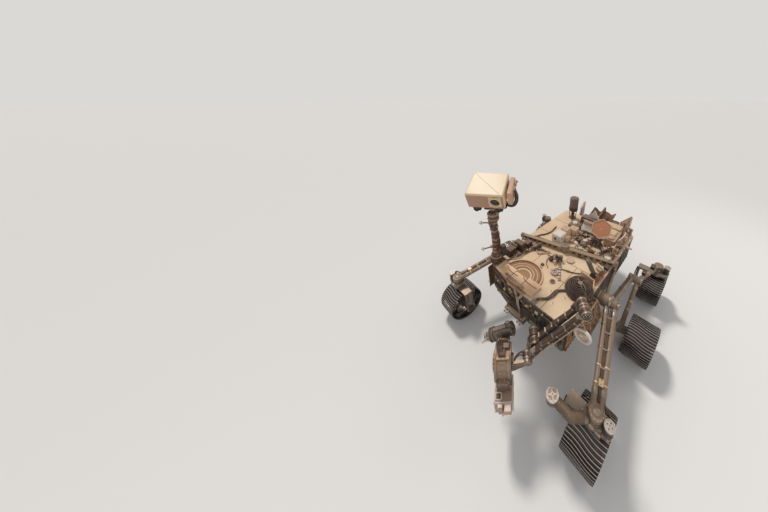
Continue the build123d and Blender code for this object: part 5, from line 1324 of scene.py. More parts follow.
for z, reach, drop in ((1.7, 0.15, 0), (1.33, 0.165, -0.04)):
    way = at(0.67, -0.743, 0)
    root, tip = mast_at + way * 0.044 + (0, 0, z), mast_at + way * reach + (0, 0, z + drop)
    mast_parts += painted(0, rod(root, tip, 0.0085, 14, 0.002))
    mast_parts += painted(1, block((0.03, 0.034, 0.04), root + way * 0.012, way))
    mast_parts += painted(5,
        turned([(0.001, -0.016), (0.01, -0.014), (0.0165, -0.004), (0.0165, 0.014), (0.0195, 0.018),
            (0.0195, 0.026), (0.012, 0.034), (0.001, 0.036)], tip, way, 24))
    for turn in np.radians(np.arange(0, 360, 60)):
        side = at(-way[1], way[0], 0) * cos(turn) + np.array(up) * sin(turn)
        mast_parts += painted(3,
            rod(tip + way * 0.004 + side * 0.016, tip + way * 0.004 + side * 0.0245, 0.0042, 8, 0.001))
low_can = mast_at + at(-0.085, 0.045, 1.245)
mast_parts += painted(3,
    turned([(0.034, -0.075), (0.04, -0.07), (0.04, -0.01), (0.036, -0.004), (0.036, 0.04), (0.04, 0.044),
        (0.04, 0.078), (0.03, 0.088), (0.001, 0.088)], low_can, up, 32))
mast_parts += painted(0,
    band(low_can + (0, 0, 0.018), up, 0.036, 0.018),
    block((0.085, 0.06, 0.03), mast_at + (-0.05, 0.025, 1.262), (0.9, -0.5, 0), edge=0.006))
mast_parts += painted(2, bolts(8, 0.03, low_can + (0, 0, 0.083), up, 0.0035, 0.006))
piece("mast_trim", mast_parts, [mast_brown, mast_band, cap_pale, cable_black, lead_brown, tip_white])

# Turntable and elevation drive: a turned aluminium drum on the mast's top, with a raised belt at each end
# and a motor can that stands off one side.
level = at(cos(radians(125)), sin(radians(125)), 0.0)
ahead = at(cos(radians(35)), sin(radians(35)), 0.0)
head_axis_z = 1.99
pivot_head = mast_at + (0, 0, head_axis_z)
yoke = painted(1,
    hoop([(0.0585, 1.846), (0.0605, 1.849), (0.0605, 1.854), (0.056, 1.8575), (0.048, 1.8575)], mast_at,
        up, 40),
    band(mast_at + (0, 0, 1.9), up, 0.033, 0.016))
yoke += painted(2, bolts(10, 0.05, mast_at + (0, 0, 1.857), up, 0.0035))
yoke += painted(0,
    collar(0.0485, 0.0505, -0.06, -0.032, pivot_head, level, 36),
    collar(0.0485, 0.0505, 0.032, 0.06, pivot_head, level, 36),
    block((0.06, 0.055, 0.045), pivot_head - ahead * 0.006 + (0, 0, -0.082), ahead, edge=0.006))
yoke += painted(3,
    turned([(0.03, 0.024), (0.03, 0.046), (0.034, 0.05), (0.034, 0.098), (0.026, 0.106), (0.001, 0.106)],
        pivot_head - ahead * 0.022 + (0, 0, -0.085), -level))
for a, r in ((-0.03, 0.007), (-0.012, 0.006), (0.01, 0.007)):
    path = [mast_at + level * (a - 0.02) - ahead * 0.036 + (0, 0, 1.868),
        mast_at + level * a - ahead * 0.058 + (0, 0, 1.905),
        mast_at + level * (a - 0.01) - ahead * 0.052 + (0, 0, 1.955)]
    yoke += painted(3, tube(path, r))
piece("yoke_trim", yoke, [mast_brown, mast_band, cap_pale, cable_black], "mast_turn")

# Head: ivory painted box with a diagonal seam on its roof, a hooded dark window, twin cameras hung below,
# and on its port side a tan slab with a dark curved cable housing. Darker tan plates over its front face
# round the window are a painted shade on that ivory face.
head_ivory = dusty("head_ivory_paint", (0.78, 0.6, 0.37), 0.42, dust=0.12, grain=8, bump=0.05,
    mottle=0.05)
# Darker tan for the plate under the head and for the plates that paint the shade on its front face.
head_underside_and_front_shade = dusty("head_underside_tan_and_front_painted_shade", (0.4, 0.24, 0.15), 0.5, dust=0.25)
slab_tan = dusty("slab_tan", (0.6, 0.36, 0.22), 0.5, dust=0.3, worn=(0.8, 0.62, 0.45))
window_dark = dusty("window_dark", (0.03, 0.018, 0.014), 0.12, dust=0.08)
pitch_down = radians(20)
head_x = ahead * cos(pitch_down) - at(0, 0, sin(pitch_down))
head_z = ahead * sin(pitch_down) + at(0, 0, cos(pitch_down))


def head_place(x, y, z):
    """A place in the head's own frame: ahead, to port and up from its elevation axis."""
    return pivot_head + head_x * x + level * y + head_z * z


def head_block(size, x, y, z, edge=0.004, across=None):
    """A block square to the head."""
    return block(size, head_place(x, y, z), head_x if across is None else across, head_z, edge=edge)


finish_nodes(head_ivory, "mast_head")
finish_nodes(slab_tan, "head_side_panel")
finish_nodes(window_dark, "camera_bar")
roof = 0.2862
head = painted(1,
    strap([head_place(-0.165, -0.185, roof), head_place(0.15, 0.15, roof)], 0.0045, 0.0016, head_z, 2),
    strap([head_place(0.15, 0.15, roof), head_place(0.164, 0.15, roof)], 0.0045, 0.0016, head_z, 2))
head += painted(0,
    hoop([(0.066, -0.002), (0.0665, 0.01), (0.063, 0.0135), (0.055, 0.0135), (0.0515, 0.01), (0.0515, 0)],
        head_place(0.18, 0.105, 0.188), head_x, 48))
head += painted(2,
    hoop([(0.0515, -0.011), (0.049, -0.0095), (0.042, -0.0085), (0.022, -0.0065), (0.001, -0.006)],
        head_place(0.18, 0.105, 0.188), head_x, 48))
head += painted(3, bolts(12, 0.0592, head_place(0.1935, 0.105, 0.188), head_x, 0.003, 0.002))
for y in (-0.19, 0.19):
    head += painted(3,
        studs([head_place(x, y, roof) for x in np.arange(-0.155, 0.16, 0.062)], head_z, 0.0038, 0.002))
head += painted(3,
    studs([head_place(x, y, roof) for x in (-0.168, 0.168) for y in np.arange(-0.155, 0.16, 0.062)],
        head_z, 0.0038, 0.002))
for x in (-0.168, 0.168):
    for z in (0.115, 0.262):
        head += painted(3, studs([head_place(x, -0.2002, z)], -level, 0.0038, 0.002))
head += painted(4, head_block((0.3, 0.38, 0.01), -0.01, 0, 0.087, 0.003))
# Plates over the front face round the window, in the darker tan: painted shade on the ivory front.
for width, y, low, high in (
    (0.234, -0.078, 0.096, 0.268), (0.024, 0.183, 0.096, 0.268), (0.132, 0.105, 0.096, 0.12),
    (0.132, 0.105, 0.256, 0.268)
):
    head += painted(4, head_block((0.003, width, high - low), 0.1812, y, (low + high) / 2, 0.001))
head += painted(0,
    head_block((0.24, 0.004, 0.12), -0.02, -0.2005, 0.19, 0.0015),
    head_block((0.005, 0.3, 0.13), -0.1805, 0, 0.19, 0.0015))
head += painted(3,
    studs([head_place(x, -0.203, z) for x in (-0.13, -0.02, 0.09) for z in (0.14, 0.24)], -level, 0.0035,
        0.003),
    studs([head_place(-0.183, y, z) for y in (-0.135, 0, 0.135) for z in (0.135, 0.245)], -head_x, 0.0035,
        0.003))
for y in (-0.125, 0.12):
    head += painted(5,
        head_block((0.115, 0.082, 0.066), 0.105, y, 0.05, 0.006),
        head_block((0.05, 0.094, 0.03), 0.075, y, 0.068, 0.004))
    for z in (0.022, 0.038, 0.054, 0.07):
        head += painted(5, head_block((0.1, 0.086, 0.005), 0.098, y, z, 0.0015))
    lens = head_place(0.164, y, 0.048)
    head += painted(5,
        hoop([(0.027, -0.004), (0.027, 0.012), (0.0235, 0.015), (0.021, 0.015), (0.021, 0.004)], lens,
            head_x, 32))
    head += painted(2,
        hoop([(0.0215, 0.003), (0.018, 0.006), (0.01, 0.009), (0.001, 0.01)], lens, head_x))
for y in (-0.185, 0.185):
    lens = head_place(0.138, y, 0.07)
    head += painted(2,
        turned([(0.0205, -0.006), (0.0205, 0.002), (0.016, 0.004), (0.014, 0.001), (0.001, 0.002)], lens,
            head_x, 24))
piece("head_trim", head, [head_ivory, mast_band, window_dark, cap_pale, head_underside_and_front_shade, cable_black], "head")

slab = painted(0,
    head_block((0.252, 0.006, 0.15), -0.02, 0.2675, 0.172, 0.002),
    head_block((0.018, 0.01, 0.162), -0.132, 0.2665, 0.172, 0.002),
    head_block((0.018, 0.01, 0.162), 0.092, 0.2665, 0.172, 0.002),
    head_block((0.236, 0.01, 0.014), -0.02, 0.2665, 0.245, 0.002),
    head_block((0.236, 0.01, 0.014), -0.02, 0.2665, 0.099, 0.002),
    head_block((0.06, 0.022, 0.05), -0.1, 0.282, 0.215, 0.004))
slab += painted(1,
    studs([head_place(x, 0.272, z) for x in (-0.132, -0.02, 0.092) for z in (0.1, 0.172, 0.244)], level,
        0.0042))
slab += painted(2,
    turned([(0.01, 0), (0.01, 0.008), (0.006, 0.012), (0.001, 0.012)], head_place(-0.1, 0.293, 0.235),
        level, 16))
hose = [head_place(-0.02, 0.285, 0.18), head_place(0.015, 0.3, 0.13), head_place(0.045, 0.296, 0.075),
    head_place(0.06, 0.262, 0.032), head_place(0.05, 0.205, 0.02), head_place(0.02, 0.14, 0.03)]
path = bent(hose, 64)
ring = np.linspace(0, tau, 14, endpoint=False)
t = np.linspace(0, 1, 64)
fat = 0.021 * (1 + 0.12 * np.abs(np.sin(t * pi * 21))) * np.clip(0.6 + 2.2 * t, 0, 1)
flat = swept(path, np.stack([np.cos(ring), np.sin(ring)], -1))[0].reshape(64, 14, 3)
centre = flat.mean(axis=1, keepdims=True)
slab += painted(2, grid(centre + (flat - centre) * fat[:, None, None]))
for offset, r in ((0.012, 0.006), (-0.01, 0.005), (0.024, 0.0045)):
    slab += painted(3,
        tube([np.array(place) + head_x * offset + (0, 0, 0.004 + abs(offset)) for place in hose], r, 40))
piece("head_slab_trim", slab, [slab_tan, cap_pale, cable_black, lead_brown], "head")

# High-gain antenna: hexagonal dish with a perforated terracotta face in a pale folded rim, ribs and a drive
# can behind it, on a turning fork over a bolted post.
finish_nodes(hub_grey, "hga_post", "hga_fork")
rim_pale = dusty("dish_rim_pale", (0.62, 0.44, 0.32), 0.45, dust=0.2)
dish_face, tree, shader = new_material("dish_face_terracotta", (0.5, 0.2, 0.095), 0.7)
pores = node(tree, "TexVoronoi", node(tree, "TexCoord").outputs["Object"], Scale=95, Randomness=0.1)
pore_edge = node(tree, "MapRange", pores.outputs["Distance"], From_Min=0.18, From_Max=0.34)
pore_mix = node(tree, "Mix", Factor=pore_edge.outputs["Result"], A=(0.3, 0.105, 0.05, 1),
    B=(0.56, 0.235, 0.115, 1))
tree.links.new(pore_mix.outputs["Result"], shader.inputs["Base Color"])
finish_nodes(dish_face, "hga_dish")
hga_x, hga_y = -0.5, 0.31
hga_at = at(hga_x, hga_y, 1.4)
azimuth, lean = radians(15), radians(50)
dish_x = at(cos(azimuth) * cos(lean), sin(azimuth) * cos(lean), -sin(lean))
dish_z = at(cos(azimuth) * sin(lean), sin(azimuth) * sin(lean), cos(lean))


def hexagon(profile):
    """Rows of (radius, height) pairs with six corners each, set on the dish's own frame."""
    turn = np.linspace(0, tau, 6, endpoint=False)
    rows = [np.column_stack([r * np.cos(turn), r * np.sin(turn), np.full(6, h)]) for r, h in profile]
    points, faces = grid(np.array(rows), caps=False)
    return placed(points, hga_at, dish_x, dish_z), faces


dish = painted(0,
    hexagon([(0.1465, 0.034), (0.1465, 0.06), (0.1445, 0.0645), (0.134, 0.0645), (0.132, 0.0625),
        (0.132, 0.057)]),
    hexagon([(0.1465, 0.034), (0.139, 0.0335), (0.118, 0.034), (0.118, 0.03), (0.112, 0.03),
        (0.112, 0.0355)]),
    turned([(0.01, 0.057), (0.01, 0.0605), (0.007, 0.062), (0.001, 0.062)], hga_at, dish_z, 20))
dish += painted(1, hexagon([(0.1318, 0.0572), (0.125, 0.0578), (0.001, 0.0578)]))
dish += painted(2,
    studs(placed([(0.139 * cos(t), 0.139 * sin(t), 0.0642) for t in np.radians(np.arange(0, 360, 60))],
        hga_at, dish_x, dish_z), dish_z, 0.0035, 0.003),
    studs(placed([(0.1205 * cos(t), 0.1205 * sin(t), 0.0642) for t in np.radians(np.arange(30, 390, 60))],
        hga_at, dish_x, dish_z), dish_z, 0.0035, 0.003))
for turn in np.radians(np.arange(0, 360, 60)):
    inner, outer = placed([(0.034 * cos(turn), 0.034 * sin(turn), 0.0325),
        (0.118 * cos(turn), 0.118 * sin(turn), 0.0325)], hga_at, dish_x, dish_z)
    dish += painted(3, strap([inner, outer], 0.006, 0.006, dish_z, 2))
dish += painted(3,
    hoop([(0.048, 0.012), (0.048, 0.028), (0.04, 0.034), (0.034, 0.034)], hga_at, dish_z, 32))
piece("hga_dish_trim", dish, [rim_pale, dish_face, cap_pale, hub_grey], "hga_tilt")
fork_level = at(-sin(azimuth), cos(azimuth), 0)
fork_trim = painted(0,
    band((hga_x, hga_y, 1.262), up, 0.03, 0.014),
    turned([(0.024, 0.062), (0.024, 0.068), (0.016, 0.072), (0.001, 0.072)], hga_at, -fork_level, 24),
    block((0.04, 0.09, 0.02), hga_at + (0, 0, -0.068), (cos(azimuth), sin(azimuth), 0)))
fork_trim += painted(1,
    turned([(0.03, 0.062), (0.033, 0.066), (0.033, 0.104), (0.026, 0.112), (0.001, 0.112)], hga_at,
        fork_level),
    tube([hga_at + fork_level * 0.085 + (0, 0, -0.028), hga_at + fork_level * 0.1 + (-0.02, 0, -0.075),
        hga_at + fork_level * 0.05 + (-0.04, 0, -0.11), hga_at + (-0.03, 0, -0.135)], 0.0065, 26))
fork_trim += painted(2, bolts(6, 0.022, hga_at + fork_level * 0.11, fork_level, 0.003))
piece("hga_fork_trim", fork_trim, [hub_grey, cable_black, cap_pale], "hga_turn")
post_trim = painted(0,
    collar(0.0345, 0.038, 1.14, 1.156, (hga_x, hga_y, 0), up, 32),
    hoop([(0.0345, 1.205), (0.042, 1.21), (0.042, 1.222), (0.038, 1.2265)], (hga_x, hga_y, 0), up, 32))
post_trim += painted(1,
    studs([(hga_x + a, hga_y + b, 1.124) for a in (-0.047, 0.047) for b in (-0.047, 0, 0.047)], up, 0.005,
        0.005),
    bolts(8, 0.0385, (hga_x, hga_y, 1.1245), up, 0.0035))
post_trim += painted(2,
    tube([(-0.455, 0.34, 1.2), (-0.445, 0.36, 1.16), (-0.43, 0.38, 1.118), (-0.4, 0.42, 1.112)], 0.008,
        24),
    tube([(-0.46, 0.28, 1.19), (-0.44, 0.25, 1.15), (-0.42, 0.22, 1.114)], 0.006))
for turn in np.radians(np.arange(45, 405, 90)):
    post_trim += painted(0,
        strap([(hga_x + 0.036 * cos(turn), hga_y + 0.036 * sin(turn), 1.165),
            (hga_x + 0.058 * cos(turn), hga_y + 0.058 * sin(turn), 1.125)], 0.006, 0.02,
            (-sin(turn), cos(turn), 0.0), 2))
piece("hga_post_trim", post_trim, [hub_grey, cap_pale, cable_black])

# Low-gain antenna: grey composite can with a top ring of the same grey, a dark lower collar, and four struts
# to a bolted foot.
can_grey = dusty("antenna_can_grey", (0.165, 0.118, 0.098), dust=0.3)
can_dark = dusty("antenna_collar_dark", (0.055, 0.03, 0.024), 0.5, dust=0.2)
finish_nodes(can_grey, "uhf_antenna")
can_at = at(-0.97, -0.4, 0)
can = painted(1,
    collar(0.0765, 0.0785, 1.262, 1.334, can_at, up, 48),
    collar(0.0265, 0.032, 1.176, 1.196, can_at, up),
    hoop([(0.059, 1.1), (0.066, 1.101), (0.066, 1.108), (0.059, 1.1105)], can_at, up, 40))
can += painted(0,
    hoop([(0.0765, 1.478), (0.0785, 1.481), (0.0785, 1.494), (0.072, 1.5008), (0.062, 1.5108),
        (0.058, 1.5108)], can_at, up, 48),
    turned([(0.056, 1.5098), (0.056, 1.5122), (0.001, 1.5122)], can_at, up, 40))
can += painted(3,
    bolts(10, 0.067, can_at + (0, 0, 1.5055), up, 0.0032),
    bolts(8, 0.05, can_at + (0, 0, 1.1165), up, 0.005, 0.005),
    bolts(12, 0.0785, can_at + (0, 0, 1.298), up, 0.0035, 0.002))
for turn in np.radians(np.arange(35, 395, 90)):
    way = at(cos(turn), sin(turn), 0)
    can += painted(1,
        rod(can_at + (0, 0, 1.116) + way * 0.046, can_at + (0, 0, 1.262) + way * 0.068, 0.0055, 12,
            0.001),
        block((0.02, 0.018, 0.016), can_at + (0, 0, 1.122) + way * 0.046, way, edge=0.003))
can += painted(4,
    tube([(-0.94, -0.4, 1.235), (-0.915, -0.39, 1.17), (-0.895, -0.37, 1.112), (-0.84, -0.33, 1.11)],
        0.007, 30))
piece("uhf_trim", can, [can_grey, can_dark, rim_pale, cap_pale, cable_black])

# Deck boxes: electronics, wrapped lumps and brackets. Those by the mast are dark, those behind the
# differential are white plates and cream blankets; the boxes have screwed flanges and lids.
box_dark = (0.06, 0.036, 0.026)
box_cream = (0.66, 0.47, 0.32)
box_finish = dusty("deck_box_paint", box_cream, dust=0.35, grain=12)
tree = box_finish.node_tree
shader = tree.nodes["Principled BSDF"]
box_x = node(tree, "SeparateXYZ", node(tree, "TexCoord").outputs["Object"]).outputs["X"]
ahead_of_bar = node(tree, "MapRange", box_x, From_Min=0.08, From_Max=0.1)
box_colour = shader.inputs["Base Color"].links[0].from_socket
zone = node(tree, "Mix", Factor=ahead_of_bar.outputs["Result"], A=box_colour, B=(*box_dark, 1))
tree.links.new(zone.outputs["Result"], shader.inputs["Base Color"])
finish_nodes(box_finish, "deck_boxes")
box_black = dusty("box_dark_brown", box_dark, 0.45, 0.2, dust=0.3, worn=(0.25, 0.17, 0.12))
plate_white = dusty("plate_white", (0.84, 0.76, 0.68), 0.45, dust=0.15, grain=10, mottle=0.05)
blanket_cream = dusty("blanket_cream", (0.74, 0.53, 0.33), 0.6, dust=0.25, grain=14, bump=0.3)
bracket_tan = dusty("bracket_tan", (0.58, 0.4, 0.27), 0.45, 0.2, dust=0.3, worn=(0.8, 0.68, 0.54))


def soft(value, power):
    """The value's size raised to a power, its sign kept."""
    return np.sign(value) * np.abs(value) ** power


def soft_lump(centre, size, seed, rise=0.01):
    """A wrapped block: a superellipse in plan and section, with creases as summed ridges 1 - |sine|."""
    chance = np.random.default_rng(seed)
    u = np.linspace(0, tau, 72, endpoint=False)
    v = np.linspace(0.02, pi / 2 - 0.03, 26)
    cu, su, cv, sv = np.cos(u), np.sin(u), np.cos(v)[:, None], np.sin(v)[:, None]
    x, y, z = soft(cv, 0.35) * soft(cu, 0.38), soft(cv, 0.35) * soft(su, 0.38), soft(sv, 0.42) + 0 * cu
    crease = 0
    for _ in range(6):
        a, b, c, d = chance.uniform(-7, 7, 4)
        crease = crease + chance.uniform(0.3, 1.0) * (1 - np.abs(np.sin(a * x + b * y + c * z + d)))
    swell = 1 + rise * (crease - 2.0) / max(size)
    points = np.stack([x * size[0] / 2 * swell, y * size[1] / 2 * swell, z * size[2] * swell], -1)
    return grid(points + np.array(centre), caps=True)


def fitting(x, y, length, width, height, tone, screw=5, lid=True):
    """An electronics box on the deck: flange, cover, and a lid plate if it has one, with their screws."""
    base = at(x, y, deck_z)
    parts = painted(tone,
        block((length + 0.026, width + 0.026, 0.006), base + (0, 0, 0.0035), edge=0.0015, corner=0.006),
        block((length + 0.003, width + 0.003, height - 0.004), base + (0, 0, height / 2 + 0.003),
            edge=0.005, corner=0.008))
    rim = [(a * (length / 2 + 0.008), b * (width / 2 + 0.008), 0.0062) for a in (-1, 1)
        for b in (-1, -0.35, 0.35, 1)]
    parts += painted(screw, studs([base + np.array(place) for place in rim], up))
    if lid:
        parts += painted(tone,
            block((length * 0.86, width * 0.86, 0.005), base + (0, 0, height + 0.003), edge=0.0015,
                corner=0.008))
        parts += painted(screw,
            studs([base + (a * length * 0.38, b * width * 0.38, height + 0.005) for a in (-1, 0, 1)
                for b in (-1, 0, 1) if a or b], up, 0.0038, 0.003))
    return parts


clutter = []
for sizes in (
    (0.48, -0.545, 0.13, 0.11, 0.096), (0.32, -0.52, 0.09, 0.15, 0.12), (0.19, -0.48, 0.11, 0.09, 0.07),
    (0.14, -0.33, 0.13, 0.03, 0.06)
):
    clutter += fitting(*sizes, 0)
for x, y, z, way in (
    (0.48, -0.485, 1.15, (0, 1, 0)), (0.32, -0.44, 1.16, (0, 1, 0)), (0.19, -0.43, 1.13, (0, 1, 0))
):
    for a in (-0.025, 0.025):
        clutter += painted(0,
            turned([(0.01, -0.004), (0.012, 0), (0.012, 0.012), (0.009, 0.016), (0.001, 0.016)],
                (x + a, y, z), way, 18))
        clutter += painted(4,
            tube([(x + a, y + 0.014, z), (x + a - 0.01, y + 0.04, z - 0.01),
                (x + a - 0.03, y + 0.055, 1.112), (x + a - 0.1, y + 0.062, 1.11)], 0.005, 24))
for z in (1.125, 1.145, 1.165, 1.185, 1.205):
    clutter += painted(0, block((0.096, 0.156, 0.005), (0.32, -0.52, z), edge=0.0015))
clutter += painted(0,
    rod((0.4, -0.6, 1.2), (0.4, -0.49, 1.2), 0.022, 24, 0.003),
    block((0.05, 0.03, 0.09), (0.4, -0.545, 1.145)))
clutter += painted(6,
    strap([(0.56, -0.44, 1.112), (0.45, -0.38, 1.116), (0.3, -0.4, 1.113), (0.12, -0.38, 1.113)], 0.016,
        0.006, samples=40))
for start, stop in (
    ((0.02, -0.6), (0.24, -0.24)), ((0.24, -0.24), (0.1, -0.13)), ((0.04, -0.52), (0.16, -0.3))
):
    start, stop = at(*start, 1.118), at(*stop, 1.118)
    clutter += painted(7, strap([start, stop], 0.018, 0.022, samples=2))
    clutter += painted(5,
        studs([between(start, stop, t) + (0, 0, 0.011) for t in (0.08, 0.36, 0.64, 0.92)], up))
clutter += fitting(0.18, 0.01, 0.06, 0.046, 0.06, 7)
clutter += fitting(-0.23, -0.2, 0.19, 0.15, 0.14, 2)
for x, y, z, r in ((-0.185, -0.125, 1.195, 0.014), (-0.1345, -0.215, 1.18, 0.016)):
    way = (0, 1, 0) if y > -0.2 else (1, 0, 0)
    clutter += painted(0,
        turned([(r + 0.005, -0.004), (r + 0.005, 0.002), (r, 0.005), (r, 0.001), (0.001, 0.001)],
            (x, y, z), way))
clutter += painted(5,
    studs([(-0.133, y, z) for y in (-0.26, -0.16) for z in (1.125, 1.215)], (1, 0, 0)),
    studs([(x, -0.1235, z) for x in (-0.31, -0.16) for z in (1.125, 1.215)], (0, 1, 0)))
clutter += painted(3,
    soft_lump((-0.37, -0.18, 1.104), (0.14, 0.145, 0.172), 3),
    soft_lump((-0.52, -0.12, 1.104), (0.145, 0.155, 0.122), 5),
    soft_lump((-0.29, -0.1, 1.104), (0.1, 0.09, 0.1), 8, 0.008))
for a, b, z in (((-0.43, -0.245), (-0.31, -0.115), 1.262), ((-0.59, -0.19), (-0.45, -0.05), 1.212)):
    clutter += painted(6,
        strap([(a[0], a[1], 1.115), (a[0] + 0.01, a[1] + 0.01, z - 0.03),
            ((a[0] + b[0]) / 2, (a[1] + b[1]) / 2, z + 0.012), (b[0] - 0.01, b[1] - 0.01, z - 0.03),
            (b[0], b[1], 1.115)], 0.012, 0.003, (0.7, -0.7, 0.2), 40))
clutter += fitting(-0.68, -0.19, 0.15, 0.17, 0.09, 1)
clutter += painted(2,
    turned([(0.04, 0), (0.042, 0.006), (0.042, 0.03), (0.034, 0.04), (0.012, 0.044), (0.001, 0.044)],
        (-0.68, -0.19, 1.192), up, 32))
leaning = at(0.82, 0, 0.57)
clutter += painted(2,
    block((0.012, 0.275, 0.19), (-0.735, 0.06, 1.197), leaning, (-0.57, 0, 0.82), edge=0.003))
clutter += painted(7, block((0.3, 0.012, 0.012), (-0.742, 0.06, 1.292), (0, 1, 0), edge=0.003))
for rise in (-0.082, 0.082):
    places = [at(-0.735 - 0.57 * rise, y, 1.197 + 0.82 * rise) + leaning * 0.006
        for y in (-0.06, 0, 0.06, 0.12, 0.18)]
    clutter += painted(5, studs(places, leaning, 0.0038, 0.003))
clutter += fitting(-0.76, 0.42, 0.3, 0.15, 0.11, 7, lid=False)
clutter += painted(3, soft_lump((-0.8, 0.4, 1.205), (0.16, 0.11, 0.045), 12, 0.006))
clutter += painted(7,
    turned([(0.044, 0), (0.048, 0.004), (0.048, 0.014), (0.034, 0.026), (0.012, 0.03), (0.001, 0.03)],
        (-0.67, 0.42, 1.213), up, 36))
clutter += fitting(-1.0, 0.33, 0.14, 0.26, 0.13, 3, lid=False)
clutter += fitting(-1.0, -0.06, 0.16, 0.3, 0.11, 1)
triangle = np.array([[(x, y, z) for y, z in ((-0.1, 0), (0.1, 0), (0.006, 0.15), (-0.006, 0.15))]
    for x in (-0.008, 0.008)])
clutter += painted(2, grid(triangle + at(-1.02, -0.02, 1.211)))
clutter += painted(1,
    block((0.3, 0.03, 0.03), (-0.915, -0.02, 1.225), (0, 1, 0), edge=0.005),
    tube([(-0.9, -0.2, 1.118), (-0.88, -0.08, 1.13), (-0.88, 0.1, 1.135), (-0.9, 0.22, 1.118)], 0.011,
        30))
for y in (-0.05, 0.03):
    clutter += painted(0,
        tube([(-0.62, y - 0.05, 1.112), (-0.6, y, 1.15), (-0.62, y + 0.06, 1.175), (-0.66, y + 0.1, 1.15),
            (-0.69, y + 0.12, 1.112)], 0.009, 34))
for k in range(9):
    x = -0.6 + 0.026 * k
    clutter += painted((4, 8, 0)[k % 3],
        tube([(x, 0.14, 1.11), (x + 0.012, 0.17, 1.15 + 0.006 * (k % 3)),
            (x - 0.004, 0.215, 1.165 + 0.008 * (k % 2)), (x + 0.006, 0.25, 1.112)],
            0.0055 + 0.002 * (k % 2)))
chance = np.random.default_rng(29)
for k in range(54):
    x, y, turn = chance.uniform(-0.66, -0.2), chance.uniform(-0.05, 0.54), chance.uniform(0, pi)
    size = chance.uniform((0.026, 0.02, 0.02), (0.085, 0.05, 0.075))
    reach = chance.uniform(0.05, 0.13)
    if np.hypot(x + 0.5, y - 0.31) < 0.1 or x > -0.175 - 0.25 * y:
        continue
    way = at(cos(turn), sin(turn), 0.0)
    top = at(x, y, deck_z + size[2])
    tone = (2, 3, 1, 7, 0, 2, 3)[k % 7]
    clutter += painted(tone, block(size, (x, y, deck_z + size[2] / 2), way))
    clutter += painted(5 if tone != 2 else 0,
        studs([top + way * size[0] * a for a in (-0.32, 0.32)], up, 0.004, 0.003))
    if k % 2:
        clutter += painted((0, 4, 8)[k % 3],
            tube([top, top + way * reach * 0.3 + (0, 0, 0.028), top + way * reach * 0.8 + (0, 0, 0.012),
                (x + way[0] * reach, y + way[1] * reach, 1.104)], 0.0055))
clutter += painted(1, block((0.1, 0.08, 0.06), (-0.36, 0.14, 1.13), (1, 0.3, 0), edge=0.006))
clutter += painted(0, block((0.06, 0.1, 0.04), (-0.3, 0.3, 1.12), (1, 0.2, 0), edge=0.005))
piece("deck_clutter", clutter, [box_black, can_grey, plate_white, blanket_cream, lead_brown, cap_pale,
    strap_tan, bracket_tan, copper_wire])

# Brackets and fluid lines along the port rear edge: folded tan brackets with round holes, capped posts,
# clamped pipes and an umbilical stub over the side.
edge_parts = []


def pierced(x, y, z, size, hole, across, tone=0):
    """A folded bracket with a round hole: a square plate whose inner edge is the circle, and its foot."""
    turn = np.linspace(0, tau, 32, endpoint=False)
    square = 1 / np.maximum(np.abs(np.cos(turn)), np.abs(np.sin(turn)))
    rows = []
    for reach, depth in ((hole, -0.004), (hole, 0.004), (None, 0.004), (None, -0.004), (hole, -0.004)):
        r = np.full(32, reach) if reach else square * size / 2
        rows.append(np.column_stack([np.full(32, depth), r * np.cos(turn), r * np.sin(turn)]))
    points, faces = grid(np.array(rows), caps=False)
    faces = [face[::-1] for face in faces]
    return painted(tone, (placed(points, (x, y, z), across, up), faces),
        block((0.04, size, 0.006), (x + 0.016, y, z - size / 2), across, edge=0.0015))


for x, y, z, size, hole, across in (
    (-0.22, 0.585, 1.165, 0.06, 0.015, (1, 0.6, 0)), (-0.46, 0.565, 1.18, 0.08, 0.02, (1, 0.5, 0)),
    (-0.64, 0.555, 1.215, 0.07, 0.016, (1, 0.4, 0)), (-0.86, 0.56, 1.205, 0.08, 0.022, (1, 0.5, 0)),
    (-1.04, 0.545, 1.215, 0.09, 0.024, (1, 0.3, 0))
):
    edge_parts += pierced(x, y, z, size, hole, across)
    edge_parts += painted(0,
        block((0.03, size * 0.8, z - size / 2 - deck_z + 0.004), (x + 0.012, y, (deck_z + z - size / 2) / 2),
            across, edge=0.003))
    edge_parts += painted(1,
        studs([(x + 0.026, y + a, z - size / 2 + 0.003) for a in (-size * 0.3, size * 0.3)], up))
for k, (x, y, top, r) in enumerate((
    (-0.56, 0.6, 1.235, 0.012), (-0.74, 0.598, 1.285, 0.014), (-0.93, 0.596, 1.32, 0.013),
    (-1.02, 0.6, 1.27, 0.012), (-1.08, 0.47, 1.3, 0.013)
)):
    edge_parts += painted(0 if k % 2 else 2,
        turned([(r + 0.01, 1.101), (r + 0.01, 1.108), (r, 1.112), (r, top - 0.03),
            (r + 0.006, top - 0.026), (r + 0.006, top - 0.006), (r, top), (0.001, top)], (x, y, 0), up,
            24))
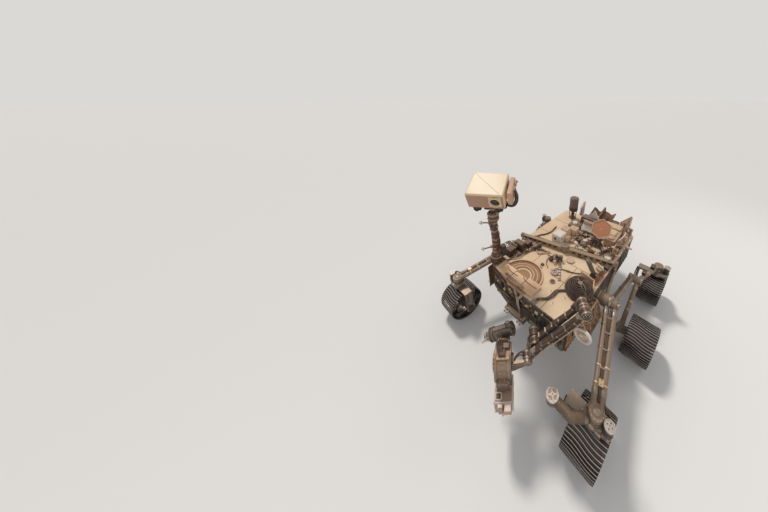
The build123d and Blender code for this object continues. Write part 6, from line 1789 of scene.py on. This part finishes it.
for path, r, tone in (
    ([(-0.3, 0.612, 1.118), (-0.5, 0.618, 1.15), (-0.74, 0.616, 1.175), (-0.95, 0.612, 1.165),
        (-1.1, 0.6, 1.12)], 0.009, 0),
    ([(-0.34, 0.604, 1.13), (-0.52, 0.612, 1.172), (-0.74, 0.61, 1.205), (-0.94, 0.606, 1.2),
        (-1.08, 0.59, 1.15), (-1.11, 0.57, 1.112)], 0.009, 2),
    ([(-0.42, 0.55, 1.114), (-0.52, 0.53, 1.165), (-0.62, 0.525, 1.19), (-0.72, 0.535, 1.18),
        (-0.8, 0.54, 1.13)], 0.0075, 0),
    ([(-0.88, 0.52, 1.125), (-0.92, 0.5, 1.255), (-0.98, 0.5, 1.275), (-1.05, 0.51, 1.245),
        (-1.1, 0.52, 1.15)], 0.01, 2),
    ([(-0.66, 0.52, 1.215), (-0.7, 0.55, 1.245), (-0.8, 0.56, 1.255), (-0.9, 0.55, 1.245)], 0.008, 3)
):
    edge_parts += painted(tone, tube(path, r, 50, 10))
for x, z in ((-0.4, 1.138), (-0.62, 1.17), (-0.86, 1.185)):
    edge_parts += painted(0, block((0.02, 0.034, 0.052), (x, 0.608, z)))
    edge_parts += painted(1, studs([(x, 0.626, z + a) for a in (-0.018, 0.018)], (0, 1, 0)))
stub = at(-0.7, 0.626, 1.14)
edge_parts += painted(0,
    turned([(0.02, 0), (0.02, 0.026), (0.024, 0.03), (0.024, 0.052), (0.012, 0.058), (0.012, 0.092),
        (0.009, 0.096), (0.001, 0.096)], stub, (0.1, 1, 0.1), 24),
    block((0.11, 0.01, 0.075), (-0.7, 0.627, 1.13), edge=0.002),
    block((0.11, 0.07, 0.014), (-0.3, 0.52, 1.106), (1, 0.1, 0), edge=0.002))
edge_parts += painted(1,
    studs([(-0.7 + a, 0.632, 1.13 + b) for a in (-0.045, 0.045) for b in (-0.027, 0.027)], (0, 1, 0)),
    studs([(-0.3 + a, 0.52 + b, 1.123) for a in (-0.05, 0.05) for b in (-0.032, 0.032)], up))
edge_parts += painted(3, block((0.13, 0.09, 0.01), (-0.3, 0.52, 1.118), (1, 0.1, 0), edge=0.002))
piece("port_edge_brackets", edge_parts, [bracket_tan, cap_pale, can_grey, plate_white])

# Power source: a finned core in dark brown, with a bolted end cap, coolant tubes looped along its fins, and
# two flared tan heat panels, each with screwed edge strips, cross ribs and three tubes on its inner face.
source_brown = dusty("source_brown", (0.155, 0.072, 0.04), 0.5, 0.3, dust=0.35, worn=(0.35, 0.22, 0.14))
panel_tan = dusty("heat_panel_tan", (0.5, 0.29, 0.17), 0.5, dust=0.35, worn=(0.72, 0.5, 0.34))
finish_nodes(source_brown, "power_source")
finish_nodes(panel_tan, "power_cage")
source_at = at(-1.14, 0, 0.86)
source_way = at(-cos(radians(20)), 0.0, sin(radians(20)))
source_up = at(sin(radians(20)), 0.0, cos(radians(20)))
source = painted(1,
    collar(0.1305, 0.142, 0.02, 0.05, source_at, source_way, 48, rim=0.006),
    turned([(0.1305, 0.438), (0.14, 0.442), (0.14, 0.458), (0.132, 0.4725), (0.06, 0.4725), (0.056, 0.48),
        (0.001, 0.48)], source_at, source_way, 48))
source += painted(2,
    bolts(18, 0.122, source_at + source_way * 0.4725, source_way, 0.005, 0.005),
    bolts(8, 0.048, source_at + source_way * 0.48, source_way, 0.0045, 0.005),
    bolts(20, 0.137, source_at + source_way * 0.044, source_way, 0.0048, 0.005))
source += painted(0,
    turned([(0.03, 0.48), (0.03, 0.492), (0.024, 0.497), (0.001, 0.497)], source_at, source_way))
for k, turn in enumerate(np.radians(np.arange(0, 360, 45))):
    side = at(0, 1, 0) * cos(turn) + source_up * sin(turn)
    across = np.cross(source_way, side)
    for shift in (-1, 1):
        foot = source_at + across * shift * 0.009
        path = [foot + source_way * 0.1 + side * 0.15, foot + source_way * 0.1 + side * 0.262,
            foot + source_way * 0.14 + side * 0.276, foot + source_way * 0.38 + side * 0.276,
            foot + source_way * 0.42 + side * 0.262, foot + source_way * 0.42 + side * 0.15]
        if k % 2 == 0 or shift > 0:
            source += painted(3, tube(path, 0.0055, 60))
    for along in (0.15, 0.26, 0.37):
        source += painted(1,
            block((0.03, 0.014, 0.006), source_at + source_way * along + side * 0.2845, source_way, side,
                edge=0.001))
    source += painted(1,
        block((0.335, 0.016, 0.004), source_at + source_way * 0.26 + side * 0.136, source_way, side,
            edge=0.001))
piece("power_source_trim", source, [source_brown, mast_band, cap_pale, drive_dark])

flare = radians(14)
cage = []
for side in (1, -1):
    back = at(-cos(flare), side * sin(flare), 0.0)
    root = at(-1.14, side * 0.35, 0.72)
    outer = np.cross(up, back) * (1 if np.cross(up, back)[1] * side > 0 else -1)
    outline = [(0.012, 0.012), (0.012, 0.262), (0.113, 0.468), (0.42, 0.468), (0.42, 0.128),
        (0.255, 0.012), (0.012, 0.012)]
    places = np.array([root + back * a + (0, 0, b) for a, b in outline])
    for face, rise in ((1, 0.0145), (-1, -0.0005)):
        skin = outer * rise
        for start, stop in zip(places[:-1], places[1:]):
            cage += painted(0, strap([start + skin, stop + skin], 0.018, 0.005, outer, 2))
            count = max(2, int(np.linalg.norm(stop - start) / 0.055))
            cage += painted(1,
                studs([between(start, stop, t) + skin for t in np.linspace(0.08, 0.92, count)],
                    outer * face, 0.0042, 0.006))
        for a0, b0, a1, b1 in (
            (0.06, 0.06, 0.4, 0.44), (0.06, 0.24, 0.4, 0.24), (0.16, 0.44, 0.28, 0.06)
        ):
            cage += painted(0,
                strap([root + back * a0 + (0, 0, b0) + skin, root + back * a1 + (0, 0, b1) + skin], 0.014,
                    0.006, outer, 2))
    for lift in (0.3, 0.355, 0.41):
        path = [root + back * 0.02 + (0, 0, lift - 0.14) - outer * 0.012,
            root + back * 0.09 + (0, 0, lift) - outer * 0.013,
            root + back * 0.24 + (0, 0, lift + 0.02) - outer * 0.013,
            root + back * 0.4 + (0, 0, lift) - outer * 0.012]
        cage += painted(2, tube(path, 0.006, 40))
    for a in (0.13, 0.24, 0.35):
        cage += painted(0,
            block((0.014, 0.012, 0.15), root + back * a + (0, 0, 0.365) - outer * 0.008, back, up,
                edge=0.003))
piece("heat_panel_trim", cage, [panel_tan, cap_pale, drive_dark])

# Arm: turned joints in dark brown, slim tubes with bolted end sockets, a black harness strapped along each
# tube, and a bolted shoulder base on a screwed shelf.
arm_dark = dusty("arm_dark_brown", (0.05, 0.034, 0.027), 0.42, 0.35, dust=0.22, worn=(0.26, 0.18, 0.13))
arm_band = dusty("arm_band_grey", (0.26, 0.215, 0.18), 0.4, 0.6, dust=0.3, worn=(0.5, 0.44, 0.38))
finish_nodes(arm_dark, "upper_arm", "forearm", "shoulder_drive", "shoulder_base")
arm_root = at(1.045, 0.365, 0)
arm_out = at(cos(radians(-45)), sin(radians(-45)), 0.0)
arm_port = at(sin(radians(45)), cos(radians(45)), 0.0)


def arm_place(out, port, rise):
    """A place in the arm's own upright plane."""
    return arm_root + arm_out * out + arm_port * port + at(0, 0, rise)


arm_joint, arm_tube_r = 0.044, 0.028
upper_port, fore_port = 0.07, 0.1503
elbow_out, elbow_rise = -0.4, 1.48
elbow_upper = arm_place(elbow_out, upper_port, elbow_rise)
elbow_fore = arm_place(elbow_out, fore_port, elbow_rise)
shoulder_end = arm_place(0, upper_port, 0.95)
wrist_end = arm_place(0.079, fore_port, 0.86)


def joint_trim(centre, half):
    """Two grip bands and a middle belt on a joint drum that reaches half to either side along its pin."""
    skin = arm_joint + 0.0005
    grips = [collar(skin, arm_joint + 0.003, low_at, low_at + 0.016, centre, arm_port, 40, rim=0.003)
        for low_at in (0.006 - half, half - 0.022)]
    belt = collar(skin, arm_joint + 0.002, -0.16 * half, 0.16 * half, centre, arm_port, 40,
        rim=0.06 * half)
    return painted(1, *grips) + painted(0, belt)


def tube_trim(start, end, harness_side, seed):
    """Sockets, clamp bands, a screwed harness tray and three leads along a tube from start to end."""
    way = (end - start) / np.linalg.norm(end - start)
    parts = []
    for t, width, lift in (
        (0.085, 0.04, 0.004), (0.3, 0.014, 0.003), (0.5, 0.014, 0.003), (0.7, 0.014, 0.003),
        (0.915, 0.04, 0.004)
    ):
        parts += painted(1, band(between(start, end, t), way, arm_tube_r, width, lift))
    side = np.cross(way, harness_side)
    side /= np.linalg.norm(side)
    top = np.cross(side, way)
    for offset, r, tone in ((-0.012, 0.0065, 3), (0, 0.008, 3), (0.012, 0.0055, 4)):
        sway = [between(start, end, t) + top * (arm_tube_r + 0.005 + 0.004 * cos(11 * t + seed)) + side
            * (offset + 0.003 * sin(9 * t + seed)) for t in np.linspace(0.08, 0.92, 12)]
        parts += painted(tone, tube(sway, r, 70))
    for t in (0.16, 0.3, 0.44, 0.58, 0.72, 0.86):
        seat = between(start, end, t) + top * (arm_tube_r + 0.01)
        parts += painted(2, block((0.014, 0.046, 0.01), seat, way, top, edge=0.003))
        parts += painted(5,
            studs([seat + side * a + top * 0.005 for a in (-0.017, 0.017)], top, 0.0035, 0.003))
    return parts


fore_top = at(0.45, 0.75, 0.5)
upper_parts = joint_trim(shoulder_end, 0.04) + joint_trim(elbow_upper, 0.04)
upper_parts += tube_trim(shoulder_end, elbow_upper, at(0.6, -0.6, 0.5), 0.7)
upper_parts += painted(1,
    turned([(0.03, 0), (0.03, 0.006), (0.024, 0.01), (0.001, 0.01)], elbow_upper - arm_port * 0.04,
        -arm_port, 32))
upper_parts += painted(5, bolts(10, 0.036, elbow_upper - arm_port * 0.04, -arm_port, 0.0042, 0.005))
upper_parts += painted(0,
    block((0.07, 0.045, 0.055), between(shoulder_end, elbow_upper, 0.9) + arm_out * 0.02 + (0, 0, 0.03),
        elbow_upper - shoulder_end, (1, 0, 0), edge=0.006))
piece("upper_arm_trim", upper_parts, [arm_dark, arm_band, arm_band, cable_black, lead_brown, cap_pale],
    "arm_upper")
fore_parts = joint_trim(elbow_fore, 0.04) + joint_trim(wrist_end, 0.04)
fore_parts += tube_trim(elbow_fore, wrist_end, fore_top, 2.1)
fore_parts += painted(0,
    turned([(0.0435, 0), (0.0435, 0.004), (0.036, 0.008), (0.02, 0.01), (0.018, 0.014), (0.001, 0.014)],
        elbow_fore + arm_port * 0.04, arm_port, 40))
fore_parts += painted(5,
    bolts(12, 0.0385, elbow_fore + arm_port * 0.0435, arm_port, 0.0038, 0.005),
    bolts(6, 0.026, elbow_fore + arm_port * 0.0485, arm_port, 0.0034, 0.005))
fore_parts += painted(6,
    strap([between(elbow_fore, wrist_end, t) + arm_port * 0.03 + at(0.2, 0.2, 0.012) * 0.1
        for t in (0.1, 0.5, 0.9)], 0.01, 0.004, arm_port, 30))
fore_parts += painted(1,
    block((0.06, 0.04, 0.045), between(elbow_fore, wrist_end, 0.88) + arm_port * 0.004 + (0, 0, 0.036),
        wrist_end - elbow_fore, (0.4, 0.4, 1), edge=0.006))
piece("forearm_trim", fore_parts, [arm_dark, arm_band, arm_band, cable_black, lead_brown, cap_pale,
    strap_tan], "arm_fore")

shoulder = painted(1,
    collar(0.0685, 0.071, 0.796, 0.816, arm_place(0, 0, 0), up, 40),
    hoop([(0.0685, 0.834), (0.071, 0.838), (0.071, 0.846), (0.066, 0.8508), (0.06, 0.8508)],
        arm_place(0, 0, 0), up, 40),
    collar(0.0525, 0.055, -0.05, -0.032, arm_place(0, 0, 0.95), arm_port, 40, rim=0.003))
shoulder += painted(2,
    bolts(14, 0.064, arm_place(0, 0, 0.8508), up, 0.0042, 0.005),
    bolts(10, 0.048, arm_place(0, -0.06, 0.95), -arm_port, 0.004, 0.005))
shoulder += painted(0,
    turned([(0.044, -0.061), (0.044, -0.066), (0.03, -0.07), (0.001, -0.07)], arm_place(0, 0, 0.95),
        arm_port, 36))
shoulder += painted(3,
    tube([arm_place(-0.02, -0.045, 0.87), arm_place(-0.045, -0.05, 0.905), arm_place(-0.05, -0.03, 0.955),
        arm_place(-0.03, -0.02, 0.998)], 0.0075, 30),
    tube([arm_place(-0.04, -0.02, 0.87), arm_place(-0.06, -0.02, 0.915), arm_place(-0.058, -0.005, 0.965),
        arm_place(-0.025, 0.0, 1.0)], 0.006, 30))
piece("shoulder_trim", shoulder, [arm_dark, arm_band, cap_pale, cable_black], "arm_turn")
shelf = painted(1,
    collar(0.0745, 0.079, 0.704, 0.724, arm_place(0, 0, 0), up, 44),
    block((0.16, 0.13, 0.006), (0.945, 0.365, 0.7825), edge=0.0015),
    block((0.012, 0.2, 0.13), (0.866, 0.365, 0.745), edge=0.003))
shelf += painted(2,
    bolts(14, 0.077, arm_place(0, 0, 0.7205), up),
    studs([(x, 0.365 + a, 0.785) for x in (0.885, 0.925, 0.965) for a in (-0.055, 0.055)], up, 0.0048,
        0.005),
    studs([(0.872, 0.365 + a, z) for a in (-0.088, 0.088) for z in (0.695, 0.745, 0.795)], (1, 0, 0),
        0.005, 0.005))
shelf += painted(3,
    tube([(0.9, 0.3, 0.78), (0.92, 0.285, 0.83), (0.9, 0.275, 0.9), (0.868, 0.27, 0.95)], 0.011, 30),
    tube([(0.91, 0.43, 0.78), (0.93, 0.45, 0.82), (0.9, 0.455, 0.88), (0.868, 0.452, 0.93)], 0.008, 30))
piece("shoulder_shelf_trim", shelf, [arm_dark, arm_band, cap_pale, cable_black])

# Wrist: a machined aluminium side plate, ribbed between its pockets, and a flange with a bolt ring that
# holds the turret; two leads pass over it.
wrist_grey = dusty("wrist_machined_grey", (0.235, 0.18, 0.14), 0.4, 0.6, dust=0.35,
    worn=(0.5, 0.42, 0.35))
finish_nodes(wrist_grey, "wrist")
plate_face = 0.2127
wrist_parts = painted(0,
    turned([(0.04, 0), (0.04, 0.004), (0.03, 0.008), (0.012, 0.009), (0.001, 0.009)],
        arm_place(0.079, plate_face, 0.86), arm_port, 36),
    strap([arm_place(0.11, plate_face, 0.878), arm_place(0.205, plate_face, 0.845)], 0.008, 0.007,
        arm_port, 2),
    strap([arm_place(0.11, plate_face, 0.834), arm_place(0.205, plate_face, 0.752)], 0.008, 0.007,
        arm_port, 2),
    strap([arm_place(0.205, plate_face, 0.845), arm_place(0.205, plate_face, 0.752)], 0.008, 0.007,
        arm_port, 2),
    strap([arm_place(0.13, plate_face, 0.832), arm_place(0.2, plate_face, 0.842)], 0.006, 0.006, arm_port,
        2))
wrist_parts += painted(1,
    bolts(10, 0.035, arm_place(0.079, plate_face + 0.003, 0.86), arm_port),
    studs([arm_place(0.22, plate_face, z) for z in (0.75, 0.78, 0.815, 0.848)], arm_port, 0.0045),
    bolts(10, 0.052, arm_place(0.2115, fore_port, 0.8), -arm_out, 0.0045, 0.005))
wrist_parts += painted(2,
    tube([arm_place(0.122, 0.12, 0.88), arm_place(0.15, 0.13, 0.886), arm_place(0.185, 0.15, 0.872),
        arm_place(0.2, 0.16, 0.84)], 0.008, 30),
    tube([arm_place(0.124, 0.15, 0.884), arm_place(0.155, 0.155, 0.894), arm_place(0.19, 0.17, 0.878),
        arm_place(0.203, 0.175, 0.845)], 0.006, 30))
piece("wrist_trim", wrist_parts, [wrist_grey, cap_pale, cable_black], "arm_wrist")

# Turret: a grey drum with a bolted rim, a tan face plate, a port-side carrier, and leads that loop between
# the tools it holds.
turret_grey = dusty("turret_grey_brown", (0.215, 0.15, 0.105), 0.42, 0.5, dust=0.4,
    worn=(0.42, 0.33, 0.26))
face_tan = dusty("turret_face_tan", (0.5, 0.29, 0.17), 0.5, dust=0.4)
finish_nodes(turret_grey, "turret_body")
turret_out, turret_rise = 0.309, 0.8
turret_hub = arm_place(turret_out, fore_port, turret_rise)
front_face = arm_place(0.384, fore_port, turret_rise)
turret = painted(1,
    collar(0.1505, 0.154, -0.068, -0.036, turret_hub, arm_out, 64),
    hoop([(0.1585, 0.056), (0.1605, 0.06), (0.1605, 0.068), (0.156, 0.0755), (0.146, 0.0765),
        (0.14, 0.0755)], turret_hub, arm_out, 64))
turret += painted(4,
    bolts(28, 0.151, front_face + arm_out * 0.001, arm_out, 0.0042, 0.005),
    bolts(12, 0.069, front_face + arm_out * 0.0205, arm_out, 0.0045, 0.005),
    bolts(6, 0.047, front_face + arm_out * 0.027, arm_out, 0.0038))
turret += painted(2,
    hoop([(0.132, 0.0005), (0.132, 0.004), (0.12, 0.006), (0.09, 0.006)], front_face, arm_out, 56))
turret += painted(0,
    turned([(0.0845, 0.012), (0.087, 0.015), (0.087, 0.0185), (0.076, 0.0205), (0.06, 0.0205),
        (0.056, 0.026), (0.04, 0.028), (0.038, 0.022), (0.001, 0.022)], front_face, arm_out, 48))
for turn in np.radians(np.arange(0, 360, 30)):
    side = arm_port * cos(turn) + np.array(up) * sin(turn)
    turret += painted(1,
        block((0.06, 0.02, 0.006), turret_hub + arm_out * 0.006 + side * 0.1515, arm_out, side,
            edge=0.002))
    turret += painted(4, studs([turret_hub + arm_out * a + side * 0.1545 for a in (-0.015, 0.027)], side))
turret += painted(2, block((0.118, 0.122, 0.008), turret_hub + (0, 0, 0.151), arm_out, up, edge=0.002))
turret += painted(4,
    studs([turret_hub + arm_out * a + arm_port * b + (0, 0, 0.155) for a in (-0.048, 0, 0.048)
        for b in (-0.05, 0.05)], up, 0.0045))
turret += painted(5,
    block((0.05, 0.06, 0.03), turret_hub + (0, 0, 0.166) + arm_port * 0.01, arm_out, up, edge=0.005))
turret += painted(3,
    block((0.09, 0.07, 0.06), turret_hub - arm_port * 0.085 + (0, 0, 0.118), arm_out, (-0.4, -0.4, 1),
        edge=0.006),
    block((0.06, 0.05, 0.05), turret_hub - arm_port * 0.045 + (0, 0, 0.158) - arm_out * 0.03, arm_out, up,
        edge=0.005))
for k, (rise, out_at, r) in enumerate(((0.205, 0.05, 0.007), (0.19, 0.03, 0.006), (0.196, 0.01, 0.005))):
    path = [turret_hub + arm_out * (out_at - 0.02) + arm_port * 0.04 + (0, 0, 0.155),
        turret_hub + arm_out * out_at - arm_port * 0.02 + (0, 0, rise),
        turret_hub + arm_out * (out_at + 0.01) - arm_port * 0.12 + (0, 0, rise - 0.02),
        turret_hub + arm_out * (out_at + 0.02) - arm_port * 0.175 + (0, 0, 0.13)]
    turret += painted(5, tube(path, r, 40))
carrier = arm_place(turret_out, 0.2703, 0.7175)
for out_at in (-0.055, 0.055):
    turret += painted(1,
        block((0.006, 0.114, 0.165), carrier + arm_out * out_at, arm_out, up, edge=0.002))
    turret += painted(4,
        studs([carrier + arm_out * (out_at + 0.003) + arm_port * b + (0, 0, z) for b in (-0.045, 0.045)
            for z in (-0.07, 0, 0.07)], arm_out))
turret += painted(1, block((0.084, 0.006, 0.15), carrier + arm_port * 0.058, arm_out, up, edge=0.002))
turret += painted(4,
    studs([carrier + arm_port * 0.061 + arm_out * a + (0, 0, z) for a in (-0.035, 0.035)
        for z in (-0.06, 0.06)], arm_port))
piece("turret_trim", turret, [turret_grey, wrist_grey, face_tan, arm_dark, cap_pale, cable_black],
    "turret")

# Coring drill: a grey barrel in a cradle, with a ribbed sleeve, two pale prongs tied by a bridge, and a
# fluted bit between them.
drill_grey = dusty("drill_grey", (0.17, 0.145, 0.125), 0.35, 0.7, dust=0.25, worn=(0.42, 0.38, 0.33))
prong_pale = dusty("prong_pale", (0.62, 0.54, 0.46), 0.4, 0.6, dust=0.15)
finish_nodes(drill_grey, "coring_drill")
dip = radians(24)
drill_way = arm_out * cos(dip) - at(0, 0, sin(dip))
drill_up = arm_out * sin(dip) + at(0, 0, cos(dip))
drill_mid = arm_place(turret_out, -0.0857, 0.884)


def drill_place(along, aside=0.0, rise=0.0):
    """A place on the drill: along from its tail, aside to port, and rise above its axis."""
    return drill_mid + drill_way * (along - 0.099) + arm_port * aside + drill_up * rise


drill = []
for along in np.arange(0.03, 0.2, 0.02):
    drill += painted(0,
        collar(0.0622, 0.0645, -0.004, 0.004, drill_place(along), drill_way, 44, rim=0.001))
drill += painted(3,
    turned([(0.06, 0.0005), (0.06, -0.006), (0.05, -0.012), (0.03, -0.014), (0.028, -0.02),
        (0.001, -0.02)][::-1], drill_place(0), drill_way, 44),
    hoop([(0.052, 0), (0.052, 0.006), (0.04, 0.012), (0.03, 0.012), (0.028, 0.006)], drill_place(0.254),
        drill_way, 40))
drill += painted(4,
    bolts(12, 0.066, drill_place(0), -drill_way, 0.0042),
    bolts(12, 0.0665, drill_place(0.254), drill_way, 0.0042),
    studs([drill_place(a, b, 0.0745) for a in (0.06, 0.105, 0.15, 0.19) for b in (-0.011, 0.011)],
        drill_up, 0.0036, 0.003))
drill += painted(1, block((0.15, 0.036, 0.016), drill_place(0.125, 0, 0.0665), drill_way, drill_up))
drill += painted(5,
    tube([drill_place(0.05, 0.02, 0.07), drill_place(0.02, 0.03, 0.085), drill_place(-0.012, 0.03, 0.05),
        drill_place(-0.014, 0.02, 0.01)], 0.007, 30),
    tube([drill_place(0.07, -0.02, 0.07), drill_place(0.02, -0.03, 0.09),
        drill_place(-0.016, -0.022, 0.045), drill_place(-0.014, -0.012, 0.005)], 0.005, 30))
for side in (-1, 1):
    drill += painted(2,
        rod(drill_place(0.256, side * 0.046), drill_place(0.35, side * 0.046), 0.0092, 16, 0.002),
        rod(drill_place(0.256, side * 0.03, 0.034), drill_place(0.335, side * 0.04, 0.01), 0.005, 12,
            0.001),
        turned([(0.01, 0), (0.012, 0.003), (0.012, 0.01), (0.006, 0.016), (0.001, 0.016)],
            drill_place(0.346, side * 0.046), drill_way, 16))
    drill += painted(1,
        block((0.03, 0.02, 0.024), drill_place(0.262, side * 0.046), drill_way, drill_up, edge=0.003))
drill += painted(2,
    tube([drill_place(0.3, -0.046), drill_place(0.306, 0.0, 0.03), drill_place(0.3, 0.046)], 0.005, 30),
    tube([drill_place(0.3, -0.046), drill_place(0.306, 0.0, -0.03), drill_place(0.3, 0.046)], 0.005, 30))
t = np.linspace(0, 1, 80)
for start in (0, pi):
    turn = start + t * 5.5 * pi
    aside, rise = 0.0215 * np.cos(turn)[:, None], 0.0215 * np.sin(turn)[:, None]
    path = drill_place(0.262) + drill_way * (0.062 * t)[:, None] + arm_port * aside + drill_up * rise
    ring = np.linspace(0, tau, 6, endpoint=False)
    drill += painted(1, swept(path, np.stack([0.003 * np.cos(ring), 0.003 * np.sin(ring)], -1)))
piece("drill_trim", drill, [drill_grey, wrist_grey, prong_pale, turret_grey, cap_pale, cable_black],
    "turret")

# Instrument box: a pinkish case whose front is a pale frame round recessed panes, with a square aperture
# below, a grey foot plate, side sensors and a comb of pale contact fingers.
case_pink = dusty("case_pinkish", (0.36, 0.235, 0.185), 0.5, dust=0.35, worn=(0.55, 0.44, 0.38))
frame_white = dusty("frame_white", (0.74, 0.63, 0.57), 0.4, 0.1, dust=0.15)
foot_grey = dusty("foot_plate_grey", (0.26, 0.215, 0.185), 0.45, 0.4, dust=0.3)
finish_nodes(case_pink, "instrument_box")
case_at = arm_place(turret_out, 0.3003, 0.545)
box_parts = []


def case_place(out, port, rise):
    """A place beside the case's centre."""
    return case_at + arm_out * out + arm_port * port + at(0, 0, rise)


def case_frame(x0, x1, y0, y1, width, thick, way, set_at):
    """Four straps along an oblong's sides; set_at puts its flat corners on a face of the case."""
    corners = [set_at(x, y) for x, y in ((x0, y0), (x1, y0), (x1, y1), (x0, y1))]
    return painted(1, *(strap([corners[k - 4], corners[k - 3]], width, thick, way, 2) for k in range(4)))


for out_at, way in ((0.0855, arm_out), (-0.0855, -arm_out)):
    def on_end(port, rise):
        """A place on the case's front or back."""
        return case_place(out_at, port, rise)
    box_parts += case_frame(-0.098, 0.098, -0.082, 0.082, 0.009, 0.007, way, on_end)
    box_parts += painted(1, strap([on_end(-0.098, 0.005), on_end(0.098, -0.012)], 0.009, 0.007, way, 2))
    box_parts += painted(4,
        studs([case_place(out_at + 0.003 * np.sign(out_at), a, b) for a in (-0.097, 0, 0.097)
            for b in (-0.081, 0.081)], way, 0.0036))
    box_parts += case_frame(-0.02, 0.035, -0.066, -0.022, 0.01, 0.01, way, on_end)
    box_parts += painted(3, block((0.003, 0.045, 0.034), on_end(0.0075, -0.044), arm_out, up, edge=0.001))
top = 0.0905
box_parts += case_frame(-0.08, 0.08, -0.098, 0.098, 0.01, 0.007, up, lambda a, b: case_place(a, b, top))
box_parts += painted(1,
    strap([case_place(-0.08, -0.015, top), case_place(0.0, 0.012, top + 0.004),
        case_place(0.08, -0.005, top)], 0.007, 0.006, up, 30))
box_parts += case_frame(0.02, 0.07, 0.03, 0.08, 0.01, 0.01, up,
    lambda a, b: case_place(a, b, top + 0.004))
box_parts += painted(3,
    block((0.042, 0.042, 0.004), case_place(0.045, 0.055, top + 0.001), arm_out, up, edge=0.001))
box_parts += painted(4,
    studs([case_place(a, b, top + 0.003) for a in (-0.079, 0.079) for b in (-0.097, 0.097)], up))
for half_out, half_rise, width, thick in ((0.081, 0.083, 0.009, 0.007), (0.047, 0.047, 0.008, 0.009)):
    box_parts += case_frame(-half_out, half_out, -half_rise, half_rise, width, thick, arm_port,
        lambda a, b: case_place(a, 0.1055, b))
box_parts += painted(3, block((0.08, 0.004, 0.08), case_place(0, 0.0895, 0), arm_out, up, edge=0.001))
box_parts += painted(2,
    turned([(0.026, 0), (0.026, 0.006), (0.02, 0.009), (0.018, 0.004), (0.001, 0.004)],
        case_place(0, 0.091, 0), arm_port),
    block((0.176, 0.216, 0.006), case_place(0, 0, -0.0925), arm_out, up, edge=0.002),
    block((0.12, 0.13, 0.008), case_place(0, 0, -0.099), arm_out, up, edge=0.002))
for k, (out_at, port_at, rise, size, tone) in enumerate((
    (0.03, 0.12, 0.05, (0.05, 0.03, 0.07), 0), (-0.04, 0.135, 0.055, (0.07, 0.06, 0.055), 5),
    (0.025, 0.118, -0.034, (0.046, 0.028, 0.06), 2), (-0.045, 0.12, -0.022, (0.055, 0.036, 0.065), 0)
)):
    box_parts += painted(tone, block(size, case_place(out_at, port_at, rise), arm_out, up, edge=0.005))
    box_parts += painted(1,
        block((size[0] * 0.8, size[1] * 0.8, 0.006), case_place(out_at, port_at, rise + size[2] / 2),
            arm_out, up, edge=0.002))
    box_parts += painted(4,
        studs([case_place(out_at + a, port_at + b, rise + size[2] / 2 + 0.003) for a in (-0.018, 0.018)
            for b in (-0.014, 0.014)], up, 0.0032, 0.003))
for k in range(5):
    z = -0.062 + 0.018 * k
    box_parts += painted(1,
        block((0.009, 0.055, 0.007), case_place(0.012 - 0.012 * (k % 2), 0.12, z), arm_out, up,
            edge=0.001))
box_parts += painted(3,
    block((0.012, 0.014, 0.09), case_place(0.006, 0.122, -0.026), arm_out, up, edge=0.002))
for k, (a, b) in enumerate(((0.02, 0), (-0.02, 0.01), (0.0, -0.03))):
    box_parts += painted(3,
        tube([case_place(-0.03 + a, -0.05 + b, 0.09), case_place(-0.045 + a, -0.055 + b, 0.125),
            case_place(-0.055 + a, -0.05 + b, 0.155)], 0.0055))
piece("instrument_trim", box_parts, [case_pink, frame_white, foot_grey, cable_black, cap_pale, face_tan],
    "turret")
